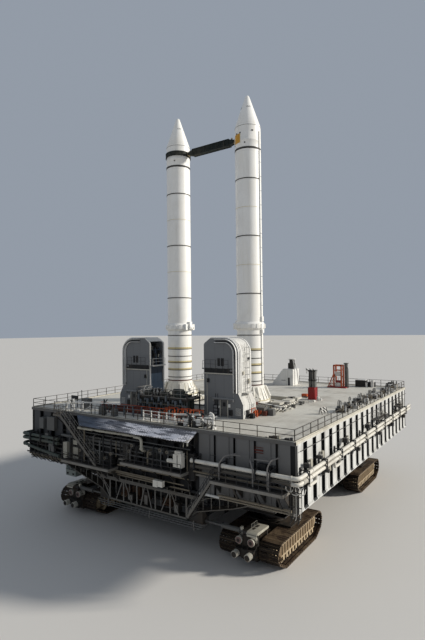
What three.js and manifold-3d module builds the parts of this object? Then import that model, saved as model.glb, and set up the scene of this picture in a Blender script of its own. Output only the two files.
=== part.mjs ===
// Twin booster rocket standing on its launch platform, carried by an eight-track crawler.
// Sizes below are those of the real thing in millimetres; the whole group is scaled by modelScale.
// +Z is up and the crawler travels along +Y. Heights are given from a datum below the ground,
// except a truck's own, which are from the ground; groupAt sets everything down on z = 0.
import * as THREE from 'three';
import { mergeVertices } from 'three/addons/utils/BufferGeometryUtils.js';
import Module from 'manifold-3d';

const wasm = await Module();
wasm.setup();

// Driving dimensions
const modelScale = 0.5;
const seat = 1;                       // gap left between pieces that rest on each other
const ground = 1050;                  // the ground's height above the datum

const hull = { width: 41150, length: 48770, bottom: 8730, top: 15710 };
const crawler = { centreY: -1950, halfWidth: 16300, halfLength: 16100, bottom: 4200, top: 7900 };
const truck = { x: 13700, y: 13700 };
const track = { length: 12500, height: 3050, width: 2290, offset: 2505, shoes: 57 };
const steering = { z: 4780, armY: 6200 };
const booster = { x: 6365, y: -7700, radius: 1854, skirtBase: 740 };
const exhaust = { halfX: 3050, y0: -12600, y1: -600 };
const engineHole = { halfX: 4700, narrowX: 2300, y0: -20000, stepY: -14300, y1: -10900 };
const mast = { inner: 4700, outer: 9700, flare: 10400, near: -16800, far: -13600, height: 9850 };

const deck = hull.top;
const nearFace = -hull.length / 2;

// Colours of the real surfaces
function finish(color, roughness = 0.7, metalness = 0) {
  return new THREE.MeshStandardMaterial({ color, roughness, metalness, flatShading: true });
}
const white = finish(0xece9e2, 0.45);
const skirtWhite = finish(0xe2ded2, 0.6);
const deckGrey = finish(0xa9aaa8, 0.8);
const mastGrey = finish(0xb9b8b4, 0.6);
const steelGrey = finish(0x5c5e60, 0.6, 0.3);
const darkSteel = finish(0x33363a, 0.6, 0.3);
const trackBrown = finish(0x6b5138, 0.8, 0.4);
const truckTan = finish(0x7a6a50, 0.8, 0.2);
const pipeWhite = finish(0xd8d6cf, 0.5);
const railGrey = finish(0x8d8f90, 0.5, 0.4);
const signalRed = finish(0x9b2226, 0.5);
const signalOrange = finish(0xe05a1c, 0.5);
const beamBlack = finish(0x1c2420, 0.6);
const canopyBlue = finish(0x5a6a7e, 0.5, 0.4);
const nozzleDark = finish(0x2d2b2a, 0.7);

// Solids from three.js geometries
function toSolid(geometry) {
  const bare = new THREE.BufferGeometry();
  bare.setAttribute('position', geometry.getAttribute('position').clone());
  if (geometry.index) bare.setIndex(geometry.index.clone());
  const merged = mergeVertices(bare, 0.01);
  const index = merged.index.array;
  const kept = [];
  for (let i = 0; i < index.length; i += 3) {
    const [a, b, c] = [index[i], index[i + 1], index[i + 2]];
    if (a !== b && b !== c && a !== c) kept.push(a, b, c);
  }
  return new wasm.Manifold(new wasm.Mesh({
    numProp: 3,
    vertProperties: new Float32Array(merged.attributes.position.array),
    triVerts: new Uint32Array(kept),
  }));
}

function join(...solids) {
  return solids.flat().reduce((whole, solid) => whole.add(solid));
}

function block(x0, x1, y0, y1, z0, z1) {
  const geometry = new THREE.BoxGeometry(Math.abs(x1 - x0), Math.abs(y1 - y0), Math.abs(z1 - z0));
  geometry.translate((x0 + x1) / 2, (y0 + y1) / 2, (z0 + z1) / 2);
  return toSolid(geometry);
}

// A shape made about +Z, turned and moved to run from one point to another
function turned(geometry, from, to) {
  const start = new THREE.Vector3(...from);
  const end = new THREE.Vector3(...to);
  const along = end.clone().sub(start).normalize();
  const across = Math.abs(along.z) > 0.999 ? new THREE.Vector3(1, 0, 0)
    : new THREE.Vector3(-along.y, along.x, 0).normalize();
  const upright = along.clone().cross(across);
  const middle = start.clone().add(end).multiplyScalar(0.5);
  geometry.applyMatrix4(new THREE.Matrix4().makeBasis(across, upright, along).setPosition(middle));
  return toSolid(geometry);
}

function lengthOf(from, to) {
  return new THREE.Vector3(...from).distanceTo(new THREE.Vector3(...to));
}

// A straight bar from one point to another, width across and depth in the upright plane
function bar(from, to, width, depth = width) {
  return turned(new THREE.BoxGeometry(width, depth, lengthOf(from, to)), from, to);
}

function rod(from, to, radius, sides = 8) {
  const geometry = new THREE.CylinderGeometry(radius, radius, lengthOf(from, to), sides);
  geometry.rotateX(Math.PI / 2);
  return turned(geometry, from, to);
}

// Straight lengths of pipe that overlap at the corners
function pipeRun(points, radius, sides = 6) {
  const pieces = [];
  for (let i = 1; i < points.length; i += 1) {
    const from = new THREE.Vector3(...points[i - 1]);
    const to = new THREE.Vector3(...points[i]);
    const overlap = to.clone().sub(from).setLength(radius * 0.9);
    if (i < points.length - 1) to.add(overlap);
    pieces.push(rod(from.toArray(), to.toArray(), radius, sides));
  }
  return join(pieces);
}

function outline(points) {
  return new THREE.Shape(points.map(([u, v]) => new THREE.Vector2(u, v)));
}

function extrude(shape, depth) {
  return new THREE.ExtrudeGeometry(shape, { depth, bevelEnabled: false, curveSegments: 3 });
}

function prismZ(shape, z0, z1) {
  return toSolid(extrude(shape, z1 - z0).translate(0, 0, z0));
}

// The shape's axes are (y, z) and it runs along X
function prismX(shape, x0, x1) {
  const basis = new THREE.Matrix4().makeBasis(
    new THREE.Vector3(0, 1, 0), new THREE.Vector3(0, 0, 1), new THREE.Vector3(1, 0, 0));
  return toSolid(extrude(shape, x1 - x0).applyMatrix4(basis).translate(x0, 0, 0));
}

// The shape's axes are (x, z) and it runs along Y
function prismY(shape, y0, y1) {
  return toSolid(extrude(shape, y1 - y0).rotateX(Math.PI / 2).translate(0, y1, 0));
}

// A profile of [radius, height] pairs turned about +Z
function spun(profile, sides = 20) {
  const points = profile.map(([r, h]) => new THREE.Vector2(r, h));
  return toSolid(new THREE.LatheGeometry(points, sides).rotateX(Math.PI / 2));
}

function ring(inner, outer, z0, z1, sides = 20) {
  return spun([[inner, z0], [outer, z0], [outer, z1], [inner, z1], [inner, z0]], sides);
}

// Meshes and groups
const model = new THREE.Group();
model.scale.setScalar(modelScale);

function groupAt(x, y, z, turn = 0) {
  const group = new THREE.Group();
  group.position.set(x, y, z - ground);
  group.rotation.z = turn;
  model.add(group);
  return group;
}

function addPiece(group, name, solid, material) {
  const { vertProperties, triVerts } = solid.getMesh();
  const geometry = new THREE.BufferGeometry();
  geometry.setAttribute('position', new THREE.BufferAttribute(new Float32Array(vertProperties), 3));
  geometry.setIndex(new THREE.BufferAttribute(new Uint32Array(triVerts), 1));
  const mesh = new THREE.Mesh(geometry, material);
  mesh.name = name;
  group.add(mesh);
}

// Crawler tracks: a belt round two end wheels and two lower rollers
const endWheel = { y: 5000, z: 1800, radius: 1250 };
const lowRoller = { y: 4050, z: 600, radius: 600 };
const beltThickness = 260;
const wheelGap = 90;                  // between the wheels and the belt's inside
const shoeStep = 120;

function beltPath(inset) {
  const circles = [
    [endWheel.y, endWheel.z, endWheel.radius], [-endWheel.y, endWheel.z, endWheel.radius],
    [-lowRoller.y, lowRoller.z, lowRoller.radius], [lowRoller.y, lowRoller.z, lowRoller.radius],
  ].map(([y, z, radius]) => ({ y, z, radius: radius - inset }));
  // Direction of the outward normal of the straight run that leaves each circle
  const normals = circles.map((from, i) => {
    const to = circles[(i + 1) % circles.length];
    const distance = Math.hypot(to.y - from.y, to.z - from.z);
    const heading = Math.atan2(to.z - from.z, to.y - from.y);
    return heading - Math.PI / 2 - Math.asin((to.radius - from.radius) / distance);
  });
  const path = new THREE.Path();
  circles.forEach((circle, i) => {
    const arrive = normals[(i + circles.length - 1) % circles.length];
    let leave = normals[i];
    while (leave < arrive) leave += 2 * Math.PI;
    path.absarc(circle.y, circle.z, circle.radius, arrive, leave, false);
  });
  path.closePath();
  return path;
}

function beltSolid() {
  const stepsPerShoe = 5;
  const tips = beltPath(0).getSpacedPoints(track.shoes * stepsPerShoe);
  const roots = beltPath(shoeStep).getSpacedPoints(track.shoes * stepsPerShoe);
  const shoeEdge = [];
  for (let i = 0; i < track.shoes; i += 1) {
    shoeEdge.push(tips[i * stepsPerShoe], roots[i * stepsPerShoe + stepsPerShoe - 1]);
  }
  const shape = new THREE.Shape(shoeEdge);
  shape.holes.push(new THREE.Path(beltPath(beltThickness).getPoints(2).slice(0, -1)));
  return prismX(shape, -track.width / 2, track.width / 2);
}

// Roller frame inside a belt: end wheels and lower rollers show as one scalloped outline
function rollerFrame(x0, x1) {
  const wheel = endWheel.radius - beltThickness - wheelGap;
  const roller = lowRoller.radius - beltThickness - wheelGap;
  const rollers = 5;
  const shape = new THREE.Shape();
  shape.absarc(endWheel.y, endWheel.z, wheel, -2.1, 0.4, false);
  shape.absarc(endWheel.y, endWheel.z, wheel, 0.4, 2.6, false);
  shape.absarc(-endWheel.y, endWheel.z, wheel, 0.54, 2.74, false);
  shape.absarc(-endWheel.y, endWheel.z, wheel, 2.74, 5.24, false);
  for (let i = 0; i < rollers; i += 1) {
    const y = -lowRoller.y + (2 * lowRoller.y * i) / (rollers - 1);
    shape.absarc(y, lowRoller.z, roller, Math.PI, 2 * Math.PI, false);
  }
  return prismX(shape, x0, x1);
}

// Truck frame between and inside its two tracks; local +Y points to the crawler's end
function truckSolid() {
  const frameHalf = 750;
  const solids = [
    block(-1250, 1250, -4700, 6300, 900, 2700),
    block(-1250, 1250, -1500, 1500, 2600, 3250),
    block(-2900, 2900, -1400, 1400, track.height + 25, 3250),
    block(-track.offset, track.offset, -2900, -2300, 1250, 1950),
    block(-track.offset, track.offset, 2300, 2900, 1250, 1950),
    ring(0, 1300, 3150, 3460, 12),
    // Steering arm: a fork that holds the cylinder's eye between two plates
    block(-420, 420, 5200, 6580, 2400, 3550),
    block(-420, 420, 5200, 5800, 3530, 4010),
    block(-420, 420, 5700, 6580, 3910, 4010),
    block(-1150, 1150, 6200, 7000, 1350, 2150),
  ];
  for (const side of [-1, 1]) {
    const x = side * track.offset;
    solids.push(rollerFrame(x - frameHalf, x + frameHalf));
    solids.push(rod([side * 750, 6000, 2950], [side * 750, 6950, 2950], 400));
    solids.push(block(side * 450, side * 1050, 5900, 6250, 2600, 3250));
    solids.push(rod([side * 800, 6950, 1750], [side * 800, 7800, 1750], 380));
  }
  return join(solids);
}

const corners = [
  { name: 'near_right', x: 1, y: -1 }, { name: 'near_left', x: -1, y: -1 },
  { name: 'far_right', x: 1, y: 1 }, { name: 'far_left', x: -1, y: 1 },
];
for (const corner of corners) {
  const turn = corner.y < 0 ? Math.PI : 0;
  const place = groupAt(corner.x * truck.x, crawler.centreY + corner.y * truck.y, ground, turn);
  addPiece(place, `truck_${corner.name}`, truckSolid(), truckTan);
  for (const side of [-1, 1]) {
    const outward = side * (corner.y < 0 ? -1 : 1) * corner.x;
    const belt = beltSolid().translate([side * track.offset, 0, 0]);
    addPiece(place, `track_${corner.name}_${outward > 0 ? 'outer' : 'inner'}`, belt, trackBrown);
  }
}

// Steering cylinders: each barrel slides on a rod fixed to the chassis, and its eye is held by the truck's arm
const cylinder = {
  foot: 7400, rodEnd: 11700, mouth: 10500, bottom: 12450, end: 12850, rod: 130, bore: 150, radius: 260,
};
const armY = truck.y + steering.armY;
for (const corner of corners) {
  const place = groupAt(0, crawler.centreY, 0);
  const y = corner.y * armY;
  const eye = corner.x * truck.x;
  const along = (from, to, radius, sides) => rod(
    [corner.x * from, y, steering.z], [corner.x * to, y, steering.z], radius, sides);
  const barrel = along(cylinder.mouth, cylinder.end, cylinder.radius, 12)
    .subtract(along(cylinder.mouth - 100, cylinder.bottom, cylinder.bore, 12));
  const solid = join(barrel, along(cylinder.end - 50, truck.x - 300, cylinder.rod, 10),
    block(eye - 400, eye + 400, y - 280, y + 280, steering.z - 160, steering.z + 160));
  addPiece(place, `steering_cylinder_${corner.name}`, solid, pipeWhite);
}

// Crawler chassis with its guide columns, pads and the rods of the steering cylinders
function chassisSolid() {
  const { halfWidth, halfLength, bottom, top } = crawler;
  const solids = [
    block(-7900, 7900, -halfLength, halfLength, bottom, top),
    block(-halfWidth, halfWidth, -halfLength, halfLength, 5600, top),
  ];
  for (const { x, y } of corners) {
    solids.push(ring(0, 1100, ground + 3480, 5700, 12).translate([x * truck.x, y * truck.y, 0]));
    solids.push(block(x * 12500, x * 14900, y * 12500, y * 14900, top - 10, hull.bottom - seat));
    solids.push(block(x * 7000, x * 8300, y * (halfLength - 100), y * (armY + 300), 4400, 5200));
    solids.push(rod([x * cylinder.foot, y * armY, steering.z],
      [x * cylinder.rodEnd, y * armY, steering.z], cylinder.rod, 10));
  }
  return join(solids);
}
addPiece(groupAt(0, crawler.centreY, 0), 'crawler_chassis', chassisSolid(), darkSteel);

// End galleries of the crawler: two floors in the middle, ramps up over the trucks
const gallery = { back: 16150, front: 20950, low: 19700, upper: 7550, lower: 5000, end: 8100, slab: 160 };
const ramp = [[6200, gallery.lower], [7750, 6150], [12600, 7450], [14400, gallery.end]];
const rampRail = [[6300, 6100], [7750, 7450], [9100, 8170], [14400, 8580], [17550, 8640]];
const rampPosts = [
  { x: 7750, foot: 6050, head: 7450 }, { x: 11050, foot: 6950, head: 8320 },
  { x: 14350, foot: 8000, head: 8570 }, { x: 17500, foot: 7950, head: 8630 },
];
function rampSolid(points, y0, y1, thickness) {
  const under = points.map(([x, z]) => [x, z - thickness]).reverse();
  return prismY(outline([...points, ...under]), y0, y1);
}

function gallerySolid() {
  const { back, front, low, upper, lower, end, slab } = gallery;
  const postAt = front - 80;
  const solids = [
    block(-8000, 8000, back, front, upper - slab, upper),
    block(-6300, 6300, low, front, lower - slab, lower),
    block(-17600, -13900, back, front, end - slab, end),
    block(13900, 17600, back, front, end - slab, end),
  ];
  for (const side of [-1, 1]) {
    const floor = ramp.map(([x, z]) => [side * x, z]);
    solids.push(rampSolid(side > 0 ? floor : floor.reverse(), low, front, 170));
    for (let i = 1; i < rampRail.length; i += 1) {
      const [[xa, za], [xb, zb]] = [rampRail[i - 1], rampRail[i]];
      solids.push(bar([side * xa, postAt, za], [side * xb, postAt, zb], 90));
    }
    for (const { x, foot, head } of rampPosts) {
      solids.push(bar([side * x, postAt, foot], [side * x, postAt, head], 90));
    }
    solids.push(bar([side * 6200, postAt, lower], [side * 3600, postAt, upper - 60], 160));
    solids.push(bar([side * 900, postAt, lower], [side * 3600, postAt, upper - 60], 160));
  }
  for (const x of [-7900, 0, 7900]) {
    const foot = Math.abs(x) > 7000 ? 6050 : lower - slab;
    solids.push(bar([x, postAt, foot], [x, postAt, upper + 1100], 110));
  }
  solids.push(bar([-7900, postAt, upper + 1080], [7900, postAt, upper + 1080], 90));
  return join(solids);
}
for (const [name, turn] of [['crawler_gallery_near', Math.PI], ['crawler_gallery_far', 0]]) {
  addPiece(groupAt(0, crawler.centreY, 0, turn), name, gallerySolid(), steelGrey);
}

// Driver's cabs, hung at two opposite corners, hollow, with windows and a hinged door
const cab = { x0: 14600, x1: 16700, y0: 17250, y1: 19550, z0: 5850, z1: 7890, wall: 80 };
const cabDoor = { y0: 17650, y1: 18550, z0: 6000, z1: 7700, gap: 20 };
function cabSolid() {
  const { x0, x1, y0, y1, z0, z1, wall } = cab;
  const sill = 6700;
  const head = 7550;
  const shell = block(x0, x1, y0, y1, z0, z1)
    .subtract(block(x0 + wall, x1 - wall, y0 + wall, y1 - wall, z0 + wall, z1 - wall))
    .subtract(block(x0 + 250, x1 - 250, y1 - 200, y1 + 100, sill, head))
    .subtract(block(x1 - 200, x1 + 100, y0 + 300, y1 - 300, sill, head))
    .subtract(block(x0 + 250, x1 - 250, y0 - 100, y0 + 200, sill, head))
    .subtract(block(x0 - 100, x0 + 200, cabDoor.y0, cabDoor.y1, cabDoor.z0, cabDoor.z1));
  return shell.add(block(x0 + 600, x0 + 1300, y0 + 600, y1 - 600, z1 - 20, z1 + 49));
}

function cabDoorSolid() {
  const { y0, y1, z0, z1, gap } = cabDoor;
  const leaf = block(cab.x0 + 10, cab.x0 + cab.wall, y0 + gap, y1 - gap, z0 + gap, z1 - gap);
  return leaf.subtract(block(cab.x0, cab.x0 + 200, y0 + 200, y1 - 200, 6750, 7500));
}
for (const [name, turn] of [['near_left', Math.PI], ['far_right', 0]]) {
  const place = groupAt(0, crawler.centreY, 0, turn);
  addPiece(place, `cab_${name}`, cabSolid(), pipeWhite);
  addPiece(place, `cab_door_${name}`, cabDoorSolid(), steelGrey);
}

// Platform hull: a ribbed box with three exhaust holes right through it
const rib = { pitch: 2440, gap: 800, depth: 450 };
function ribbedOutline(halfX, halfY) {
  const points = [];
  // Each side in turn: start corner, direction along, direction inwards
  const sides = [
    { x: -halfX, y: -halfY, along: [1, 0], inward: [0, 1], length: 2 * halfX },
    { x: halfX, y: -halfY, along: [0, 1], inward: [-1, 0], length: 2 * halfY },
    { x: halfX, y: halfY, along: [-1, 0], inward: [0, -1], length: 2 * halfX },
    { x: -halfX, y: halfY, along: [0, -1], inward: [1, 0], length: 2 * halfY },
  ];
  for (const { x, y, along, inward, length } of sides) {
    const at = (s, d) => [x + along[0] * s + inward[0] * d, y + along[1] * s + inward[1] * d];
    points.push(at(0, 0));
    const count = Math.floor((length - 2 * rib.gap) / rib.pitch);
    const first = (length - (count - 1) * rib.pitch) / 2;
    for (let i = 0; i < count; i += 1) {
      const from = first + i * rib.pitch - rib.gap / 2;
      points.push(at(from, 0), at(from, rib.depth), at(from + rib.gap, rib.depth), at(from + rib.gap, 0));
    }
  }
  return outline(points);
}

// The hull is five welded bays: one across each end, one down each side, and the pierced one in the middle
function hullBays() {
  const halfX = hull.width / 2;
  const halfY = hull.length / 2;
  const core = prismZ(ribbedOutline(halfX - 60, halfY - 60), hull.bottom + 200, hull.top - 280);
  const whole = join(core,
    block(-halfX, halfX, -halfY, halfY, hull.bottom, hull.bottom + 260),
    block(-halfX, halfX, -halfY, halfY, hull.top - 340, hull.top));
  const below = hull.bottom - 100;
  const above = hull.top + 100;
  const holeSide = booster.x + exhaust.halfX;
  const nearEnd = engineHole.y0;
  const farEnd = exhaust.y1;
  const cut = (x0, x1, y0, y1) => block(x0, x1, y0, y1, below, above);
  const holes = [
    cut(-engineHole.halfX, engineHole.halfX, nearEnd - seat, engineHole.stepY),
    cut(-engineHole.narrowX, engineHole.narrowX, nearEnd - seat, engineHole.y1),
    cut(booster.x - exhaust.halfX, holeSide + seat, exhaust.y0, farEnd + seat),
    cut(-holeSide - seat, -booster.x + exhaust.halfX, exhaust.y0, farEnd + seat),
  ];
  const centre = holes.reduce((bay, hole) => bay.subtract(hole),
    whole.intersect(cut(-holeSide + seat, holeSide - seat, nearEnd + seat, farEnd - seat)));
  return [
    { name: 'near', solid: whole.intersect(cut(-halfX, halfX, -halfY, nearEnd)) },
    { name: 'far', solid: whole.intersect(cut(-halfX, halfX, farEnd, halfY)) },
    { name: 'right', solid: whole.intersect(cut(holeSide, halfX, nearEnd + seat, farEnd - seat)) },
    { name: 'left', solid: whole.intersect(cut(-halfX, -holeSide, nearEnd + seat, farEnd - seat)) },
    { name: 'centre', solid: centre },
  ];
}
const platform = groupAt(0, 0, 0);
for (const { name, solid } of hullBays()) addPiece(platform, `platform_hull_${name}`, solid, deckGrey);

// Hand rail round the deck's edge
const rail = { height: 1070, inset: 150, post: 70, pitch: 8000 };
function railingSolid() {
  const halfX = hull.width / 2 - rail.inset;
  const halfY = hull.length / 2 - rail.inset;
  const z0 = deck + seat;
  const solids = [];
  const edges = [
    [[-halfX, -halfY], [halfX, -halfY]], [[halfX, -halfY], [halfX, halfY]],
    [[halfX, halfY], [-halfX, halfY]], [[-halfX, halfY], [-halfX, -halfY]],
  ];
  for (const [[xa, ya], [xb, yb]] of edges) {
    for (const z of [deck + rail.height, deck + rail.height * 0.52]) {
      solids.push(bar([xa, ya, z], [xb, yb, z], rail.post));
    }
    const count = Math.round(Math.hypot(xb - xa, yb - ya) / rail.pitch);
    for (let i = 0; i < count; i += 1) {
      const x = xa + ((xb - xa) * i) / count;
      const y = ya + ((yb - ya) * i) / count;
      const half = rail.post * 0.65;
      solids.push(block(x - half, x + half, y - half, y + half, z0, deck + rail.height));
    }
  }
  return join(solids);
}
addPiece(platform, 'deck_railing', railingSolid(), railGrey);

// Service pipes: along the near face, round its corners and along both sides
const pipes = { side: 650, front: 1000, behind: 300, far: 24450, right: 8900, left: -13500 };
// Heights and radii: right of the porch and along the right side, left of it and along the left side
const pipeLevels = [{ right: 12600, left: 12120, radius: 210 }, { right: 12060, left: 11560, radius: 200 }];
const pipeHangers = [
  { x: -18500, low: 11420, high: 12320 }, { x: -14000, low: 11420, high: 12320 },
  { x: 9400, low: 11900, high: 12820 }, { x: 15900, low: 11900, high: 12820 },
];
function pipesSolid() {
  const side = hull.width / 2 + pipes.side;
  const front = nearFace - pipes.front;
  const { far, right, left } = pipes;
  const solids = [];
  for (const level of pipeLevels) {
    for (const [x, end, z] of [[right, side, level.right], [left, -side, level.left]]) {
      solids.push(pipeRun([[x, front, z], [end, front, z]], level.radius));
      solids.push(pipeRun([[end, front, z], [end, far, z]], level.radius));
    }
  }
  // The upper pipe passes behind the porch, close to the hull
  const { right: high, left: low, radius } = pipeLevels[0];
  const behind = nearFace - pipes.behind;
  solids.push(pipeRun([[right + 150, front, high], [right + 150, behind, high], [left - 150, behind, high],
    [left - 150, behind, low], [left - 150, front, low]], radius * 0.95));
  // Hangers that join the pipes and reach back to the hull
  for (const hanger of pipeHangers) {
    solids.push(block(hanger.x - 100, hanger.x + 100, front - 90, nearFace - seat, hanger.low, hanger.high));
  }
  for (let i = 0; i < 5; i += 1) {
    const y = nearFace + 2500 + i * 10900;
    const wall = hull.width / 2 + seat;
    solids.push(block(wall, side + 90, y - 100, y + 100, 11800, 12850));
    solids.push(block(-wall, -side - 90, y - 100, y + 100, 11300, 12340));
  }
  return join(solids);
}
addPiece(platform, 'service_pipes', pipesSolid(), pipeWhite);

// Sloping canopy over the near service porch, on brackets from the hull's face; its left end is cut aslant
const canopy = {
  x0: -10700, frontX0: -8300, x1: 9000, back: nearFace - 60, front: -26100,
  zBack: 15500, zFront: 14650, sheet: 130,
};
function canopySolid() {
  const { x0, frontX0, x1, back, front, zBack, zFront, sheet } = canopy;
  const section = [[back, zBack], [back, zBack - sheet], [front, zFront - sheet], [front, zFront]];
  const slope = (front - back) / (frontX0 - x0);
  const spare = 200;
  const cutOff = prismZ(outline([[x0 - spare, back - spare * slope], [frontX0 + spare, front + spare * slope],
    [x0 - spare, front + spare * slope]]), zFront - 1000, zBack + 1000);
  const solids = [prismX(outline(section), x0, x1).subtract(cutOff)];
  const count = 7;
  for (let i = 0; i < count; i += 1) {
    const x = frontX0 + 300 + ((x1 - frontX0 - 600) * i) / (count - 1);
    solids.push(prismX(outline([[back, zBack - 100], [back, zBack - 1500], [back - 160, zBack - 1500],
      [front + 150, zFront - 100]]), x - 60, x + 60));
  }
  return join(solids);
}
addPiece(platform, 'porch_canopy', canopySolid(), canopyBlue);

// Porch floors and their rails on the near face, with a flight down from the right-hand one
const porch = { front: -26250, back: nearFace - 10, slab: 180 };
const porchFloors = [
  { x0: -11700, x1: -3000, z: 9850 },
  { x0: -1000, x1: 8100, z: 11100 },
  { x0: 11800, x1: 20000, z: 11100 },
];
const bridgeFlight = { topX: 11900, footX: 8900, topZ: 11100, footZ: 6700, y0: -26240, y1: -25640, thick: 250 };
function porchSolid() {
  const { front, back, slab } = porch;
  const solids = [];
  for (const { x0, x1, z } of porchFloors) {
    solids.push(block(x0, x1, front, back, z - slab, z));
    const count = Math.round((x1 - x0) / 4000);
    for (let i = 0; i <= count; i += 1) {
      const x = x0 + 60 + ((x1 - x0 - 120) * i) / count;
      solids.push(bar([x, front + 60, z - 60], [x, front + 60, z + 1100], 80));
      solids.push(prismX(outline([[back, z - 150], [back, z - 1300], [back - 200, z - 1300],
        [front + 700, z - 150]]), x - 60, x + 60));
    }
    for (const lift of [560, 1060]) {
      solids.push(bar([x0 + 60, front + 60, z + lift], [x1 - 60, front + 60, z + lift], 80));
    }
  }
  // A beam on the hull's face carries the two upper floors, and a post hangs the lower one from it
  solids.push(block(-3100, 19900, back - 200, back, 10800, 11000));
  solids.push(block(-3100, -2900, back - 200, back, 9700, 11000));
  const { topX, footX, topZ, footZ, y0, y1, thick } = bridgeFlight;
  const slope = [[topX, topZ - thick], [topX, topZ], [footX, footZ], [footX, footZ - thick]];
  solids.push(prismY(outline(slope), y0, y1));
  for (const y of [y0 + 45, y1 - 45]) {
    solids.push(bar([topX, y, topZ + 1000], [footX, y, footZ + 1000], 80));
    for (const t of [0.02, 0.5, 0.97]) {
      const x = topX + (footX - topX) * t;
      const z = topZ + (footZ - topZ) * t;
      solids.push(bar([x, y, z - 100], [x, y, z + 1020], 80));
    }
  }
  return join(solids);
}
addPiece(platform, 'porch_gallery', porchSolid(), steelGrey);

// Outside stair from the deck's edge down to the left porch floor: a folded flight with two rails
const stair = { topX: -12100, footX: -5300, topZ: 15650, footZ: 9850, steps: 14, y0: -26100, y1: -25200 };
function stairSolid() {
  const { topX, footX, topZ, footZ, steps, y0, y1 } = stair;
  const landing = { length: 1400, slab: 160 };
  const going = (footX - topX) / steps;
  const rise = (topZ - footZ) / steps;
  const flight = [[topX - landing.length, topZ], [topX - landing.length, topZ - landing.slab],
    [topX - 60, topZ - landing.slab], [footX - 60, footZ + seat], [footX, footZ + seat]];
  for (let i = 0; i < steps; i += 1) {
    const z = footZ + rise * (i + 1);
    flight.push([footX - going * i, z], [footX - going * (i + 1), z]);
  }
  const solids = [
    prismY(outline(flight), y0, y1),
    block(topX - landing.length, topX, y1 - 10, nearFace - 10, topZ - landing.slab, topZ),
  ];
  for (const y of [y0 + 50, y1 - 50]) {
    solids.push(bar([topX, y, topZ + 1000], [footX - 200, y, footZ + 1300], 90));
    for (const t of [0.02, 0.5, 0.94]) {
      const x = topX + (footX - topX) * t;
      const z = topZ + (footZ - topZ) * t;
      solids.push(bar([x, y, z - 100], [x, y, z + 1020], 90));
    }
  }
  return join(solids);
}
addPiece(platform, 'porch_stair', stairSolid(), steelGrey);

// Cable racks and boxes at the near left corner
function rackSolid() {
  const x0 = -20400;
  const solids = [];
  for (const z of [10200, 11400]) {
    solids.push(block(x0, -12800, nearFace - 700, nearFace - 10, z - 60, z));
  }
  for (const x of [-20200, -16600, -13000]) {
    solids.push(block(x - 70, x + 70, nearFace - 620, nearFace - 10, 10000, 11390));
  }
  solids.push(block(-15600, -14500, nearFace - 900, nearFace - 500, 9700, 11300));
  return join(solids);
}
addPiece(platform, 'cable_rack', rackSolid(), steelGrey);

// Tail service masts: side (outer) shoulder rounded, open recess high on the inner side
function mastSolid(side) {
  const { inner, outer, flare, near, far, height } = mast;
  const round = 1900;
  const shape = new THREE.Shape();
  shape.moveTo(inner, 0);
  shape.lineTo(flare, 0);
  shape.lineTo(flare, 1700);
  shape.lineTo(outer, 3100);
  shape.lineTo(outer, height - round);
  shape.absarc(outer - round, height - round, round, 0, Math.PI / 2, false);
  shape.lineTo(inner + 900, height);
  shape.lineTo(inner, height - 650);
  let body = prismY(shape, near, far);
  const lowRecess = block(inner - 100, inner + 900, near + 350, far - 350, 3400, 5400);
  const topRecess = block(inner - 100, inner + 2100, near + 350, far - 350, 5700, height - 500);
  const band = block(inner - 100, outer + 100, near - 100, near + 160, 5500, 6050);
  const niche = block(7150, 8150, near - 100, near + 200, 120, 2200);
  body = body.subtract(lowRecess).subtract(topRecess).subtract(band).subtract(niche);
  const ledge = block(inner - 500, inner + 100, near + 200, far - 200, 5420, 5640);
  body = body.add(ledge);
  return side > 0 ? body : body.mirror([1, 0, 0]);
}

function mastDoorSolid(side) {
  const leaf = block(7180, 8120, mast.near + 20, mast.near + 110, 150, 2170);
  const handle = block(7300, 7420, mast.near - 40, mast.near + 40, 1050, 1200);
  const door = leaf.add(handle);
  return side > 0 ? door : door.mirror([1, 0, 0]);
}
for (const [name, side] of [['right', 1], ['left', -1]]) {
  const place = groupAt(0, 0, deck + seat);
  addPiece(place, `mast_${name}`, mastSolid(side), mastGrey);
  addPiece(place, `mast_door_${name}`, mastDoorSolid(side), darkSteel);
}

// Boosters; profile heights are above the skirt's base
const station = {
  skirtTop: 2379, case: 35754, shoulder: 39006, tip: 43960, attachRing: 10660,
};
// Joint rings of the case: height, projection, tallness
const caseRings = [
  [5172, 60, 140], [7255, 60, 140], [15218, 45, 150], [23347, 45, 150], [31474, 45, 150],
];

function motorCaseSolid() {
  const r = booster.radius;
  const profile = [[0, station.skirtTop + seat], [r, station.skirtTop + seat]];
  const rings = [...caseRings, [station.attachRing, 330, 660]].sort((a, b) => a[0] - b[0]);
  for (const [height, lip, tall] of rings) {
    const [low, high] = [height - tall / 2, height + tall / 2];
    profile.push([r, low], [r + lip, low], [r + lip, high], [r, high]);
  }
  profile.push([r, station.case - seat], [0, station.case - seat]);
  const tunnel = block(r - 120, r + 170, -160, 160, station.skirtTop + 60, station.case - seat);
  const lug = block(-r - 620, -r + 100, -500, 500, station.attachRing - 300, station.attachRing + 300);
  return join(spun(profile), tunnel, lug);
}

function aftSkirtSolid() {
  const base = 2645;
  const wall = 90;
  const skirt = spun([
    [base, 0], [base, 320], [booster.radius + 60, station.skirtTop - 250],
    [booster.radius, station.skirtTop], [1500, station.skirtTop], [1500, station.skirtTop - 120],
    [booster.radius - wall, station.skirtTop - 250], [base - wall, 320], [base - wall, 0], [base, 0],
  ]);
  return skirt;
}

function nozzleSolid() {
  return spun([
    [1900, -950], [1960, -950], [1330, 700], [900, 1700], [900, 2240], [500, 2240], [500, 1950],
    [780, 1650], [1250, 700], [1900, -950],
  ], 14);
}

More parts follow.
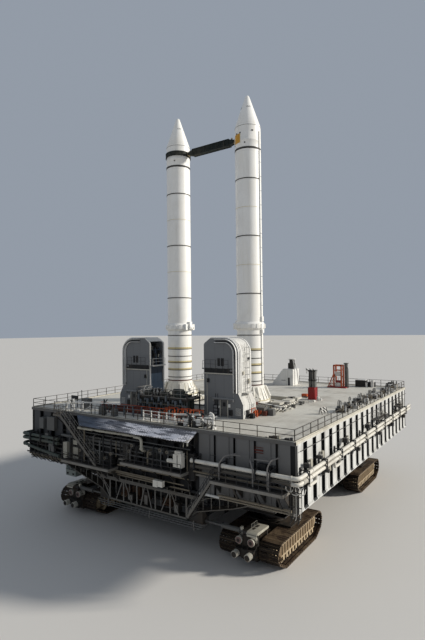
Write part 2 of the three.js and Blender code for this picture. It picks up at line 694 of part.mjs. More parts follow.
function forwardSkirtSolid() {
  const r = booster.radius;
  return spun([
    [0, station.case], [r, station.case], [r + 50, station.case + 20], [r + 50, station.case + 160],
    [r, station.case + 180], [r, station.shoulder - seat], [0, station.shoulder - seat],
  ]);
}

function noseConeSolid() {
  const r = booster.radius;
  const noseRadius = 330;
  const profile = [[0, station.shoulder], [r, station.shoulder], [r, station.shoulder + 200]];
  const lean = Math.atan2(r - noseRadius, station.tip - noseRadius - station.shoulder);
  for (let i = 0; i <= 4; i += 1) {
    const angle = lean + ((Math.PI / 2 - lean) * i) / 4;
    profile.push([noseRadius * Math.cos(angle), station.tip - noseRadius + noseRadius * Math.sin(angle)]);
  }
  profile[profile.length - 1][0] = 0;
  return spun(profile);
}

// Holding frame round each booster's exhaust hole, with four pads under the skirt
function supportSolid() {
  const { halfX, y0, y1 } = exhaust;
  const middle = booster.y;
  const lift = seat;
  const top = booster.skirtBase - seat;
  const solids = [
    block(-halfX - 480, -halfX - 20, y0 - 480 - middle, y1 + 480 - middle, lift, 560),
    block(halfX + 20, halfX + 480, y0 - 480 - middle, y1 + 480 - middle, lift, 560),
    block(-halfX - 480, halfX + 480, y0 - 480 - middle, y0 - 20 - middle, lift, 560),
    block(-halfX - 480, halfX + 480, y1 + 20 - middle, y1 + 480 - middle, lift, 560),
  ];
  for (const x of [-1, 1]) {
    for (const y of [-1, 1]) {
      solids.push(block(x * 1700, x * (halfX + 480), y * 1250, y * 2150, 100, top));
    }
  }
  return join(solids);
}

for (const [name, side] of [['right', 1], ['left', -1]]) {
  const support = groupAt(side * booster.x, booster.y, deck);
  addPiece(support, `booster_support_${name}`, supportSolid(), skirtWhite);
  const stack = groupAt(side * booster.x, booster.y, deck + booster.skirtBase, side > 0 ? 0 : Math.PI);
  addPiece(stack, `aft_skirt_${name}`, aftSkirtSolid(), skirtWhite);
  addPiece(stack, `nozzle_${name}`, nozzleSolid(), nozzleDark);
  addPiece(stack, `motor_case_${name}`, motorCaseSolid(), white);
  addPiece(stack, `forward_skirt_${name}`, forwardSkirtSolid(), white);
  addPiece(stack, `nose_cone_${name}`, noseConeSolid(), white);
}

// Dark cross beam between the forward skirts, with its band round the left booster
const beam = { z: 37780, half: 500, end: booster.x - booster.radius - 330 };
function crossBeamSolid() {
  const { half, end } = beam;
  const top = [[-end, 180], [-end + 900, half], [end - 900, half], [end, 180]];
  const shape = outline([...top, ...top.map(([x, z]) => [x, -z]).reverse()].reverse());
  return join(prismY(shape, -450, 450),
    block(end - 60, end + 328, -260, 260, -260, 260),
    block(-end - 180, -end + 60, -260, 260, -260, 260));
}
const crossBeam = groupAt(0, booster.y, deck + booster.skirtBase + beam.z);
addPiece(crossBeam, 'cross_beam', crossBeamSolid(), beamBlack);
const collar = groupAt(-booster.x, booster.y, deck + booster.skirtBase + beam.z);
const collarSolid = ring(booster.radius + seat, booster.radius + 140, -350, 350);
addPiece(collar, 'beam_collar', collarSolid, beamBlack);

// Things that stand on the deck
function deckPiece(name, x, y, solid, material) {
  addPiece(groupAt(x, y, deck + seat), name, solid, material);
}

function redStandSolid() {
  return join(
    block(-700, 700, -700, 700, 0, 1900),
    block(-520, -120, -350, 350, 1850, 4400),
    block(120, 520, -350, 350, 1850, 4400),
    block(-560, 560, -400, 400, 2900, 3100),
    block(-700, 700, -450, 450, 4350, 4650));
}
deckPiece('red_stand', 11500, 2700, redStandSolid(), signalRed);

function wedgeSolid() {
  return prismY(outline([[-2400, 0], [2200, 0], [2200, 3100], [200, 3100]]), -1500, 1500);
}
deckPiece('sloped_cabinet', -700, 19000, wedgeSolid(), white);

function orangeFrameSolid() {
  const solids = [block(-1900, 1600, -900, 900, 0, 180)];
  for (const x of [-700, 700]) {
    for (const y of [-600, 600]) solids.push(bar([x, y, 100], [x, y, 4200], 260));
    solids.push(bar([x, -600, 4080], [x, 600, 4080], 260));
    solids.push(bar([x, -600, 2000], [x, 600, 2000], 200));
  }
  for (const y of [-600, 600]) {
    solids.push(bar([-700, y, 4080], [700, y, 4080], 260));
    solids.push(bar([-1800, y, 150], [-700, y, 2600], 180));
  }
  return join(solids);
}
deckPiece('orange_frame', 10000, 19200, orangeFrameSolid(), signalOrange);

// Work frame round the engine exhaust hole, and the orange guard wall in front of it
function holeFrameSolid() {
  const x = 4250;
  const solids = [];
  for (const z of [700, 2300]) {
    solids.push(block(-x, x, -19900, -19200, z - 160, z));
    solids.push(block(-x, -x + 700, -19900, -17100, z - 160, z));
    solids.push(block(x - 700, x, -19900, -17100, z - 160, z));
    solids.push(block(-x, x, -17800, -17100, z - 160, z));
  }
  for (const px of [-x + 80, x - 80]) {
    for (const py of [-19820, -17180]) solids.push(bar([px, py, 600], [px, py, 2900], 140));
  }
  for (const px of [-x, x - 500]) {
    solids.push(block(px - (px < 0 ? 900 : 0), px + (px < 0 ? 500 : 1400), -19900, -19300, 0, 700));
  }
  return join(solids);
}
deckPiece('hole_work_frame', 0, 0, holeFrameSolid(), darkSteel);

function guardWallSolid() {
  const solids = [];
  const y = -21800;
  for (const z of [700, 1300]) solids.push(bar([-9000, y, z], [3000, y, z], 110));
  for (let i = 0; i <= 4; i += 1) {
    const x = -9000 + 3000 * i;
    solids.push(bar([x, y, 0], [x, y, 1300], 130));
  }
  solids.push(block(-9000, 1200, y + 30, y + 130, 100, 1200));
  return join(solids);
}
deckPiece('guard_wall', 0, 0, guardWallSolid(), signalOrange);

function hoseBundleSolid() {
  return join(
    pipeRun([[600, -3400, 330], [1000, 1200, 330], [900, 5600, 330], [650, 8800, 330]], 300),
    pipeRun([[1300, -3500, 260], [1700, 1500, 260], [1500, 6500, 260]], 240),
    block(300, 2000, 900, 1250, 0, 500),
    block(300, 2000, -3300, -2950, 0, 500));
}
deckPiece('deck_hoses', 9700, -9800, hoseBundleSolid(), pipeWhite);

// Put the middle of the whole thing over the origin
model.updateMatrixWorld(true);
const bounds = new THREE.Box3().setFromObject(model, true);
const middle = bounds.getCenter(new THREE.Vector3());
model.position.set(-middle.x, -middle.y, -bounds.min.z);
model.updateMatrixWorld(true);

export default model;
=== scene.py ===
# Twin booster rocket on its launch platform and crawler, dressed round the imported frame
import bpy
import bmesh
import math
import random
from mathutils import Matrix, Vector
from mathutils.geometry import convex_hull_2d


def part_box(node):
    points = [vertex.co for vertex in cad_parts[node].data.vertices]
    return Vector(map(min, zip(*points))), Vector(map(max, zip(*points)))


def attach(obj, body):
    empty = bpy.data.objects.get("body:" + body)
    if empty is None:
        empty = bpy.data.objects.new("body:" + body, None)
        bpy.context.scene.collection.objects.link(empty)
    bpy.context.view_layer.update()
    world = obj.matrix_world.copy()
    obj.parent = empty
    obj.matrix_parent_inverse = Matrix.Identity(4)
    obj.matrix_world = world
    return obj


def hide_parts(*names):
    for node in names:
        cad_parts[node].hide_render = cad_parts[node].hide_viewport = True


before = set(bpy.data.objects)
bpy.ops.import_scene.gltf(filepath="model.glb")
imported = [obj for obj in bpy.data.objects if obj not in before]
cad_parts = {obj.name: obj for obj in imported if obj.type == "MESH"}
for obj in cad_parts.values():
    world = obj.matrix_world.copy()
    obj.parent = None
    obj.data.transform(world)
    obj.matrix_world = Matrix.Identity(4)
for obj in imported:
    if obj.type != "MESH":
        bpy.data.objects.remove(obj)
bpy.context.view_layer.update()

# Every size below is that of the real thing in metres, with heights from a datum below the ground;
# the frame gives the scale and where its middle is
platformWidth = 41.15
ground = 1.05
ribPitch = 2.44
truckX, truckY, crawlerY = 13.7, 13.7, -1.95
hullParts = [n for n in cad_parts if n.startswith("platform_hull")]
hullLow = Vector([min(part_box(n)[0][i] for n in hullParts) for i in range(3)])
hullHigh = Vector([max(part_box(n)[1][i] for n in hullParts) for i in range(3)])
modelScale = (hullHigh.x - hullLow.x) / platformWidth
shiftY = (hullLow.y + hullHigh.y) / 2
deck = hullHigh.z / modelScale + ground
hullBottom = hullLow.z / modelScale + ground
halfX = platformWidth / 2
halfY = (hullHigh.y - hullLow.y) / 2 / modelScale
toModel = Matrix.Translation((0, shiftY, -ground * modelScale)) @ Matrix.Scale(modelScale, 4)
corners = {"near_right": (1, -1), "near_left": (-1, -1), "far_right": (1, 1), "far_left": (-1, 1)}
sides = {"right": 1, "left": -1}
rng = random.Random(7)


# Shapes: each function gives a list of (points, faces), closed and with its faces outwards
blockFaces = [(3, 2, 1, 0), (4, 5, 6, 7), (0, 1, 5, 4), (1, 2, 6, 5), (2, 3, 7, 6), (3, 0, 4, 7)]


def box(x0, x1, y0, y1, z0, z1):
    (x0, x1), (y0, y1), (z0, z1) = sorted((x0, x1)), sorted((y0, y1)), sorted((z0, z1))
    points = [(x, y, z) for z in (z0, z1) for x, y in ((x0, y0), (x1, y0), (x1, y1), (x0, y1))]
    return [(points, blockFaces)]


def boxAt(x, y, z, dx, dy, dz):  # middle of the base, and the size
    return box(x - dx / 2, x + dx / 2, y - dy / 2, y + dy / 2, z, z + dz)


def sideways(direction):
    flat = Vector((-direction.y, direction.x, 0))
    return flat.normalized() if flat.length > 1e-4 else Vector((1, 0, 0))


def beam(a, b, width, depth=None):
    a, b = Vector(a), Vector(b)
    along = (b - a).normalized()
    across = sideways(along) * (width / 2)
    upright = along.cross(across).normalized() * ((depth or width) / 2)
    ends = [[p + across * i + upright * j for i, j in ((-1, -1), (1, -1), (1, 1), (-1, 1))] for p in (a, b)]
    return [([tuple(p) for p in ends[0] + ends[1]], blockFaces)]


def rounded(points, bend, steps=4):
    points = [Vector(p) for p in points]
    if bend <= 0 or len(points) < 3:
        return points
    path = [points[0]]
    for before, corner, after in zip(points, points[1:], points[2:]):
        reach = min(bend, (before - corner).length / 2.2, (after - corner).length / 2.2)
        start = corner + (before - corner).normalized() * reach
        end = corner + (after - corner).normalized() * reach
        for i in range(steps + 1):
            t = i / steps
            path.append(start * (1 - t) ** 2 + corner * 2 * t * (1 - t) + end * t * t)
    return path + [points[-1]]


def tube(points, radius, sides=8, bend=0.0):
    path = rounded(points, bend)
    radii = radius if isinstance(radius, (list, tuple)) else [radius] * len(path)
    across = sideways((path[1] - path[0]).normalized())
    ringPoints = []
    for i, p in enumerate(path):
        ahead = path[min(i + 1, len(path) - 1)] - path[max(i - 1, 0)]
        along = ahead.normalized()
        across = (across - along * across.dot(along)).normalized()
        upright = along.cross(across)
        for k in range(sides):
            a = 2 * math.pi * k / sides
            ringPoints.append(tuple(p + (across * math.cos(a) + upright * math.sin(a)) * radii[i]))
    faces = [tuple(reversed(range(sides))), tuple(range(len(ringPoints) - sides, len(ringPoints)))]
    for i in range(len(path) - 1):
        for k in range(sides):
            n = (k + 1) % sides
            faces.append((i * sides + k, i * sides + n, (i + 1) * sides + n, (i + 1) * sides + k))
    return [(ringPoints, faces)]


def lathe(profile, sides=48, at=(0, 0, 0)):
    # (radius, height) rows, up the outside, from axis to axis or closed
    points, rings, faces = [], [], []
    for i, (r, h) in enumerate(profile):
        count = 1 if r < 1e-6 else sides
        if i and i == len(profile) - 1 and (r, h) == tuple(profile[0]) and count > 1:
            rings.append(rings[0])  # a closed profile ends on its first ring
            continue
        rings.append((len(points), count))
        for k in range(count):
            a = 2 * math.pi * k / sides
            points.append((at[0] + r * math.cos(a), at[1] + r * math.sin(a), at[2] + h))
    for (a, na), (b, nb) in zip(rings, rings[1:]):
        for k in range(sides):
            n = (k + 1) % sides
            if na == 1 and nb == 1:
                continue
            if na == 1:
                faces.append((a, b + n, b + k))
            elif nb == 1:
                faces.append((a + k, a + n, b))
            else:
                faces.append((a + k, a + n, b + n, b + k))
    return [(points, faces)]


def hoop(inner, outer, z0, z1, sides=48, at=(0, 0, 0)):
    return lathe([(inner, z0), (outer, z0), (outer, z1), (inner, z1), (inner, z0)], sides, at)


planes = {"x": lambda t, u, v: (t, u, v), "y": lambda t, u, v: (u, t, v), "z": lambda t, u, v: (u, v, t)}


def prism(outline, axis, t0, t1):  # outline in the other two axes, in x-y-z order
    area = sum(a[0] * b[1] - b[0] * a[1] for a, b in zip(outline, outline[1:] + outline[:1]))
    turnsLeft = (area > 0) == (axis != "y")
    ring = outline if turnsLeft else outline[::-1]
    t0, t1 = sorted((t0, t1))
    n = len(ring)
    points = [planes[axis](t, u, v) for t in (t0, t1) for u, v in ring]
    faces = [tuple(reversed(range(n))), tuple(range(n, 2 * n))]
    faces += [(i, (i + 1) % n, (i + 1) % n + n, i + n) for i in range(n)]
    return [(points, faces)]


def arc(cx, cy, radius, start, end, steps=8):
    return [(cx + radius * math.cos(math.radians(start + (end - start) * i / steps)),
             cy + radius * math.sin(math.radians(start + (end - start) * i / steps))) for i in range(steps + 1)]


def placed(parts, matrix):
    flip = matrix.determinant() < 0
    return [([tuple(matrix @ Vector(p)) for p in points], [f[::-1] for f in faces] if flip else faces)
            for points, faces in parts]


def moved(parts, x=0.0, y=0.0, z=0.0, turn=0.0):
    return placed(parts, Matrix.Translation((x, y, z)) @ Matrix.Rotation(math.radians(turn), 4, "Z"))


def turnedBox(x, y, z, dx, dy, dz, turn):
    return moved(boxAt(0, 0, 0, dx, dy, dz), x, y, z, turn)


def quarterTurn(x, y, z, axis):  # a place, with what stands there turned by 90 degrees about an axis
    return Matrix.Translation((x, y, z)) @ Matrix.Rotation(math.pi / 2, 4, axis)


def allMoved(layers, x=0.0, y=0.0, z=0.0, turn=0.0):
    return {material: moved(parts, x, y, z, turn) for material, parts in layers.items()}


def merged(*layerSets):
    whole = {}
    for layers in layerSets:
        for material, parts in layers.items():
            whole.setdefault(material, []).extend(parts)
    return whole


def gathered(parts):  # one list of points and one of faces
    points, faces = [], []
    for some, around in parts:
        start = len(points)
        points.extend(some)
        faces.extend([tuple(start + i for i in f) for f in around])
    return points, faces


def linked(name, data):
    made = bpy.data.objects.new(name, data)
    bpy.context.scene.collection.objects.link(made)
    return made


def softened(mesh, angle):  # smooth faces, with sharp edges above an angle
    mesh.polygons.foreach_set("use_smooth", [True] * len(mesh.polygons))
    mesh.set_sharp_from_angle(angle=math.radians(angle))


def piece(name, layers, body="base", stands=(), bevel=0.0, smooth=35):
    # layers is a dictionary from a material name to its parts
    mesh = bpy.data.meshes.new(name)
    for material in layers:
        mesh.materials.append(finishes[material])
    points, faces = gathered([part for parts in layers.values() for part in parts])
    mesh.from_pydata(points, [], faces)
    slots = [i for i, parts in enumerate(layers.values()) for _, around in parts for _ in around]
    mesh.polygons.foreach_set("material_index", slots)
    mesh.transform(toModel)
    softened(mesh, smooth)
    made = linked(name, mesh)
    if bevel:
        edge = made.modifiers.new("Bevel", "BEVEL")
        edge.width = bevel * modelScale
        edge.segments = 1
        edge.limit_method = "ANGLE"
        edge.angle_limit = math.radians(40)
        edge.harden_normals = False
    return settle(made, body, stands)


def settle(made, body, stands=()):
    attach(made, body)
    if stands:
        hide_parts(*stands)
    return made


# Geometry Nodes: trees for what repeats along a path, a surface or a set of places
def newTree(name, inputs):
    tree = bpy.data.node_groups.new(name, "GeometryNodeTree")
    tree.is_modifier = True
    tree.interface.new_socket("Geometry", in_out="INPUT", socket_type="NodeSocketGeometry")
    for label, kind, value in inputs:
        socket = tree.interface.new_socket(label, in_out="INPUT", socket_type="NodeSocket" + kind)
        if value is not None:
            socket.default_value = value
    tree.interface.new_socket("Geometry", in_out="OUTPUT", socket_type="NodeSocketGeometry")
    return tree, tree.nodes.new("NodeGroupInput"), tree.nodes.new("NodeGroupOutput")


def feed(tree, socket, value):  # a plain value, or a link from another node's output
    if isinstance(value, bpy.types.NodeSocket):
        tree.links.new(value, socket)
    else:
        socket.default_value = value


def newNode(tree, kind, settings=None, **inputs):
    # inputs: socket name with _ for spaces = value or output socket
    node = tree.nodes.new(kind)
    for key, value in (settings or {}).items():
        setattr(node, key, value)
    for label, value in inputs.items():
        feed(tree, next(s for s in node.inputs if s.name == label.replace("_", " ") and s.enabled), value)
    return node


def maths(tree, operation, a, b=0.0, clamp=False):
    node = tree.nodes.new("ShaderNodeMath")
    node.operation = operation
    node.use_clamp = clamp
    feed(tree, node.inputs[0], a)
    feed(tree, node.inputs[1], b)
    return node.outputs[0]


def closeTree(tree, into, out, shapes):
    joined = tree.nodes.new("GeometryNodeJoinGeometry")
    for shape in shapes:
        tree.links.new(shape, joined.inputs[0])
    real = newNode(tree, "GeometryNodeRealizeInstances", Geometry=joined.outputs[0])
    painted = newNode(tree, "GeometryNodeSetMaterial", Geometry=real.outputs[0],
                      Material=into.outputs["Material"])
    tree.links.new(painted.outputs[0], out.inputs["Geometry"])
    return tree


def railingTree():  # posts at even steps along each line, with a top, a middle and a kick rail
    tree, into, out = newTree("railing", [("Spacing", "Float", 1.0), ("Height", "Float", 1.0),
        ("Middle", "Float", 0.5), ("Post Radius", "Float", 0.02), ("Rail Radius", "Float", 0.02),
        ("Kick", "Float", 0.05), ("Material", "Material", None)])
    line = newNode(tree, "GeometryNodeMeshToCurve", Mesh=into.outputs["Geometry"])
    even = newNode(tree, "GeometryNodeResampleCurve", {"mode": "LENGTH"}, Curve=line.outputs[0],
        Length=into.outputs["Spacing"])
    post = newNode(tree, "GeometryNodeMeshCylinder", Vertices=6, Radius=into.outputs["Post Radius"],
        Depth=into.outputs["Height"])
    lift = newNode(tree, "ShaderNodeCombineXYZ", Z=maths(tree, "MULTIPLY", into.outputs["Height"], 0.5))
    standing = newNode(tree, "GeometryNodeTransform", Geometry=post.outputs[0], Translation=lift.outputs[0])
    posts = newNode(tree, "GeometryNodeInstanceOnPoints", Points=even.outputs[0], Instance=standing.outputs[0])
    shapes = [posts.outputs[0]]
    section = newNode(tree, "GeometryNodeCurvePrimitiveCircle", Resolution=6,
                      Radius=into.outputs["Rail Radius"])
    flat = newNode(tree, "GeometryNodeCurvePrimitiveQuadrilateral", Width=0.006, Height=into.outputs["Kick"])
    for height, shape in (("Height", section), ("Middle", section), ("Kick", flat)):
        up = newNode(tree, "ShaderNodeCombineXYZ", Z=into.outputs[height])
        raised = newNode(tree, "GeometryNodeSetPosition", Geometry=line.outputs[0], Offset=up.outputs[0])
        bar = newNode(tree, "GeometryNodeCurveToMesh", {}, Curve=raised.outputs[0],
                      Profile_Curve=shape.outputs[0], Fill_Caps=True)
        shapes.append(bar.outputs[0])
    return closeTree(tree, into, out, shapes)


def beltTree():  # count copies of one shoe, laid tail to head round a closed line that lies across X
    tree, into, out = newTree("belt", [("Fitting", "Object", None), ("Count", "Int", 57),
                                       ("Material", "Material", None)])
    line = newNode(tree, "GeometryNodeMeshToCurve", Mesh=into.outputs["Geometry"])
    even = newNode(tree, "GeometryNodeResampleCurve", {"mode": "COUNT"}, Curve=line.outputs[0],
        Count=into.outputs["Count"])
    tangent = newNode(tree, "GeometryNodeInputTangent")
    facing = newNode(tree, "FunctionNodeAlignRotationToVector", {"axis": "Y", "pivot_axis": "X"},
        Vector=tangent.outputs[0])
    shoe = newNode(tree, "GeometryNodeObjectInfo", {"transform_space": "ORIGINAL"},
                   Object=into.outputs["Fitting"])
    laid = newNode(tree, "GeometryNodeInstanceOnPoints", Points=even.outputs[0],
        Instance=shoe.outputs["Geometry"], Rotation=facing.outputs[0])
    return closeTree(tree, into, out, [laid.outputs[0]])


def spreadTree():  # one copy of a fitting at each point, turned by the point's own "turn"
    tree, into, out = newTree("spread", [("Fitting", "Object", None), ("Material", "Material", None)])
    turn = newNode(tree, "GeometryNodeInputNamedAttribute", {"data_type": "FLOAT_VECTOR"}, Name="turn")
    turned = newNode(tree, "FunctionNodeEulerToRotation", Euler=turn.outputs["Attribute"])
    fitting = newNode(tree, "GeometryNodeObjectInfo", {"transform_space": "ORIGINAL"},
        Object=into.outputs["Fitting"])
    set_ = newNode(tree, "GeometryNodeInstanceOnPoints", Points=into.outputs["Geometry"],
        Instance=fitting.outputs["Geometry"], Rotation=turned.outputs[0])
    return closeTree(tree, into, out, [set_.outputs[0]])


def pipeTree():  # a round pipe along a line, with a pair of flanges at even steps
    tree, into, out = newTree("flanged pipe", [("Radius", "Float", 0.1), ("Step", "Float", 2.0),
        ("Flange Radius", "Float", 0.13), ("Flange Length", "Float", 0.05), ("Material", "Material", None)])
    line = newNode(tree, "GeometryNodeMeshToCurve", Mesh=into.outputs["Geometry"])
    section = newNode(tree, "GeometryNodeCurvePrimitiveCircle", Resolution=14, Radius=into.outputs["Radius"])
    pipe = newNode(tree, "GeometryNodeCurveToMesh", {}, Curve=line.outputs[0], Profile_Curve=section.outputs[0],
        Fill_Caps=True)
    even = newNode(tree, "GeometryNodeResampleCurve", {"mode": "LENGTH"}, Curve=line.outputs[0],
        Length=into.outputs["Step"])
    tangent = newNode(tree, "GeometryNodeInputTangent")
    facing = newNode(tree, "FunctionNodeAlignRotationToVector", {"axis": "Z"}, Vector=tangent.outputs[0])
    flange = newNode(tree, "GeometryNodeMeshCylinder", Vertices=14, Radius=into.outputs["Flange Radius"],
        Depth=into.outputs["Flange Length"])
    set_ = newNode(tree, "GeometryNodeInstanceOnPoints", Points=even.outputs[0], Instance=flange.outputs[0],
        Rotation=facing.outputs[0])
    return closeTree(tree, into, out, [pipe.outputs[0], set_.outputs[0]])


trees = {"railing": railingTree(), "belt": beltTree(), "spread": spreadTree(), "pipe": pipeTree()}


def lineMesh(name, lines, closed=False):  # lines in full-size metres
    points, edges = [], []
    for line in lines:
        start = len(points)
        points.extend([tuple(toModel @ Vector(p)) for p in line])
        edges.extend([(start + i, start + i + 1) for i in range(len(line) - 1)])
        if closed:
            edges.append((len(points) - 1, start))
    mesh = bpy.data.meshes.new(name)
    mesh.from_pydata(points, edges, [])
    return mesh


def pointMesh(name, rows):  # rows of (x, y, z, turn about X, Y, Z in degrees)
    mesh = bpy.data.meshes.new(name)
    mesh.from_pydata([tuple(toModel @ Vector(r[:3])) for r in rows], [], [])
    turn = mesh.attributes.new("turn", "FLOAT_VECTOR", "POINT")
    for i, r in enumerate(rows):
        turn.data[i].vector = [math.radians(a) for a in (tuple(r[3:]) + (0, 0, 0))[:3]]
    return mesh


def fittingObject(name, parts, smooth=35):  # a fitting to be repeated, at model scale about its own origin
    points, faces = gathered(parts)
    mesh = bpy.data.meshes.new(name)
    mesh.from_pydata([tuple(Vector(p) * modelScale) for p in points], [], faces)
    softened(mesh, smooth)
    return linked(name, mesh)


def grow(name, mesh, tree, values, body="base", stands=(), smooth=35):
    seed = linked(name + "_seed", mesh)
    modifier = seed.modifiers.new("Grow", "NODES")
    modifier.node_group = trees[tree]
    for item in trees[tree].interface.items_tree:
        if item.in_out == "INPUT" and item.name in values:
            modifier[item.identifier] = values[item.name]
    evaluated = seed.evaluated_get(bpy.context.evaluated_depsgraph_get())
    grown = bpy.data.meshes.new_from_object(evaluated)
    grown.name = name
    grown.materials.clear()
    grown.materials.append(values["Material"])
    softened(grown, smooth)
    if "turn" in grown.attributes:
        grown.attributes.remove(grown.attributes["turn"])
    modifier.node_group = None
    seed.modifiers.remove(modifier)
    bpy.data.objects.remove(seed)
    if "Fitting" in values:
        bpy.data.objects.remove(values["Fitting"])
    return settle(linked(name, grown), body, stands)


def treeValues(look):  # sizes in full-size metres and a paint, as a tree takes them
    values = {k: v * modelScale for k, v in look.items() if k != "paint"}
    values["Material"] = finishes[look["paint"]]
    return values


def railing(name, lines, look, stands=()):
    usual = {"Spacing": 1.55, "Height": 1.07, "Middle": 0.56, "Post Radius": 0.035, "Rail Radius": 0.03,
             "Kick": 0.1}
    return grow(name, lineMesh(name, lines), "railing", treeValues({**usual, **look}), stands=stands)


def spread(name, fitting, rows, paint):
    shape = fittingObject(name + "_fitting", fitting)
    return grow(name, pointMesh(name, rows), "spread", {"Fitting": shape, "Material": finishes[paint]})


# Shader groups shared by the finishes, each with named inputs and outputs
def shaderGroup(name, inputs, outputs):
    group = bpy.data.node_groups.new(name, "ShaderNodeTree")
    for label, kind, value in inputs:
        group.interface.new_socket(label, in_out="INPUT", socket_type="NodeSocket" + kind).default_value = value
    for label, kind in outputs:
        group.interface.new_socket(label, in_out="OUTPUT", socket_type="NodeSocket" + kind)
    return group, group.nodes.new("NodeGroupInput"), group.nodes.new("NodeGroupOutput")


def objectPlace(tree):
    return newNode(tree, "ShaderNodeTexCoord").outputs["Object"]


def axisOf(tree, vector, axis):
    return newNode(tree, "ShaderNodeSeparateXYZ", Vector=vector).outputs[axis]


def noiseAt(tree, where, scale, detail=4.0, rough=0.6):
    return newNode(tree, "ShaderNodeTexNoise", Vector=where, Scale=scale, Detail=detail,
                   Roughness=rough).outputs["Fac"]


def ramp(tree, value, low, high):
    return newNode(tree, "ShaderNodeMapRange", {"interpolation_type": "SMOOTHSTEP"}, Value=value, From_Min=low,
                   From_Max=high).outputs[0]


def blendColour(tree, factor, a, b, kind="MIX"):
    node = tree.nodes.new("ShaderNodeMix")
    node.data_type = "RGBA"
    node.blend_type = kind
    for name, value in (("Factor_Float", factor), ("A_Color", a), ("B_Color", b)):
        feed(tree, next(s for s in node.inputs if s.identifier == name), value)
    return next(s for s in node.outputs if s.identifier == "Result_Color")


def stretched(tree, where, x, y, z):
    scaled = newNode(tree, "ShaderNodeVectorMath", {"operation": "MULTIPLY"})
    tree.links.new(where, scaled.inputs[0])
    scaled.inputs[1].default_value = (x, y, z)
    return scaled.outputs[0]


def weatherGroup():  # patches of soil, streaks that run down, specks of rust, and a fine grain for bump
    group, into, out = shaderGroup("weather",
        [("Color", "Color", (1, 1, 1, 1)), ("Soil Color", "Color", (0.2, 0.17, 0.13, 1)),
         ("Soil", "Float", 0.3), ("Streaks", "Float", 0.3), ("Rust", "Float", 0.0), ("Size", "Float", 1.0),
         ("Gloss", "Float", 0.5)],
        [("Color", "Color"), ("Roughness", "Float"), ("Height", "Float")])
    place = objectPlace(group)
    sized = newNode(group, "ShaderNodeVectorMath", {"operation": "SCALE"}, Vector=place,
                    Scale=into.outputs["Size"]).outputs[0]
    patches = noiseAt(group, sized, 0.7, 5.0, 0.62)
    runs = noiseAt(group, stretched(group, sized, 6, 6, 0.35), 1.0, 4.0)
    grain = noiseAt(group, sized, 34.0, 3.0)
    specks = noiseAt(group, sized, 9.0, 7.0, 0.7)
    soiled = maths(group, "MULTIPLY", ramp(group, patches, 0.42, 0.7), into.outputs["Soil"])
    streaked = maths(group, "MULTIPLY", ramp(group, runs, 0.5, 0.72), into.outputs["Streaks"])
    rusted = maths(group, "MULTIPLY", ramp(group, specks, 0.56, 0.66), into.outputs["Rust"])
    dirty = maths(group, "MAXIMUM", soiled, streaked)
    colour = blendColour(group, dirty, into.outputs["Color"], into.outputs["Soil Color"])
    colour = blendColour(group, rusted, colour, (0.16, 0.065, 0.03, 1))
    shade = newNode(group, "ShaderNodeMapRange", Value=grain, To_Min=0.86, To_Max=1.12).outputs[0]
    shadeColour = newNode(group, "ShaderNodeCombineColor", Red=shade, Green=shade, Blue=shade).outputs[0]
    colour = blendColour(group, 1.0, colour, shadeColour, "MULTIPLY")
    rough = maths(group, "ADD", into.outputs["Gloss"], maths(group, "MULTIPLY", dirty, 0.25))
    rough = maths(group, "ADD", rough, maths(group, "MULTIPLY", rusted, 0.3), True)
    height = maths(group, "ADD", maths(group, "MULTIPLY", grain, 0.35), maths(group, "MULTIPLY", rusted, 0.6))
    for socket, value in (("Color", colour), ("Roughness", rough), ("Height", height)):
        group.links.new(value, out.inputs[socket])
    return group


def seamGroup():  # 1 on the lines of a grid of plates
    group, into, out = shaderGroup("plate seams", [("Step", "Vector", (1, 1, 1)), ("Width", "Float", 0.01)],
                                   [("Mask", "Float")])
    place = objectPlace(group)
    counted = newNode(group, "ShaderNodeVectorMath", {"operation": "DIVIDE"})
    group.links.new(place, counted.inputs[0])
    group.links.new(into.outputs["Step"], counted.inputs[1])
    parts = newNode(group, "ShaderNodeSeparateXYZ", Vector=counted.outputs[0])
    sizes = newNode(group, "ShaderNodeSeparateXYZ", Vector=into.outputs["Step"])
    mask = 0.0
    for axis in "XYZ":
        part = maths(group, "FRACT", parts.outputs[axis])
        away = maths(group, "MULTIPLY", maths(group, "MINIMUM", part, maths(group, "SUBTRACT", 1.0, part)),
                     sizes.outputs[axis])
        mask = maths(group, "MAXIMUM", mask, maths(group, "LESS_THAN", away, into.outputs["Width"]))
    group.links.new(mask, out.inputs["Mask"])
    return group


groups = {"weather": weatherGroup(), "seams": seamGroup()}
finishes = {}


def useGroup(tree, name, **values):
    node = tree.nodes.new("ShaderNodeGroup")
    node.node_tree = groups[name]
    for label, value in values.items():
        feed(tree, node.inputs[label.replace("_", " ")], value)
    return node


def rgb(r, g, b):
    return (r, g, b, 1.0)


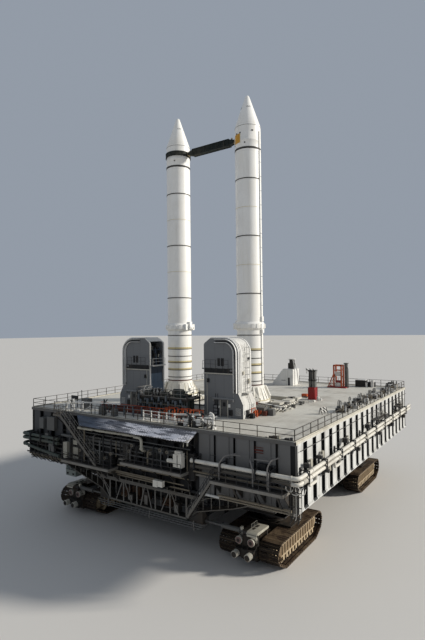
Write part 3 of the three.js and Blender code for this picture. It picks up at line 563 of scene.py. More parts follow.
def finishOf(name, colour, soil, streaks, rust, rough, metal, more=None):
    # more may hold the soil's colour, the pattern's size, bump, shine, and marks laid over the weathered
    # colour, which on the hull, canopy and tracks include painted shade
    more = more or {}
    material = bpy.data.materials.new(name)
    material.use_nodes = True
    tree = material.node_tree
    shader = next(n for n in tree.nodes if n.type == "BSDF_PRINCIPLED")
    soilColour = rgb(*more.get("soilColor", (0.13, 0.11, 0.085)))
    weather = useGroup(tree, "weather", Color=rgb(*colour), Soil_Color=soilColour, Soil=soil, Streaks=streaks,
                       Rust=rust, Size=more.get("size", 1.0), Gloss=rough)
    wornAndShaded = weather.outputs["Color"]
    if "marks" in more:
        # the marks may add painted shade to the weathered colour
        wornAndShaded = more["marks"](tree, wornAndShaded)
    tree.links.new(wornAndShaded, shader.inputs["Base Color"])
    tree.links.new(weather.outputs["Roughness"], shader.inputs["Roughness"])
    shader.inputs["Metallic"].default_value = metal
    shader.inputs["Specular IOR Level"].default_value = more.get("shine", 0.2)
    bump = newNode(tree, "ShaderNodeBump", Strength=more.get("bump", 0.15), Distance=0.01,
                   Height=weather.outputs["Height"])
    tree.links.new(bump.outputs[0], shader.inputs["Normal"])
    material.diffuse_color = rgb(*colour)
    finishes[name] = material


def band(tree, value, low, high, soft=0.01):
    rise = newNode(tree, "ShaderNodeMapRange", Value=value, From_Min=low - soft, From_Max=low).outputs[0]
    fall = newNode(tree, "ShaderNodeMapRange", Value=value, From_Min=high, From_Max=high + soft, To_Min=1.0,
                   To_Max=0.0).outputs[0]
    return maths(tree, "MULTIPLY", rise, fall)


def hullShadeAndMarks(tree, colour):
    # near face in a darker grey, partly its paint and partly painted shade, darker again as painted shade left
    # of x 9.2, near black behind the porch as painted shadow under the canopy, and the pockets between the ribs
    # dark as painted shade
    x, y, z = (axisOf(tree, objectPlace(tree), a) for a in "XYZ")
    nearFace, pocket = hullLow.y, 0.29
    nearDeep = newNode(tree, "ShaderNodeMapRange", Value=y, From_Min=nearFace + 0.24, From_Max=nearFace + 0.27,
                       To_Min=1.0, To_Max=0.0).outputs[0]
    ribs = band(tree, z, hullLow.z + 0.13, hullHigh.z - 0.17)
    # the near face in a darker grey, partly its paint and partly painted shade
    colour = blendColour(tree, maths(tree, "MULTIPLY", nearDeep, ribs), colour, rgb(0.145, 0.143, 0.14))
    # painted shade: the near face darker again left of x 9.2
    shaded = maths(tree, "MULTIPLY", nearDeep, maths(tree, "LESS_THAN", x, 9.2 * modelScale))
    colour = blendColour(tree, shaded, colour, rgb(0.06, 0.062, 0.065))
    # painted shadow under the canopy: near black on the wall behind the porch
    porch = band(tree, x, -12.2 * modelScale, 9.1 * modelScale)
    colour = blendColour(tree, maths(tree, "MULTIPLY", nearDeep, porch), colour, rgb(0.012, 0.0125, 0.014))
    # painted shade: near black in the pockets between the ribs
    width = maths(tree, "ABSOLUTE", x)
    pocketX = maths(tree, "MULTIPLY", band(tree, width, hullHigh.x - pocket, hullHigh.x - 0.043), ribs)
    fromMiddle = maths(tree, "SUBTRACT", y, shiftY)
    deepY = maths(tree, "ABSOLUTE", fromMiddle)
    halfLength = (hullHigh.y - hullLow.y) / 2
    pocketY = maths(tree, "MULTIPLY", band(tree, deepY, halfLength - pocket, halfLength - 0.08), ribs)
    colour = blendColour(tree, maths(tree, "MAXIMUM", pocketX, pocketY), colour, rgb(0.01, 0.011, 0.012))
    # on the long sides the pockets' painted shade is drawn wider and down to the bottom edge, with a thin
    # fainter stripe of painted shade between them
    along = maths(tree, "DIVIDE", fromMiddle, ribPitch * modelScale)
    step = maths(tree, "SUBTRACT", maths(tree, "FRACT", maths(tree, "ADD", along, 0.5)), 0.5)
    step = maths(tree, "ABSOLUTE", step)
    face = maths(tree, "MULTIPLY", maths(tree, "GREATER_THAN", width, hullHigh.x - 0.035),
                 band(tree, z, hullLow.z + 0.035, hullHigh.z - 0.17))
    for low, high, depth in ((0.0, 0.205, 0.93), (0.325, 0.35, 0.45)):
        deepFace = maths(tree, "MULTIPLY", face, depth)
        stripe = maths(tree, "MULTIPLY", deepFace, band(tree, step, low, high, 0.004))
        colour = blendColour(tree, stripe, colour, rgb(0.02, 0.021, 0.022))
    floor = deckMarks(tree, blendColour(tree, 0.85, colour, rgb(0.58, 0.555, 0.49)))
    return blendColour(tree, maths(tree, "GREATER_THAN", z, hullHigh.z - 0.004), colour, floor)


def deckMarks(tree, colour):
    seams = useGroup(tree, "seams", Step=(1.22, 1.22, 50.0), Width=0.006).outputs["Mask"]
    place = objectPlace(tree)
    wide = ramp(tree, noiseAt(tree, place, 0.35, 6.0, 0.65), 0.4, 0.66)
    tyre = ramp(tree, noiseAt(tree, stretched(tree, place, 3.2, 0.22, 1), 1.0, 5.0), 0.55, 0.72)
    colour = blendColour(tree, maths(tree, "MULTIPLY", wide, 0.45), colour, rgb(0.30, 0.27, 0.225))
    colour = blendColour(tree, maths(tree, "MULTIPLY", tyre, 0.3), colour, rgb(0.12, 0.115, 0.11))
    return blendColour(tree, maths(tree, "MULTIPLY", seams, 0.35), colour, rgb(0.1, 0.095, 0.09))


def caseMarks(tree, colour):
    # a faint cream tint and thin scorch lines round the case, broken by noise
    place = objectPlace(tree)
    z = axisOf(tree, place, "Z")
    cloud = ramp(tree, noiseAt(tree, stretched(tree, place, 1, 1, 0.3), 0.9, 5.0), 0.45, 0.7)
    colour = blendColour(tree, maths(tree, "MULTIPLY", cloud, 0.25), colour, rgb(0.78, 0.72, 0.6))
    thin = maths(tree, "FRACT", maths(tree, "DIVIDE", z, 2.03))
    line = maths(tree, "MULTIPLY", band(tree, thin, 0.495, 0.502, 0.001), 0.3)
    return blendColour(tree, line, colour, rgb(0.3, 0.28, 0.25))


def canopyShadeAndStreaks(tree, colour):
    # paler grey over the right two thirds, with pale streaks along the sheet and dark streaks as painted shade
    # along the corrugations
    place = objectPlace(tree)
    x = axisOf(tree, place, "X")
    right = newNode(tree, "ShaderNodeMapRange", Value=x, From_Min=-3.4, From_Max=-0.6).outputs[0]
    colour = blendColour(tree, maths(tree, "MULTIPLY", right, 0.85), colour, rgb(0.24, 0.235, 0.25))
    pale = ramp(tree, noiseAt(tree, stretched(tree, place, 0.5, 3.8, 1.8), 1.0, 3.0, 0.5), 0.46, 0.53)
    colour = blendColour(tree, maths(tree, "MULTIPLY", pale, right), colour, rgb(0.95, 0.91, 0.92))
    # painted shade: dark streaks along the corrugations
    dark = ramp(tree, noiseAt(tree, stretched(tree, place, 0.7, 6.0, 3.0), 1.7, 3.0, 0.5), 0.54, 0.6)
    return blendColour(tree, maths(tree, "MULTIPLY", dark, 0.75), colour, rgb(0.04, 0.045, 0.06))


def trackDustAndShade(tree, colour):
    place = objectPlace(tree)
    dust = ramp(tree, noiseAt(tree, place, 1.7, 6.0, 0.7), 0.42, 0.62)
    # less dust on the inner tracks, as painted shade under the chassis
    outer = maths(tree, "GREATER_THAN", maths(tree, "ABSOLUTE", axisOf(tree, place, "X")), truckX * modelScale)
    amount = maths(tree, "ADD", maths(tree, "MULTIPLY", outer, 0.5), 0.1)
    colour = blendColour(tree, maths(tree, "MULTIPLY", dust, amount), colour, rgb(0.22, 0.16, 0.1))
    # painted shade on faces turned to the near end; the shoes' sides dark in their own colour
    facing = newNode(tree, "ShaderNodeNewGeometry").outputs["Normal"]
    toFront = ramp(tree, maths(tree, "MULTIPLY", axisOf(tree, facing, "Y"), -1.0), 0.3, 0.7)
    toSide = ramp(tree, maths(tree, "ABSOLUTE", axisOf(tree, facing, "X")), 0.6, 0.9)
    darkSidesAndShade = maths(tree, "MAXIMUM", maths(tree, "MULTIPLY", toFront, 0.85), maths(tree, "MULTIPLY", toSide, 0.7))
    return blendColour(tree, darkSidesAndShade, colour, rgb(0.01, 0.008, 0.007))


def mastMarks(tree, colour):  # grey fronts, white sides
    facing = newNode(tree, "ShaderNodeNewGeometry").outputs["Normal"]
    front = maths(tree, "LESS_THAN", axisOf(tree, facing, "Y"), -0.5)
    return blendColour(tree, front, colour, rgb(0.17, 0.175, 0.18))


def stripeMarks(tree, colour):
    place = objectPlace(tree)
    parts = newNode(tree, "ShaderNodeSeparateXYZ", Vector=place)
    slant = maths(tree, "ADD", parts.outputs["Y"], parts.outputs["Z"])
    dark = maths(tree, "LESS_THAN", maths(tree, "FRACT", maths(tree, "DIVIDE", slant, 0.26)), 0.5)
    return blendColour(tree, dark, colour, rgb(0.01, 0.01, 0.01))


looks = {  # finish: colour, soil, streaks, rust, roughness, metal, and what else it has
    "hullPaint": ((0.64, 0.64, 0.62), 0.35, 0.55, 0.12, 0.55, 0.0, {"bump": 0.2, "marks": hullShadeAndMarks}),
    "trimPaint": ((0.57, 0.54, 0.46), 0.35, 0.3, 0.15, 0.6, 0.0),
    "trimPaintedShade": ((0.12, 0.118, 0.115), 0.4, 0.3, 0.15, 0.6, 0.0),
    "railPaint": ((0.2, 0.19, 0.17), 0.3, 0.3, 0.15, 0.5, 0.3),
    "railDark": ((0.05, 0.043, 0.034), 0.3, 0.3, 0.2, 0.5, 0.2),
    "davitGrey": ((0.2, 0.19, 0.18), 0.3, 0.3, 0.15, 0.5, 0.0),
    "pipeShade": ((0.075, 0.068, 0.057), 0.4, 0.3, 0.2, 0.5, 0.0),
    "railBlue": ((0.13, 0.155, 0.175), 0.3, 0.3, 0.1, 0.5, 0.2),
    "whiteRail": ((0.66, 0.65, 0.62), 0.3, 0.3, 0.1, 0.5, 0.0, {"shine": 0.5}),
    "pipePaint": ((0.66, 0.63, 0.56), 0.4, 0.3, 0.12, 0.45, 0.0, {"shine": 0.5, "bump": 0.12}),
    # pipeDark, pipeTan and the finishes down to galleryEdge are darker than their paint: partly their own dark
    # colour, partly painted shade for the near side and the parts under the platform
    "pipeDark": ((0.06, 0.075, 0.066), 0.4, 0.3, 0.15, 0.5, 0.0, {"bump": 0.12}),
    "pipeTan": ((0.2, 0.17, 0.125), 0.4, 0.3, 0.2, 0.5, 0.0),
    "bracketSteel": ((0.042, 0.043, 0.046), 0.4, 0.3, 0.25, 0.55, 0.4),
    "porchSteel": ((0.04, 0.04, 0.04), 0.5, 0.3, 0.3, 0.6, 0.3,
        {"soilColor": (0.08, 0.066, 0.05), "bump": 0.25}),
    "gallerySteel": ((0.045, 0.043, 0.04), 0.5, 0.3, 0.3, 0.6, 0.3,
        {"soilColor": (0.08, 0.062, 0.045), "bump": 0.25}),
    "galleryEdge": ((0.15, 0.142, 0.128), 0.45, 0.3, 0.25, 0.55, 0.2),
    "railGrey": ((0.24, 0.23, 0.21), 0.4, 0.3, 0.25, 0.5, 0.3),
    "canopySheet": ((0.085, 0.11, 0.155), 0.3, 0.3, 0.0, 0.45, 0.4, {"shine": 0.5, "marks": canopyShadeAndStreaks}),
    "mastPaint": ((0.6, 0.59, 0.56), 0.25, 0.35, 0.08, 0.55, 0.0, {"bump": 0.15, "marks": mastMarks}),
    "mastWhite": ((0.8, 0.79, 0.76), 0.2, 0.3, 0.06, 0.5, 0.0, {"shine": 0.5}),
    "mastSheet": ((0.11, 0.155, 0.21), 0.3, 0.3, 0.0, 0.55, 0.0),
    "mastBlue": ((0.045, 0.06, 0.085), 0.35, 0.3, 0.0, 0.55, 0.0),
    "darkPanel": ((0.018, 0.019, 0.021), 0.3, 0.3, 0.0, 0.5, 0.2),
    "casePaint": ((0.86, 0.85, 0.82), 0.16, 0.2, 0.0, 0.38, 0.0,
        {"shine": 0.5, "soilColor": (0.5, 0.46, 0.38), "bump": 0.06, "marks": caseMarks}),
    "ringDark": ((0.05, 0.047, 0.043), 0.2, 0.3, 0.0, 0.55, 0.0),
    "ringYellow": ((0.62, 0.53, 0.3), 0.3, 0.3, 0.0, 0.5, 0.0),
    "ringRed": ((0.1, 0.04, 0.035), 0.2, 0.3, 0.0, 0.6, 0.0),
    "skirtPaint": ((0.8, 0.78, 0.72), 0.4, 0.3, 0.0, 0.5, 0.0,
        {"soilColor": (0.38, 0.33, 0.22), "bump": 0.15}),
    "beamPaint": ((0.014, 0.02, 0.018), 0.3, 0.3, 0.0, 0.6, 0.0),
    "beamFitting": ((0.45, 0.35, 0.2), 0.4, 0.3, 0.0, 0.5, 0.2),
    "goldPatch": ((0.6, 0.3, 0.03), 0.1, 0.3, 0.0, 0.5, 0.0),
    "nozzleLiner": ((0.03, 0.028, 0.026), 0.4, 0.3, 0.0, 0.8, 0.0, {"bump": 0.3}),
    "signalRed": ((0.24, 0.012, 0.016), 0.25, 0.3, 0.1, 0.45, 0.0),
    "wallRed": ((0.1, 0.018, 0.012), 0.3, 0.3, 0.2, 0.55, 0.0),
    "signalOrange": ((0.42, 0.075, 0.02), 0.25, 0.3, 0.12, 0.5, 0.0),
    # greyPaint is darker than its paint: partly its own colour, partly painted shade
    "greyPaint": ((0.12, 0.122, 0.12), 0.35, 0.3, 0.15, 0.55, 0.2),
    # the cabs' grey-green is darker than their paint: partly paint colour, partly painted shade
    "cabPaintAndShade": ((0.24, 0.27, 0.25), 0.35, 0.3, 0.0, 0.5, 0.0),
    "rustBrown": ((0.07, 0.036, 0.02), 0.4, 0.3, 0.5, 0.65, 0.0),
    "motorEnd": ((0.17, 0.11, 0.1), 0.4, 0.3, 0.3, 0.55, 0.0),
    "cabinetWhite": ((0.74, 0.73, 0.7), 0.2, 0.3, 0.0, 0.45, 0.0, {"shine": 0.5}),
    "cabinetBlue": ((0.16, 0.2, 0.27), 0.2, 0.3, 0.0, 0.4, 0.0),
    "boxCream": ((0.42, 0.4, 0.335), 0.35, 0.4, 0.0, 0.5, 0.0),
    "machineTeal": ((0.022, 0.036, 0.035), 0.5, 0.3, 0.25, 0.6, 0.3),
    "hoseCover": ((0.6, 0.58, 0.52), 0.5, 0.3, 0.1, 0.7, 0.0, {"bump": 0.4}),
    "rubber": ((0.02, 0.02, 0.02), 0.4, 0.3, 0.0, 0.75, 0.0),
    # trackSteel, truckSteel and chassisSteel are darker than their paint: partly their own colour, partly
    # painted shade under the platform
    "trackSteel": ((0.045, 0.03, 0.022), 0.6, 0.3, 0.5, 0.6, 0.35,
        {"soilColor": (0.13, 0.09, 0.055), "bump": 0.35, "size": 2.0, "marks": trackDustAndShade}),
    "rollerSteel": ((0.5, 0.4, 0.27), 0.6, 0.3, 0.4, 0.6, 0.3,
        {"soilColor": (0.26, 0.19, 0.11), "bump": 0.3, "size": 2.0}),
    "pinSteel": ((0.2, 0.15, 0.1), 0.7, 0.3, 0.5, 0.55, 0.4, {"soilColor": (0.07, 0.05, 0.035)}),
    "plateBrown": ((0.19, 0.135, 0.08), 0.8, 0.3, 0.5, 0.7, 0.0,
        {"soilColor": (0.1, 0.07, 0.045), "bump": 0.3, "size": 2.0}),
    "truckSteel": ((0.028, 0.025, 0.022), 0.6, 0.3, 0.35, 0.6, 0.3,
        {"soilColor": (0.12, 0.09, 0.06), "bump": 0.3}),
    "motorPaint": ((0.46, 0.44, 0.38), 0.4, 0.3, 0.15, 0.5, 0.0),
    "chassisSteel": ((0.033, 0.031, 0.029), 0.6, 0.3, 0.35, 0.65, 0.3,
        {"soilColor": (0.07, 0.056, 0.042), "bump": 0.25}),
    "stripePaint": ((0.75, 0.74, 0.7), 0.15, 0.3, 0.0, 0.5, 0.0, {"marks": stripeMarks}),
    "floorPaint": ((0.62, 0.6, 0.57), 0.0, 0.0, 0.0, 0.9, 0.0, {"bump": 0.02}),
}
for finishName, finishLook in looks.items():
    finishOf(finishName, *finishLook)


def glassFinish():
    material = bpy.data.materials.new("cabGlass")
    material.use_nodes = True
    shader = next(n for n in material.node_tree.nodes if n.type == "BSDF_PRINCIPLED")
    shader.inputs["Base Color"].default_value = rgb(0.35, 0.42, 0.42)
    shader.inputs["Roughness"].default_value = 0.06
    shader.inputs["Transmission Weight"].default_value = 0.85
    shader.inputs["IOR"].default_value = 1.45
    finishes["cabGlass"] = material


glassFinish()
print("finishes:", len(finishes))


# Camera, light and floor
shot = {"place": (39.01, -65.77, 26.57), "yaw": -33.95, "pitch": 1.27, "roll": -0.59, "focalPixels": 464.2,
        "longSide": 640, "sensor": 36.0}


def makeCamera():
    yaw, pitch, roll = (math.radians(shot[k]) for k in ("yaw", "pitch", "roll"))
    forward = Vector((math.sin(yaw) * math.cos(pitch), math.cos(yaw) * math.cos(pitch), math.sin(pitch)))
    level = Vector((math.cos(yaw), -math.sin(yaw), 0))
    upright = level.cross(forward)
    right = level * math.cos(roll) + upright * math.sin(roll)
    up = upright * math.cos(roll) - level * math.sin(roll)
    data = bpy.data.cameras.new("camera")
    data.sensor_width = shot["sensor"]
    data.lens = shot["focalPixels"] / shot["longSide"] * shot["sensor"]
    data.clip_end = 2000
    camera = linked("camera", data)
    turn = Matrix((right, up, -forward)).transposed()
    camera.matrix_world = Matrix.Translation(toModel @ Vector(shot["place"])) @ turn.to_4x4()
    bpy.context.scene.camera = camera


light = {"sunFrom": (0.80, 0.52, 0.42), "sunEnergy": 4.2, "sunSoft": 7.0, "sunColour": (1.0, 0.955, 0.87),
         "skyColour": (0.62, 0.70, 0.82), "skyStrength": 0.47, "fillEnergy": 0.07,
         "fillSoft": 60, "fillFrom": (-0.35, -0.9, 0.55)}


def makeSun(name, energy, softness, colour, source):
    sun = bpy.data.lights.new(name, "SUN")
    sun.energy = energy
    sun.angle = math.radians(softness)
    sun.color = colour
    linked(name, sun).rotation_euler = Vector(source).to_track_quat("Z", "Y").to_euler()


def makeLight():
    makeSun("key", light["sunEnergy"], light["sunSoft"], light["sunColour"], light["sunFrom"])
    makeSun("fill", light["fillEnergy"], light["fillSoft"], (1, 1, 1), light["fillFrom"])
    world = bpy.data.worlds.new("studio")
    bpy.context.scene.world = world
    world.use_nodes = True
    back = next(n for n in world.node_tree.nodes if n.type == "BACKGROUND")
    back.inputs["Color"].default_value = (*light["skyColour"], 1)
    back.inputs["Strength"].default_value = light["skyStrength"]
    bpy.context.scene.view_settings.view_transform = "Standard"


def makeFloor():
    half = 900
    mesh = bpy.data.meshes.new("floor")
    mesh.from_pydata([(-half, -half, 0), (half, -half, 0), (half, half, 0), (-half, half, 0)], [],
                     [(0, 1, 2, 3)])
    mesh.materials.append(finishes["floorPaint"])
    linked("floor", mesh)


makeCamera()
makeLight()
makeFloor()


# Boosters: heights are above the skirt's base
booster = {"x": 6.365, "y": -7.7, "radius": 1.854, "base": deck + 0.741, "skirtTop": 2.379, "case": 35.754,
           "shoulder": 39.006, "tip": 43.96, "sides": 72}
caseRings = [  # height, projection, tallness, paint
    (2.98, 0.035, 0.10, "ringDark"), (4.05, 0.03, 0.10, "ringDark"), (4.22, 0.022, 0.22, "ringYellow"),
    (5.17, 0.03, 0.10, "ringDark"), (5.34, 0.022, 0.22, "ringYellow"), (6.16, 0.03, 0.11, "ringDark"),
    (7.25, 0.03, 0.10, "ringDark"), (7.44, 0.022, 0.24, "ringYellow"), (9.39, 0.035, 0.12, "ringDark"),
    (15.22, 0.035, 0.13, "ringDark"), (19.29, 0.012, 0.05, "ringYellow"), (23.35, 0.035, 0.13, "ringDark"),
    (27.42, 0.012, 0.05, "ringYellow"), (31.47, 0.035, 0.13, "ringDark"), (35.70, 0.035, 0.10, "ringDark"),
]


def caseLayers(side):
    r = booster["radius"]
    body = [(0, booster["skirtTop"]), (r, booster["skirtTop"])]
    for h in (12.6, 15.1, 15.35, 23.2, 23.5, 31.3, 31.6):
        body.append((r, h))
    body += [(r, booster["case"]), (0, booster["case"])]
    layers = {"casePaint": lathe(body, booster["sides"]), "ringDark": [], "ringYellow": [], "ringRed": []}
    for height, lip, tall, paint in caseRings:
        layers[paint] += hoop(r - 0.05, r + lip, height - tall / 2, height + tall / 2, booster["sides"])
    layers["ringRed"] += hoop(r - 0.05, r + 0.05, 2.38, 2.52, booster["sides"])
    # Attach ring: a deep band with sloping shoulders, covers all round and a block towards the other booster
    ring = [(r - 0.05, 10.1), (r + 0.05, 10.1), (r + 0.26, 10.34), (r + 0.3, 10.42), (r + 0.3, 10.9),
            (r + 0.24, 10.98), (r + 0.04, 11.25), (r - 0.05, 11.25), (r - 0.05, 10.1)]
    layers["casePaint"] += lathe(ring, booster["sides"])
    for k in range(18):
        cover = box(r + 0.22, r + 0.36, -0.16, 0.16, 10.36, 10.96)
        layers["casePaint"] += moved(cover, turn=20 * k + 10)
    # Systems tunnel, with its cover joints
    layers["casePaint"] += box(r - 0.08, r + 0.15, -0.17, 0.17, 2.44, 35.6)
    for i in range(16):
        layers["ringDark"] += box(r + 0.1, r + 0.162, -0.175, 0.175, 3.4 + 2.03 * i, 3.44 + 2.03 * i)
    layers["casePaint"] += box(r + 0.02, r + 0.3, -0.24, 0.24, 9.7, 10.2)
    layers["casePaint"] += box(r, r + 0.26, -0.22, 0.22, 11.3, 12.0)
    # Block that takes the struts, with its two lugs and a fairing above
    lug = box(-r - 0.6, -r + 0.1, -0.48, 0.48, 10.36, 10.96) + box(-r - 0.4, -r + 0.1, -0.3, 0.3, 10.95, 11.5)
    layers["casePaint"] += lug
    for y in (-0.9, 0.9):
        layers["casePaint"] += box(-r - 0.25, -r + 0.5, y - 0.22, y + 0.22, 10.2, 11.1)
        layers["ringDark"] += tube([(-r - 0.62, y * 0.3, 10.5), (-r - 0.3, y * 0.3, 10.5)], 0.1, 10)
    turn = 0 if side > 0 else 180
    return allMoved(layers, side * booster["x"], booster["y"], booster["base"], turn)


def skirtLayers(side):
    r, top = booster["radius"], booster["skirtTop"]
    foot, wall = 2.645, 0.09
    shell = [(foot, 0), (foot, 0.3), (foot - 0.02, 0.34), (r + 0.08, top - 0.3), (r + 0.08, top - 0.14),
             (r, top - 0.08), (r, top), (1.5, top), (1.5, top - 0.12), (r - wall, top - 0.3),
             (foot - wall, 0.32), (foot - wall, 0), (foot, 0)]
    paint, dark, yellow = lathe(shell, booster["sides"]), [], []
    slope = (foot - r) / (top - 0.3)
    for h, lip in ((0.9, 0.05), (1.45, 0.05)):
        mid = foot - slope * h
        paint += hoop(mid - 0.15, mid + lip, h - 0.05, h + 0.05, booster["sides"])
    yellow += hoop(foot - 0.3, foot + 0.03, 0.32, 0.4, booster["sides"])
    # Four hold-down posts with stud housings, and ribs between them
    for k in range(4):
        post = prism([(foot - 0.35, 0.0), (foot + 0.22, 0.0), (foot + 0.22, 0.75), (r + 0.25, 2.0), (r, 2.0)],
                     "y", -0.32, 0.32)
        paint += moved(post, turn=90 * k + 45)
        dark += moved(tube([(foot + 0.06, 0, 0.0), (foot + 0.06, 0, 0.95)], 0.12, 10), turn=90 * k + 45)
    for k in range(24):
        rib = prism([(foot - 0.1, 0.42), (foot + 0.05, 0.42), (r + 0.16, top - 0.35), (r, top - 0.35)], "y",
                    -0.02, 0.02)
        paint += moved(rib, turn=15 * k)
    # Separation motors: two pairs of short tilted tubes on the outward side, with caps
    for turn in (-52, -36, 36, 52):
        motor = tube([(r + 0.25, 0, 2.15), (r + 0.75, 0, 0.95)], 0.17, 14)
        cap = tube([(r + 0.75, 0, 0.95), (r + 0.84, 0, 0.72)], [0.17, 0.24], 14)
        paint += moved(motor, turn=turn) + moved(cap, turn=turn)
    for turn in (-110, 110, 172, 188):
        paint += moved(box(r + 0.2, r + 0.72, -0.3, 0.3, 0.5, 1.3), turn=turn)
    turn = 0 if side > 0 else 180
    layers = {"skirtPaint": paint, "ringDark": dark, "ringYellow": yellow}
    return allMoved(layers, side * booster["x"], booster["y"], booster["base"], turn)


def nozzleLayers(side):
    outer = [(1.9, -0.95), (1.97, -0.95), (1.86, -0.6), (1.66, -0.1), (1.42, 0.5), (1.15, 1.15), (0.92, 1.7),
             (0.9, 2.24), (0.5, 2.24), (0.5, 1.95), (0.78, 1.65), (1.0, 1.2), (1.25, 0.7), (1.6, -0.1),
             (1.9, -0.95)]
    layers = {"nozzleLiner": lathe(outer, 56), "greyPaint": hoop(1.6, 1.72, -0.25, -0.15, 56)}
    return allMoved(layers, side * booster["x"], booster["y"], booster["base"])


def noseLayers(side):
    r, case, shoulder, tip = booster["radius"], booster["case"], booster["shoulder"], booster["tip"]
    n = booster["sides"]
    skirt = [(0, case), (r, case), (r, 36.9), (r + 0.02, 36.93), (r + 0.02, 37.02), (r, 37.05),
             (r, shoulder - 0.001), (0, shoulder - 0.001)]
    noseRadius = 0.33
    lean = math.atan2(r - noseRadius, tip - noseRadius - shoulder)
    cone = [(0, shoulder), (r, shoulder), (r, shoulder + 0.2)]
    for i in range(9):
        a = lean + (math.pi / 2 - lean) * i / 8
        cone.append((noseRadius * math.cos(a) if i < 8 else 0, tip - noseRadius + noseRadius * math.sin(a)))
    coneAt = lambda h: r - (r - noseRadius) * (h - shoulder) / (tip - noseRadius - shoulder)
    skirtShapes = {"casePaint": lathe(skirt, n), "ringDark": [], "goldPatch": [], "ringYellow": []}
    coneShapes = {"casePaint": lathe(cone, n), "ringDark": [], "ringYellow": []}
    skirtShapes["ringDark"] += hoop(r - 0.05, r + 0.04, case, case + 0.16, n)
    skirtShapes["casePaint"] += box(r - 0.08, r + 0.13, -0.15, 0.15, case + 0.1, 38.3)
    coneShapes["ringDark"] += hoop(r - 0.04, r + 0.014, shoulder + 0.01, shoulder + 0.05, n)
    ringAt = 41.4
    coneShapes["ringYellow"] += lathe([(coneAt(ringAt) - 0.05, ringAt), (coneAt(ringAt) + 0.014, ringAt),
        (coneAt(ringAt + 0.05) + 0.014, ringAt + 0.05), (coneAt(ringAt + 0.05) - 0.05, ringAt + 0.05),
        (coneAt(ringAt) - 0.05, ringAt)], n)
    # Four separation motor mouths near the top of the cone, on the side away from the other booster
    for turn in (-150, -130, 130, 150, -60, -40):
        h = 42.0
        mouth = lathe([(0, 0), (0.13, 0), (0.13, 0.06), (0.09, 0.06), (0.09, 0.02), (0, 0.02)], 14)
        tilt = Matrix.Rotation(math.pi / 2 - lean, 4, "Y")
        spot = Matrix.Translation((coneAt(h) - 0.02, 0, h)) @ tilt
        coneShapes["ringDark"] += placed(mouth, Matrix.Rotation(math.radians(turn), 4, "Z") @ spot)
    # Covers and small ports on the forward skirt
    for turn, h, size in ((-118, 38.0, 0.13), (-96, 38.0, 0.11), (-74, 36.5, 0.1), (-140, 36.5, 0.1),
                          (-40, 38.2, 0.12), (60, 38.0, 0.12), (110, 36.6, 0.1), (150, 38.0, 0.12)):
        port = box(r - 0.05, r + 0.03, -size, size, h - size * 0.8, h + size * 0.8)
        skirtShapes["ringDark"] += moved(port, turn=turn)
    turn = 0 if side > 0 else 180
    if side > 0:  # an orange square with a pale rim on the near side
        patch, rim = [], []
        for k in range(8):
            a = -131 + 4.6 * k
            patch += moved(box(r - 0.02, r + 0.022, -0.078, 0.078, 36.62, 37.92), turn=a)
        skirtShapes["goldPatch"] += patch
        for k in (-1, 8):
            a = -131 + 4.6 * k + (2 if k < 0 else -2)
            rim += moved(box(r - 0.02, r + 0.024, -0.03, 0.03, 36.56, 37.98), turn=a)
        skirtShapes["ringYellow"] += rim
    spot = (side * booster["x"], booster["y"], booster["base"], turn)
    return allMoved(skirtShapes, *spot), allMoved(coneShapes, *spot)


for sideName, side in sides.items():
    skirtPart, conePart = noseLayers(side)
    for stem, layers, slot, replaced in (
            ("motor_case_dressed_", caseLayers(side), "case_paint", "motor_case_"),
            ("aft_skirt_dressed_", skirtLayers(side), "skirt_paint", "aft_skirt_"),
            ("nozzle_dressed_", nozzleLayers(side), "nozzle_liner", "nozzle_"),
            ("forward_skirt_dressed_", skirtPart, "case_paint", "forward_skirt_"),
            ("nose_cone_dressed_", conePart, "case_paint", "nose_cone_")):
        piece(stem + sideName, layers, stands=[replaced + sideName])


crossBeam = {"z": 37.78, "half": 0.46, "deep": 0.42, "end": 4.18, "panels": 9}


def crossBeamLayers():  # a lattice girder in dark covers, with a tan fitting at each end
    end, half, deep = crossBeam["end"], crossBeam["half"], crossBeam["deep"]
    skin = prism([(-end, -0.2), (-end + 0.9, -half), (end - 0.9, -half), (end, -0.2), (end, 0.2),
                  (end - 0.9, half), (-end + 0.9, half), (-end, 0.2)], "y", -deep + 0.06, deep - 0.06)
    ribs, fittings = [], []
    step = 2 * (end - 0.9) / crossBeam["panels"]
    for i in range(crossBeam["panels"] + 1):
        x = -end + 0.9 + step * i
        ribs += box(x - 0.05, x + 0.05, -deep, deep, -half - 0.04, half + 0.04)
        if i < crossBeam["panels"]:
            ends = (half - 0.05, -half + 0.05) if i % 2 else (-half + 0.05, half - 0.05)
            for y in (-deep + 0.04, deep - 0.04):
                ribs += beam((x, y, ends[0]), (x + step, y, ends[1]), 0.07, 0.08)
    for z in (-half, half):
        for y in (-deep + 0.05, deep - 0.05):
            ribs += box(-end + 0.8, end - 0.8, y - 0.06, y + 0.06, z - 0.06, z + 0.06)
    fittings += box(end - 0.1, end + 0.32, -0.24, 0.24, -0.25, 0.25)
    fittings += box(end + 0.24, end + 0.325, -0.4, 0.4, -0.4, 0.4)
    fittings += box(-end - 0.17, -end + 0.1, -0.24, 0.24, -0.25, 0.25)
    fittings += tube([(end - 0.5, 0, half + 0.02), (end - 0.5, 0, half + 0.2)], 0.12, 10)
    where = (0, booster["y"], booster["base"] + crossBeam["z"])
    return allMoved({"beamPaint": skin + ribs, "beamFitting": fittings}, *where)


piece("cross_beam_dressed", crossBeamLayers(), stands=["cross_beam"])


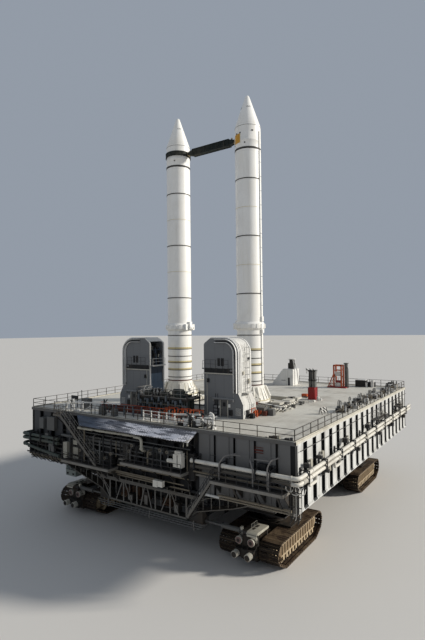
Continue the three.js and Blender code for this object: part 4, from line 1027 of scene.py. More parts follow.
def collarLayers():
    r = booster["radius"]
    band_ = hoop(r - 0.01, r + 0.09, -0.35, 0.35, booster["sides"])
    band_ += hoop(r, r + 0.14, -0.35, -0.27, booster["sides"])
    band_ += hoop(r, r + 0.14, 0.27, 0.35, booster["sides"])
    for k in range(12):
        band_ += moved(box(r + 0.05, r + 0.138, -0.08, 0.08, -0.3, 0.3), turn=30 * k)
    return {"beamPaint": moved(band_, -booster["x"], booster["y"], booster["base"] + crossBeam["z"])}


piece("beam_collar_dressed", collarLayers(), stands=["beam_collar"])
print("boosters done")


# Platform: flanges and stiffeners on the hull's ribs, trim, kerbs, rails and side equipment
hull = {"gap": 0.8, "inset": 0.06, "lowBand": 0.26, "topBand": 0.34}
wallSides = {  # start corner, direction along and inwards, length
    "near": ((-1, -1), (1, 0), (0, 1), 2 * halfX), "right": ((1, -1), (0, 1), (-1, 0), 2 * halfY),
    "far": ((1, 1), (-1, 0), (0, -1), 2 * halfX), "left": ((-1, 1), (0, -1), (1, 0), 2 * halfY)}


def gapMiddles(wall):
    (sx, sy), (ax, ay), (ix, iy), length = wallSides[wall]
    inset = hull["inset"]
    run = length - 2 * inset
    count = math.floor((run - 2 * hull["gap"]) / ribPitch)
    first = (run - (count - 1) * ribPitch) / 2
    start = (sx * (halfX - inset), sy * (halfY - inset))
    return [(start[0] + ax * (first + i * ribPitch), start[1] + ay * (first + i * ribPitch))
            for i in range(count)], (ax, ay), (ix, iy)


def ribRows(offsets, depth, lift):  # places beside each gap: offset along the wall, depth inwards
    rows = []
    for wall in wallSides:
        middles, along, inward = gapMiddles(wall)
        turn = math.degrees(math.atan2(along[1], along[0]))
        for x, y in middles:
            for s in offsets:
                placeX, placeY = (p + a * s + i * depth for p, a, i in zip((x, y), along, inward))
                rows.append((placeX, placeY, lift, 0, 0, turn))
    return rows


ribTall = deck - hull["topBand"] - hullBottom - hull["lowBand"]
ribMiddle = hullBottom + hull["lowBand"]
flange = box(-0.035, 0.035, -0.03, 0.02, 0.0, ribTall)
spread("rib_flanges", flange, ribRows((-0.46, 0.46), 0.0, ribMiddle), "hullPaint")
# stiffeners and shelves in the pockets are near black, as painted shade in the recesses
stiffener = box(-0.045, 0.045, -0.02, 0.2, 0.0, ribTall) + box(-0.13, 0.13, -0.03, 0.0, 0.0, ribTall)
spread("pocket_stiffeners", stiffener, [r for i, r in enumerate(ribRows((0.1,), 0.3, ribMiddle)) if i % 3 != 1],
       "darkPanel")
shelf = box(-0.4, 0.4, -0.02, 0.4, 0.0, 0.05)
spread("pocket_shelves", shelf, [r for z in (2.0, 4.4) for r in ribRows((0.0,), 0.06, hullBottom + z)],
       "darkPanel")
cover = box(-0.42, 0.08, -0.02, 0.34, 0.0, ribTall)
nearGaps = [r for r in ribRows((0.0,), 0.08, ribMiddle) if r[1] < 0 and r[5] == 0 and r[0] > 9]
spread("near_pocket_covers", cover, nearGaps, "hullPaint")
weld = box(-0.5, 0.5, -0.012, 0.02, 0.0, 0.05)
spread("rib_welds", weld, [r for z in (1.5, 3.3, 5.1) for r in ribRows((ribPitch / 2,), 0.0, hullBottom + z)],
       "hullPaint")


def edgeLayers():  # trim and kerb round the deck, lower flange, and a coaming round each hole
    trim, shade, lower, coaming = [], [], [], []
    top, lip = deck, 0.03
    for s in (-1, 1):
        trim += box(s * (halfX - 0.1), s * (halfX + lip), -halfY - lip, halfY + lip, top - 0.24, top + 0.02)
        # the near end's trim band takes a dark copy of the trim paint, as painted shade
        end = trim if s > 0 else shade
        end += box(-halfX - lip, halfX + lip, s * (halfY - 0.1), s * (halfY + lip), top - 0.34, top + 0.021)
        trim += box(s * (halfX - 0.28), s * (halfX - 0.1), -halfY, halfY, top, top + 0.1)
        trim += box(-halfX, halfX, s * (halfY - 0.28), s * (halfY - 0.1), top, top + 0.1)
        lower += box(s * (halfX - 0.1), s * (halfX + 0.05), -halfY, halfY, hullBottom, hullBottom + 0.2)
        lower += box(-halfX, halfX, s * (halfY - 0.1), s * (halfY + 0.05), hullBottom, hullBottom + 0.2)
    hole = [(-4.7, -20.0), (4.7, -20.0), (4.7, -14.3), (2.3, -14.3), (2.3, -10.9), (-2.3, -10.9), (-2.3, -14.3),
            (-4.7, -14.3)]
    for (xa, ya), (xb, yb) in zip(hole, hole[1:] + hole[:1]):
        coaming += beam((xa, ya, top + 0.09), (xb, yb, top + 0.09), 0.16, 0.18)
    return {"trimPaint": trim, "trimPaintedShade": shade, "hullPaint": lower, "greyPaint": coaming}


piece("hull_edges", edgeLayers(), bevel=0.012)

deckEdge = 0.15
rx, ry = halfX - deckEdge, halfY - deckEdge
deckLook = {"paint": "railDark", "Spacing": 1.95, "Height": 1.22, "Middle": 0.64, "Post Radius": 0.05,
            "Rail Radius": 0.034}
railing("deck_rail_near", [[(-rx, -ry, deck), (-13.2, -ry, deck)], [(-12.2, -ry, deck), (rx, -ry, deck)]],
        deckLook, stands=["deck_railing"])
railing("deck_rail_sides", [[(s * rx, -ry, deck), (s * rx, ry, deck)] for s in (1, -1)], deckLook)
railing("deck_rail_far", [[(-rx, ry, deck), (rx, ry, deck)]], deckLook)

service = {"side": halfX + 0.65, "front": -halfY - 1.0, "far": 24.43, "right": 8.95, "left": -13.5}
rightLevels, leftLevels = [(12.6, 0.21), (12.06, 0.2)], [(12.12, 0.2), (11.56, 0.2)]  # height and radius


def pipeLines():  # each named pipe with its radius, paint and lines
    side, front, far, right, left = service.values()
    (high, highRadius), (low, lowRadius) = rightLevels
    upper = [(right, front, high), (side, front, high), (side, far, high)]
    turnAt = side - 0.75
    lower = [(turnAt, front, low), (side, front, low), (side, far, low)]
    frontLower = [(right, front, low), (turnAt, front, low)]
    leftUpper, leftLower = ([(left, front, z), (-side, front, z), (-side, far, z)] for z, r in leftLevels)
    sloping = [(-13.2, front, 9.9), (-17.5, front, 10.28), (-side, front, 10.75), (-side, -18.0, 10.75)]
    return {"service_pipe_upper": (highRadius, "pipePaint", [upper]),
            "service_pipe_lower": (lowRadius, "pipePaint", [lower]),
            "service_pipe_front": (0.19, "pipeShade", [frontLower]),
            "service_pipes_left": (0.2, "pipeDark", [leftUpper, leftLower, sloping])}


for row, (runName, (radius, paint, lines)) in enumerate(pipeLines().items()):
    look = {"paint": paint, "Radius": radius, "Step": 3.66, "Flange Radius": radius * 1.22,
            "Flange Length": 0.16}
    bent = [[tuple(p) for p in rounded(line, 0.6, 6)] for line in lines]
    grow(runName, lineMesh("run", bent), "pipe", treeValues(look),
         stands=["service_pipes"] if row == 0 else ())


def pipeBracket(levels, reach):
    # local +X points away from the wall, which is at -reach
    low = min(z - r for z, r in levels) - 0.06
    high = max(z + r for z, r in levels) + 0.06
    parts = box(-reach - 0.02, 0.36, -0.05, 0.05, low - 0.1, low)
    parts += box(-reach - 0.02, 0.36, -0.05, 0.05, high, high + 0.1)
    parts += box(0.28, 0.36, -0.06, 0.06, low - 0.1, high + 0.1)
    parts += box(-reach - 0.02, 0.1 - reach, -0.09, 0.09, low - 0.7, high + 0.3)
    parts += beam((0.07 - reach, 0, low - 0.6), (0.25, 0, low - 0.06), 0.08, 0.1)
    for z, r in levels:
        parts += placed(hoop(r - 0.01, r + 0.05, -0.06, 0.06, 16), quarterTurn(0, 0, z, "X"))
    return parts


sideY = [-23.4 + 4.88 * i for i in range(10)]
sideReach, frontReach = service["side"] - halfX, -halfY - service["front"]
pipeBrackets = {  # levels, distance to the wall, places
    "right": (rightLevels, sideReach, [(service["side"], y, 0, 0, 0, 0) for y in sideY]),
    "left": (leftLevels, sideReach, [(-service["side"], y, 0, 0, 0, 180) for y in sideY]),
    "near_right": (rightLevels, frontReach,
                   [(x, service["front"], 0, 0, 0, -90) for x in (9.4, 12.75, 16.8, 18.4)]),
    "near_left": (leftLevels, frontReach, [(x, service["front"], 0, 0, 0, -90) for x in (-14.0, -16.9, -19.2)])}
for where, (levels, reach, rows) in pipeBrackets.items():
    spread("pipe_brackets_" + where, pipeBracket(levels, reach), rows, "bracketSteel")


def smallLines():  # conduits above the main pipes, with drops and loops at the corners
    shapes = {"pipePaint": [], "bracketSteel": [], "boxCream": [], "rubber": []}
    wall = halfX + 0.12
    for s in (1, -1):
        shapes["bracketSteel"] += tube([(s * (wall + 0.05), -23.6, 14.75), (s * (wall + 0.05), 24.0, 14.75)],
                                       0.035, 6)
    # Valve sets and junction boxes along both long sides: distance along, height, size
    for y, z, size in ((-22.6, 13.0, 0.4), (-19.3, 13.1, 0.35), (-17.3, 11.2, 0.35), (-11.0, 13.1, 0.5),
                       (-6.2, 11.1, 0.4), (-1.6, 13.1, 0.5), (4.4, 11.1, 0.4), (7.4, 13.1, 0.5),
                       (12.0, 11.0, 0.5), (17.6, 13.2, 0.5), (20.4, 11.0, 0.5)):
        for s in (1, -1):
            shapes["bracketSteel"] += boxAt(s * (wall + 0.3), y, z, 0.6, size * 1.2, size)
            shapes["pipePaint"] += tube([(s * (wall + 0.5), y, z + size),
                                         (s * (wall + 0.5), y, z + size + 0.25)], 0.09, 8)
            wheel = hoop(size * 0.26, size * 0.34, -0.03, 0.03, 16)
            shapes["bracketSteel"] += placed(wheel, Matrix.Translation((s * (wall + 0.5), y, z + size + 0.26)))
            shapes["boxCream"] += boxAt(s * (wall + 0.12), y + 1.3, z - 0.2, 0.24, 0.5, 0.7)
    # Near right corner: a bundle of thin drops under the elbows, hose loops, and bellows on the lower pipe
    cx, cy = halfX + 0.35, service["front"] + 0.05
    for i in range(12):
        x, y = cx - 0.5 + 0.09 * i, cy + 0.13 * (i % 3)
        low, top = 8.5 + 0.2 * (i * 5 % 4), 11.75 - 0.12 * (i % 3)
        shapes[("bracketSteel", "rubber", "pipePaint", "bracketSteel")[i % 4]] += tube(
            [(x, y, top), (x, y, low), (x - 0.2, y + 0.15, low - 0.25)], 0.035 + 0.01 * (i % 2), 6, 0.12)
    for i in range(5):
        x0, x1, sag = cx - 1.0 + 0.25 * i, cx - 0.3 + 0.3 * i, 0.35 + 0.12 * (i % 3)
        shapes[("pipePaint", "rubber")[i % 2]] += tube([(x0, cy, 11.75), (x0 + 0.1, cy - 0.1, 11.75 - sag),
                                                        (x1, cy - 0.1, 11.7 - sag),
                                                        (x1 + 0.1, cy + 0.05, 11.8)], 0.045, 6, 0.3)
    for z in (8.9, 9.9, 10.9):
        shapes["bracketSteel"] += box(cx - 0.6, cx + 0.5, cy + 0.05, cy + 0.11, z, z + 0.08)
    for i in range(5):
        ring = hoop(0.19, 0.265, -0.045, 0.045, 16)
        shapes["pipePaint"] += placed(ring, quarterTurn(service["side"], -24.3 + 0.2 * i, 12.06, "X"))
    for i in range(7):  # small things along the deck's near edge
        x = 17.3 + 0.45 * i
        shapes[("pipePaint", "bracketSteel", "bracketSteel", "boxCream")[i % 4]] += boxAt(
            x, -halfY + 0.35, deck, 0.22 + 0.1 * (i % 3), 0.25, 0.2 + 0.08 * (i % 4))
    # Expansion loop on the lower main pipe near the corner
    for y in (-21.9, -14.6):
        x = service["side"] + 0.1
        shapes["pipePaint"] += tube([(x - 0.1, y - 0.9, 12.06), (x - 0.1, y - 0.9, 11.3),
                                     (x - 0.1, y + 0.9, 11.3), (x - 0.1, y + 0.9, 12.06)], 0.16, 10, 0.3)
    return shapes


piece("side_lines", smallLines())


def sideLandings():  # small outside landings with a ladder on both long sides
    steel, rails = [], []
    for s in (1, -1):
        for y0, y1, z in ((2.0, 4.6, 13.6), (15.4, 17.6, 13.6)):
            x0, x1 = s * halfX, s * (halfX + 1.05)
            steel += box(x0, x1, y0, y1, z - 0.1, z)
            for y in (y0 + 0.1, y1 - 0.1):
                steel += beam((x0, y, z - 0.95), (x1, y, z - 0.1), 0.08, 0.08)
            rails.append([(x0, y0, z), (x1, y0, z), (x1, y1, z), (x0, y1, z)])
            for k in (0, 0.42):
                steel += tube([(x0 + s * 0.3, y1 + 0.1 + k, 9.6), (x0 + s * 0.3, y1 + 0.1 + k, 15.6)], 0.03, 6)
            for i in range(20):
                zr = 9.7 + 0.3 * i
                steel += tube([(x0 + s * 0.3, y1 + 0.1, zr), (x0 + s * 0.3, y1 + 0.52, zr)], 0.02, 5)
    piece("side_landings", {"bracketSteel": steel})
    railing("side_landing_rails", rails, {"paint": "railPaint", "Spacing": 0.9})


sideLandings()
print("platform done")


# Tail service masts: heights are above the deck, built on the right and mirrored for the left
mast = {"inner": 4.7, "outer": 9.7, "near": -16.8, "far": -13.6, "height": 9.85, "round": 1.9,
        "foot": deck + 0.001}
mastIn, mastOut, mastTop = mast["inner"], mast["outer"], mast["height"]
doorIn, doorOut, doorTop = 7.15, 8.15, 2.2
shoulder = arc(mastOut - mast["round"], mastTop - mast["round"], mast["round"], 0, 90, 12)
mastEdge = [(mastIn, 0), (10.4, 0), (10.4, 1.7), (mastOut, 3.1)] + shoulder + [(5.6, mastTop), (mastIn, 9.2)]
nicheEdge = [(mastIn, 0), (doorIn, 0), (doorIn, doorTop), (doorOut, doorTop), (doorOut, 0)] + mastEdge[1:]
recessEdge = mastEdge[:-1] + [(4.91, 9.35), (6.8, 9.35), (6.8, 5.7), (mastIn, 5.7), (mastIn, 5.4), (5.6, 5.4),
                              (5.6, 3.4), (mastIn, 3.4)]


def mastShell():
    near, far = mast["near"], mast["far"]
    body = prism(nicheEdge, "y", near, near + 0.2) + prism(mastEdge, "y", near + 0.2, near + 0.35)
    body += prism(recessEdge, "y", near + 0.35, far - 0.35) + prism(mastEdge, "y", far - 0.35, far)
    return body + box(doorIn, doorOut, near, near + 0.2, 0, 0.12)


def overShoulder(lift, y0, y1):  # a strip that follows the outer side from the flare's top over the shoulder
    path = [(mastOut, 3.15)] + shoulder + [(5.7, mastTop)]
    outer = [(x + lift * (1 if i == 0 else math.cos(math.radians(90 * min(max(i - 1, 0), 12) / 12))),
              z + lift * (0 if i == 0 else math.sin(math.radians(90 * min(max(i - 1, 0), 12) / 12))))
             for i, (x, z) in enumerate(path)]
    inner = [(x - 0.05, z - 0.05) for x, z in path]
    return prism(outer + inner[::-1], "y", y0, y1)


def edgeLine(inset):  # outer edge of the front, moved inwards
    round_ = mast["round"]
    side, top = mastOut - round_, mastTop - round_
    bend = arc(side, top, round_ - inset, 0, 90, 10)
    return [(mastOut - inset, 3.1)] + bend + [(6.4, mastTop - inset)]


def mastFront():
    near = mast["near"]
    plate = lambda x0, x1, depth, z0, z1: box(x0, x1, near - depth, near, z0, z1)
    grey, white, dark, cream = [], [], [], []
    # Raised panels above and below the dark band, with battens on their edges
    grey += plate(5.05, 9.0, 0.03, 2.45, 5.25)
    upper = [(5.05, 6.2), (9.0, 6.2), (9.0, 7.9)] + arc(7.75, 7.95, 1.25, 0, 90, 8) + [(5.7, 9.2), (5.05, 8.8)]
    grey += prism(upper, "y", near - 0.03, near)
    for z in (2.42, 5.22, 6.17):
        grey += plate(4.98, 9.06, 0.05, z, z + 0.06)
    for x in (4.96, 9.02):
        grey += plate(x, x + 0.07, 0.05, 2.42, 5.3)
    for x, z0, z1 in ((6.36, 2.5, 5.2), (7.7, 2.5, 5.2), (6.36, 6.25, 9.1), (7.7, 6.25, 9.1)):
        dark += plate(x, x + 0.018, 0.034, z0, z1)
    dark += box(4.72, 9.1, near - 0.012, near + 0.1, 5.5, 6.05) + plate(4.9, 8.9, 0.1, 5.62, 5.7)
    cream += box(4.66, 9.2, near - 0.14, near + 0.02, 5.36, 5.46)
    grey += plate(8.65, 8.9, 0.16, 5.75, 5.95) + plate(9.1, 9.3, 0.1, 5.5, 6.05)
    # Hatch with a short rail above the band, a dark box and small lamps
    dark += plate(6.75, 7.7, 0.05, 6.35, 7.35)
    grey += plate(7.17, 7.25, 0.09, 6.35, 7.35)
    for x in (5.1, 5.9, 6.7, 7.75, 8.55):
        dark += box(x - 0.02, x + 0.02, near - 0.42, near - 0.38, 6.05, 7.15)
        dark += plate(x - 0.02, x + 0.02, 0.42, 6.03, 6.07)
    for z in (6.6, 7.12):
        dark += box(5.1, 8.55, near - 0.42, near - 0.385, z, z + 0.035)
    dark += plate(5.2, 5.5, 0.2, 4.25, 4.75) + plate(9.1, 9.3, 0.1, 3.2, 3.5)
    cream += plate(5.1, 5.16, 0.06, 0.2, 5.3)
    # Entrance: hood, frame, light, boxes and conduits beside the door
    grey += plate(6.05, 9.1, 0.3, 2.26, 2.36) + box(6.05, 9.1, near - 0.32, near - 0.26, 2.2, 2.36)
    grey += plate(6.05, 6.13, 0.3, 2.0, 2.3) + plate(9.02, 9.1, 0.3, 2.0, 2.3)
    for x in (7.06, 8.15):
        cream += plate(x, x + 0.09, 0.06, 0, 2.27)
    cream += plate(7.06, 8.24, 0.06, 2.2, 2.27)
    white += plate(8.35, 8.6, 0.16, 1.3, 1.7) + plate(6.9, 7.0, 0.12, 1.1, 1.4)
    dark += plate(6.2, 6.85, 0.28, 0.25, 1.5) + plate(8.4, 8.9, 0.12, 0.3, 1.0)
    for i, x in enumerate((6.3, 6.45, 6.62, 6.76)):
        dark += tube([(x, near - 0.06, 1.4), (x, near - 0.06, 2.2 + 0.7 * (i % 2))], 0.035, 6)
    for z in (0.35, 0.75, 1.15):
        grey += box(6.28, 6.78, near - 0.3, near - 0.27, z, z + 0.28)
    # Fins that run up the front's outer edge and over the shoulder, with thin near-black strips between them as
    # painted shade in the gaps
    for inset, wide, layer in ((0.5, 0.05, white), (0.3, 0.17, dark), (0.08, 0.06, white)):
        depth = 0.3 if layer is white else 0.012
        layer += prism(edgeLine(inset) + edgeLine(inset + wide)[::-1], "y", near - depth, near)
    dark += plate(9.35, 10.1, 0.02, 0.4, 1.3)
    for i in range(7):
        white += plate(9.35, 10.1, 0.05, 0.42 + 0.13 * i, 0.47 + 0.13 * i)
    return {"mastPaint": grey, "mastWhite": white, "darkPanel": dark, "trimPaint": cream}


def mastOuter():
    near, far, outer = mast["near"], mast["far"], mast["outer"]
    grey, white, dark, cream = [], [], [], []
    white += overShoulder(0.12, near, near + 0.16) + overShoulder(0.1, near + 0.38, near + 0.52)
    # near-black strips between the white fins over the shoulder, as painted shade in the gaps
    dark += overShoulder(0.012, near + 0.16, near + 0.38) + overShoulder(0.012, near + 0.52, near + 0.68)
    white += overShoulder(0.1, near + 0.68, near + 0.8) + overShoulder(0.08, far - 0.2, far)
    for z in (3.6, 4.7, 5.8, 6.9):
        white += box(outer, outer + 0.03, near + 0.8, far - 0.2, z, z + 0.08)
    for a, b in ((3.3, 0.9), (3.3, 2.2)):
        white += box(outer, outer + 0.06, near + b, near + b + 0.08, a, 8.0)
    # Caged ladder up the outer side, with a landing where the flare ends
    y = near + 1.75
    for k in (-0.22, 0.22):
        grey += tube([(10.46, y + k, 0.1), (10.46, y + k, 1.75), (9.86, y + k, 3.15), (9.86, y + k, 9.2)],
                     0.03, 6)
    for i in range(28):
        z = 0.35 + 0.31 * i
        x = 10.46 if z < 1.75 else max(9.86, 10.46 - (z - 1.75) * 0.43)
        grey += tube([(x, y - 0.22, z), (x, y + 0.22, z)], 0.018, 5)
    for z in [3.6 + 0.85 * i for i in range(7)]:
        ring = [(9.86, y - 0.36, z), (10.2, y - 0.36, z), (10.42, y - 0.15, z), (10.42, y + 0.15, z),
                (10.2, y + 0.36, z), (9.86, y + 0.36, z)]
        grey += tube(ring, 0.022, 5)
    for k in (-0.33, -0.12, 0.12, 0.33):
        grey += tube([(10.4 - abs(k) * 0.5, y + k, 3.5), (10.4 - abs(k) * 0.5, y + k, 8.8)], 0.014, 5)
    grey += box(9.6, 10.55, y - 0.9, y + 0.9, 3.02, 3.08)
    # Vents, boxes and lamps on the flare and on the side
    for y0, z0 in ((near + 0.3, 0.5), (far - 1.1, 0.5), (far - 1.1, 1.1)):
        dark += box(10.38, 10.42, y0, y0 + 0.7, z0, z0 + 0.45)
        for i in range(5):
            white += box(10.4, 10.46, y0 - 0.03, y0 + 0.73, z0 + 0.09 * i, z0 + 0.04 + 0.09 * i)
    cream += boxAt(9.85, far - 0.7, 4.1, 0.3, 0.4, 0.6) + boxAt(9.85, near + 1.1, 5.3, 0.26, 0.3, 0.4)
    dark += boxAt(9.8, near + 2.6, 7.1, 0.2, 0.3, 0.3) + boxAt(10.5, near + 0.9, 0.2, 0.25, 0.5, 0.8)
    return {"mastPaint": grey, "mastWhite": white, "darkPanel": dark, "trimPaint": cream}


def mastInner():
    near, far, inner = mast["near"], mast["far"], mast["inner"]
    grey, dark, blue, cream, sheet = [], [], [], [], []
    # Blue-grey sheet below, dark-blue doors in the low recess, a ledge, and equipment in the high recess
    sheet += box(inner - 0.03, inner, near + 0.1, far - 0.3, 0.9, 3.5)
    sheet += box(inner + 0.08, inner + 0.14, near + 0.4, far - 0.4, 3.45, 4.84)
    blue += box(inner + 0.1, inner + 0.16, near + 0.4, far - 0.4, 4.84, 5.35)
    dark += box(inner + 0.36, 5.58, near + 0.36, far - 0.36, 3.42, 5.38)
    for y in (near + 1.1, near + 1.9):
        dark += box(inner + 0.08, inner + 0.1, y, y + 0.03, 3.55, 5.3)
    blue += box(inner - 0.03, inner, near + 0.1, far - 0.3, 5.38, 5.86)
    grey += box(inner - 0.5, inner + 0.1, near + 0.2, far - 0.2, 5.88, 6.02)
    for y in (near + 0.25, far - 0.31):
        grey += tube([(inner - 0.45, y, 6.0), (inner - 0.45, y, 6.95), (inner, y, 6.95)], 0.03, 6)
    grey += tube([(inner - 0.45, near + 0.25, 6.95), (inner - 0.45, far - 0.28, 6.95)], 0.03, 6)
    grey += tube([(inner - 0.45, near + 0.25, 6.5), (inner - 0.45, far - 0.28, 6.5)], 0.025, 6)
    dark += box(6.72, 6.8, near + 0.36, far - 0.36, 5.72, 9.33)
    for y, z0, z1, x in ((-16.2, 5.8, 7.4, 5.9), (-15.5, 5.8, 8.9, 6.2), (-14.7, 6.3, 8.3, 5.8),
                         (-14.2, 5.8, 7.0, 5.5)):
        dark += boxAt(x, y, z0, 0.6, 0.45, z1 - z0)
    for i in range(5):
        y = -16.1 + 0.45 * i
        (dark if i % 2 else blue).extend(tube([(4.85 + 0.2 * (i % 2), y, 5.75), (4.9, y, 7.2),
                                               (5.2, y + 0.2, 8.6), (6.7, y + 0.2, 9.0)], 0.1 + 0.03 * (i % 3),
                                              8, 0.5))
    for z in (6.9, 8.1):
        blue += box(4.95, 6.7, near + 0.36, far - 0.36, z, z + 0.08)
    cream += box(4.85, 5.2, near + 0.6, near + 1.0, 8.2, 8.7) + box(4.95, 5.3, -14.6, -14.2, 7.1, 7.5)
    cream += box(4.8, 5.0, -15.9, -15.7, 5.66, 5.86)
    grey += box(4.62, 4.74, near + 0.02, near + 0.3, 0.2, 9.1)
    grey += box(4.62, 4.74, far - 0.3, far - 0.02, 0.2, 9.1)
    for y, z, size in ((-16.3, 8.2, 0.5), (-15.6, 7.3, 0.4), (-15.0, 8.5, 0.55), (-14.4, 7.6, 0.45),
                       (-14.9, 6.4, 0.4)):
        dark += boxAt(4.95, y, z, 0.6, size, size)
    return {"mastPaint": grey, "darkPanel": dark, "mastBlue": blue, "mastSheet": sheet, "trimPaint": cream}


def mastDoor():
    near = mast["near"]
    x0, x1, y0, y1, z0, z1 = 7.18, 8.12, near + 0.03, near + 0.1, 0.15, 2.17
    leaf = box(x0, x1, y0, y1, z0, z1)
    frame_ = box(x0, x0 + 0.09, y0 - 0.01, y0, z0, z1) + box(x1 - 0.09, x1, y0 - 0.01, y0, z0, z1)
    frame_ += box(x0, x1, y0 - 0.01, y0, z0, z0 + 0.25) + box(x0, x1, y0 - 0.01, y0, z1 - 0.1, z1)
    handle = tube([(7.36, y0, 1.05), (7.36, near - 0.035, 1.05), (7.36, near - 0.035, 1.2), (7.36, y0, 1.2)],
                  0.016, 8)
    panes = box(7.45, 7.85, y0 - 0.006, y0, 1.35, 1.85)
    return {"greyPaint": leaf + frame_, "darkPanel": panes, "trimPaint": handle}


def mastAt(layers, side):
    mirror = Matrix.Diagonal((side, 1, 1, 1))
    return {k: placed(v, mirror) for k, v in allMoved(layers, z=mast["foot"]).items()}


for side, s in sides.items():
    layers = merged({"mastPaint": mastShell()}, mastFront(), mastOuter(), mastInner())
    piece("mast_dressed_" + side, mastAt(layers, s), stands=["mast_" + side], bevel=0.008)
    piece("mast_door_dressed_" + side, mastAt(mastDoor(), s), body="mast_door_" + side,
          stands=["mast_door_" + side])
print("masts done")


# Near face: canopy sheet, porch floors, stair, bridge, davits and the equipment between them
wallY = -halfY
canopy = {"x0": -10.7, "frontX0": -8.3, "x1": 9.0, "back": wallY - 0.06, "front": -26.1, "zBack": 15.5,
          "zFront": 14.65, "pitch": 0.36, "ridge": 0.045, "sheet": 0.03}


def canopyTop(y):
    c = canopy
    return c["zBack"] + (c["zFront"] - c["zBack"]) * (y - c["back"]) / (c["front"] - c["back"])


def canopySheet():
    c = canopy
    columns = []
    count = round((c["x1"] - c["x0"]) / (c["pitch"] / 4))
    for i in range(count + 1):
        x = c["x0"] + 0.05 + (c["x1"] - c["x0"] - 0.05) * i / count
        dent = 0.03 * math.sin(x * 1.7) * math.sin(x * 0.61 + 1)
        share = min(1.0, (x - c["x0"]) / (c["frontX0"] - c["x0"]))
        front = c["back"] + (c["front"] - c["back"]) * share
        wave = (1, 1, -1, -1)[i % 4] * c["ridge"] / 2 + dent
        columns.append([(x, c["back"], canopyTop(c["back"]) + wave),
                        (x, front, canopyTop(front) + wave - dent * 2)])
    points = [p for column in columns for p in column]
    below = len(points)
    points += [(x, y, z - c["sheet"]) for x, y, z in points]
    faces = []
    for i in range(len(columns) - 1):
        a, b, d, e = 2 * i, 2 * i + 1, 2 * i + 3, 2 * i + 2
        faces.append((a, b, d, e))
        faces.append((a + below, e + below, d + below, b + below))
        faces.append((b, b + below, d + below, d))
        faces.append((a, e, e + below, a + below))
    last = 2 * (len(columns) - 1)
    faces.append((0, below, below + 1, 1))
    faces.append((last, last + 1, last + 1 + below, last + below))
    return [(points, faces)]


def canopyFrame():
    c = canopy
    steel, pale = [], []
    for y in (-24.75, -25.35, -25.98):
        left = c["x0"] + (c["frontX0"] - c["x0"]) * (y - c["back"]) / (c["front"] - c["back"]) + 0.1
        z = canopyTop(y) - 0.12
        steel += beam((left, y, z), (c["x1"], y, z), 0.08, 0.12)
    for i in range(9):
        x = c["frontX0"] + 0.3 + (c["x1"] - c["frontX0"] - 0.6) * i / 8
        steel += beam((x, c["back"], 15.3), (x, -26.0, canopyTop(-26.0) - 0.24), 0.08, 0.14)
        steel += beam((x, c["back"] - 0.05, 13.9), (x, -25.8, 14.45), 0.07, 0.1)
        steel += box(x - 0.05, x + 0.05, wallY - 0.2, wallY, 13.7, 15.4)
    # The weathered right end: a torn pale flap and its hanging strip
    pale += beam((8.5, -26.05, 14.68), (9.02, -25.6, 14.9), 0.2, 0.05)
    pale += beam((8.45, -26.14, 14.6), (8.4, -26.16, 14.1), 0.2, 0.04)
    pale += beam((8.85, -26.02, 14.75), (8.9, -26.1, 14.25), 0.16, 0.04)
    return {"porchSteel": steel, "boxCream": pale}


piece("canopy_sheet", {"canopySheet": canopySheet()}, stands=["porch_canopy"], smooth=20)
piece("canopy_frame", canopyFrame())

porchFront = -26.25
lowFloor, highFloor = 9.85, 11.1
floors = [(-11.7, -3.0, lowFloor), (-1.0, 8.1, highFloor), (11.8, 20.0, highFloor)]  # left, right, height


def porchFloors():
    steel, edges = [], []
    for x0, x1, z in floors:
        steel += box(x0, x1, porchFront + 0.1, wallY, z - 0.07, z)
        edges += box(x0, x1, porchFront, porchFront + 0.08, z - 0.26, z + 0.04)
        edges += box(x0 - 0.04, x0 + 0.04, porchFront, wallY, z - 0.26, z + 0.04)
        edges += box(x1 - 0.04, x1 + 0.04, porchFront, wallY, z - 0.26, z + 0.04)
        steel += box(x0, x1, -25.3, -25.2, z - 0.24, z - 0.05)
        count = round((x1 - x0) / ribPitch)
        for i in range(count + 1):
            x = x0 + 0.1 + (x1 - x0 - 0.2) * i / count
            steel += prism([(wallY, z - 0.1), (wallY, z - 1.5), (wallY - 0.22, z - 1.5),
                            (porchFront + 0.5, z - 0.32), (porchFront + 0.05, z - 0.24),
                            (porchFront + 0.05, z - 0.1)], "x", x - 0.035, x + 0.035)
            steel += box(x - 0.12, x + 0.12, wallY - 0.06, wallY, z - 1.7, z)
    edges += box(-3.1, 19.9, wallY - 0.2, wallY, 10.75, 10.95)
    steel += box(-3.1, -2.9, wallY - 0.2, wallY, 9.6, 11.0)
    return {"porchSteel": steel, "railGrey": edges}


piece("porch_floors", porchFloors(), stands=["porch_gallery"])
railLines = [[(x0 + 0.05, wallY, z), (x0 + 0.05, porchFront + 0.06, z), (x1 - 0.05, porchFront + 0.06, z)]
             for x0, x1, z in floors]
railLines[0] = railLines[0][1:] + [(-3.05, wallY, lowFloor)]
railing("porch_rails", railLines, {"paint": "bracketSteel", "Spacing": 1.22})


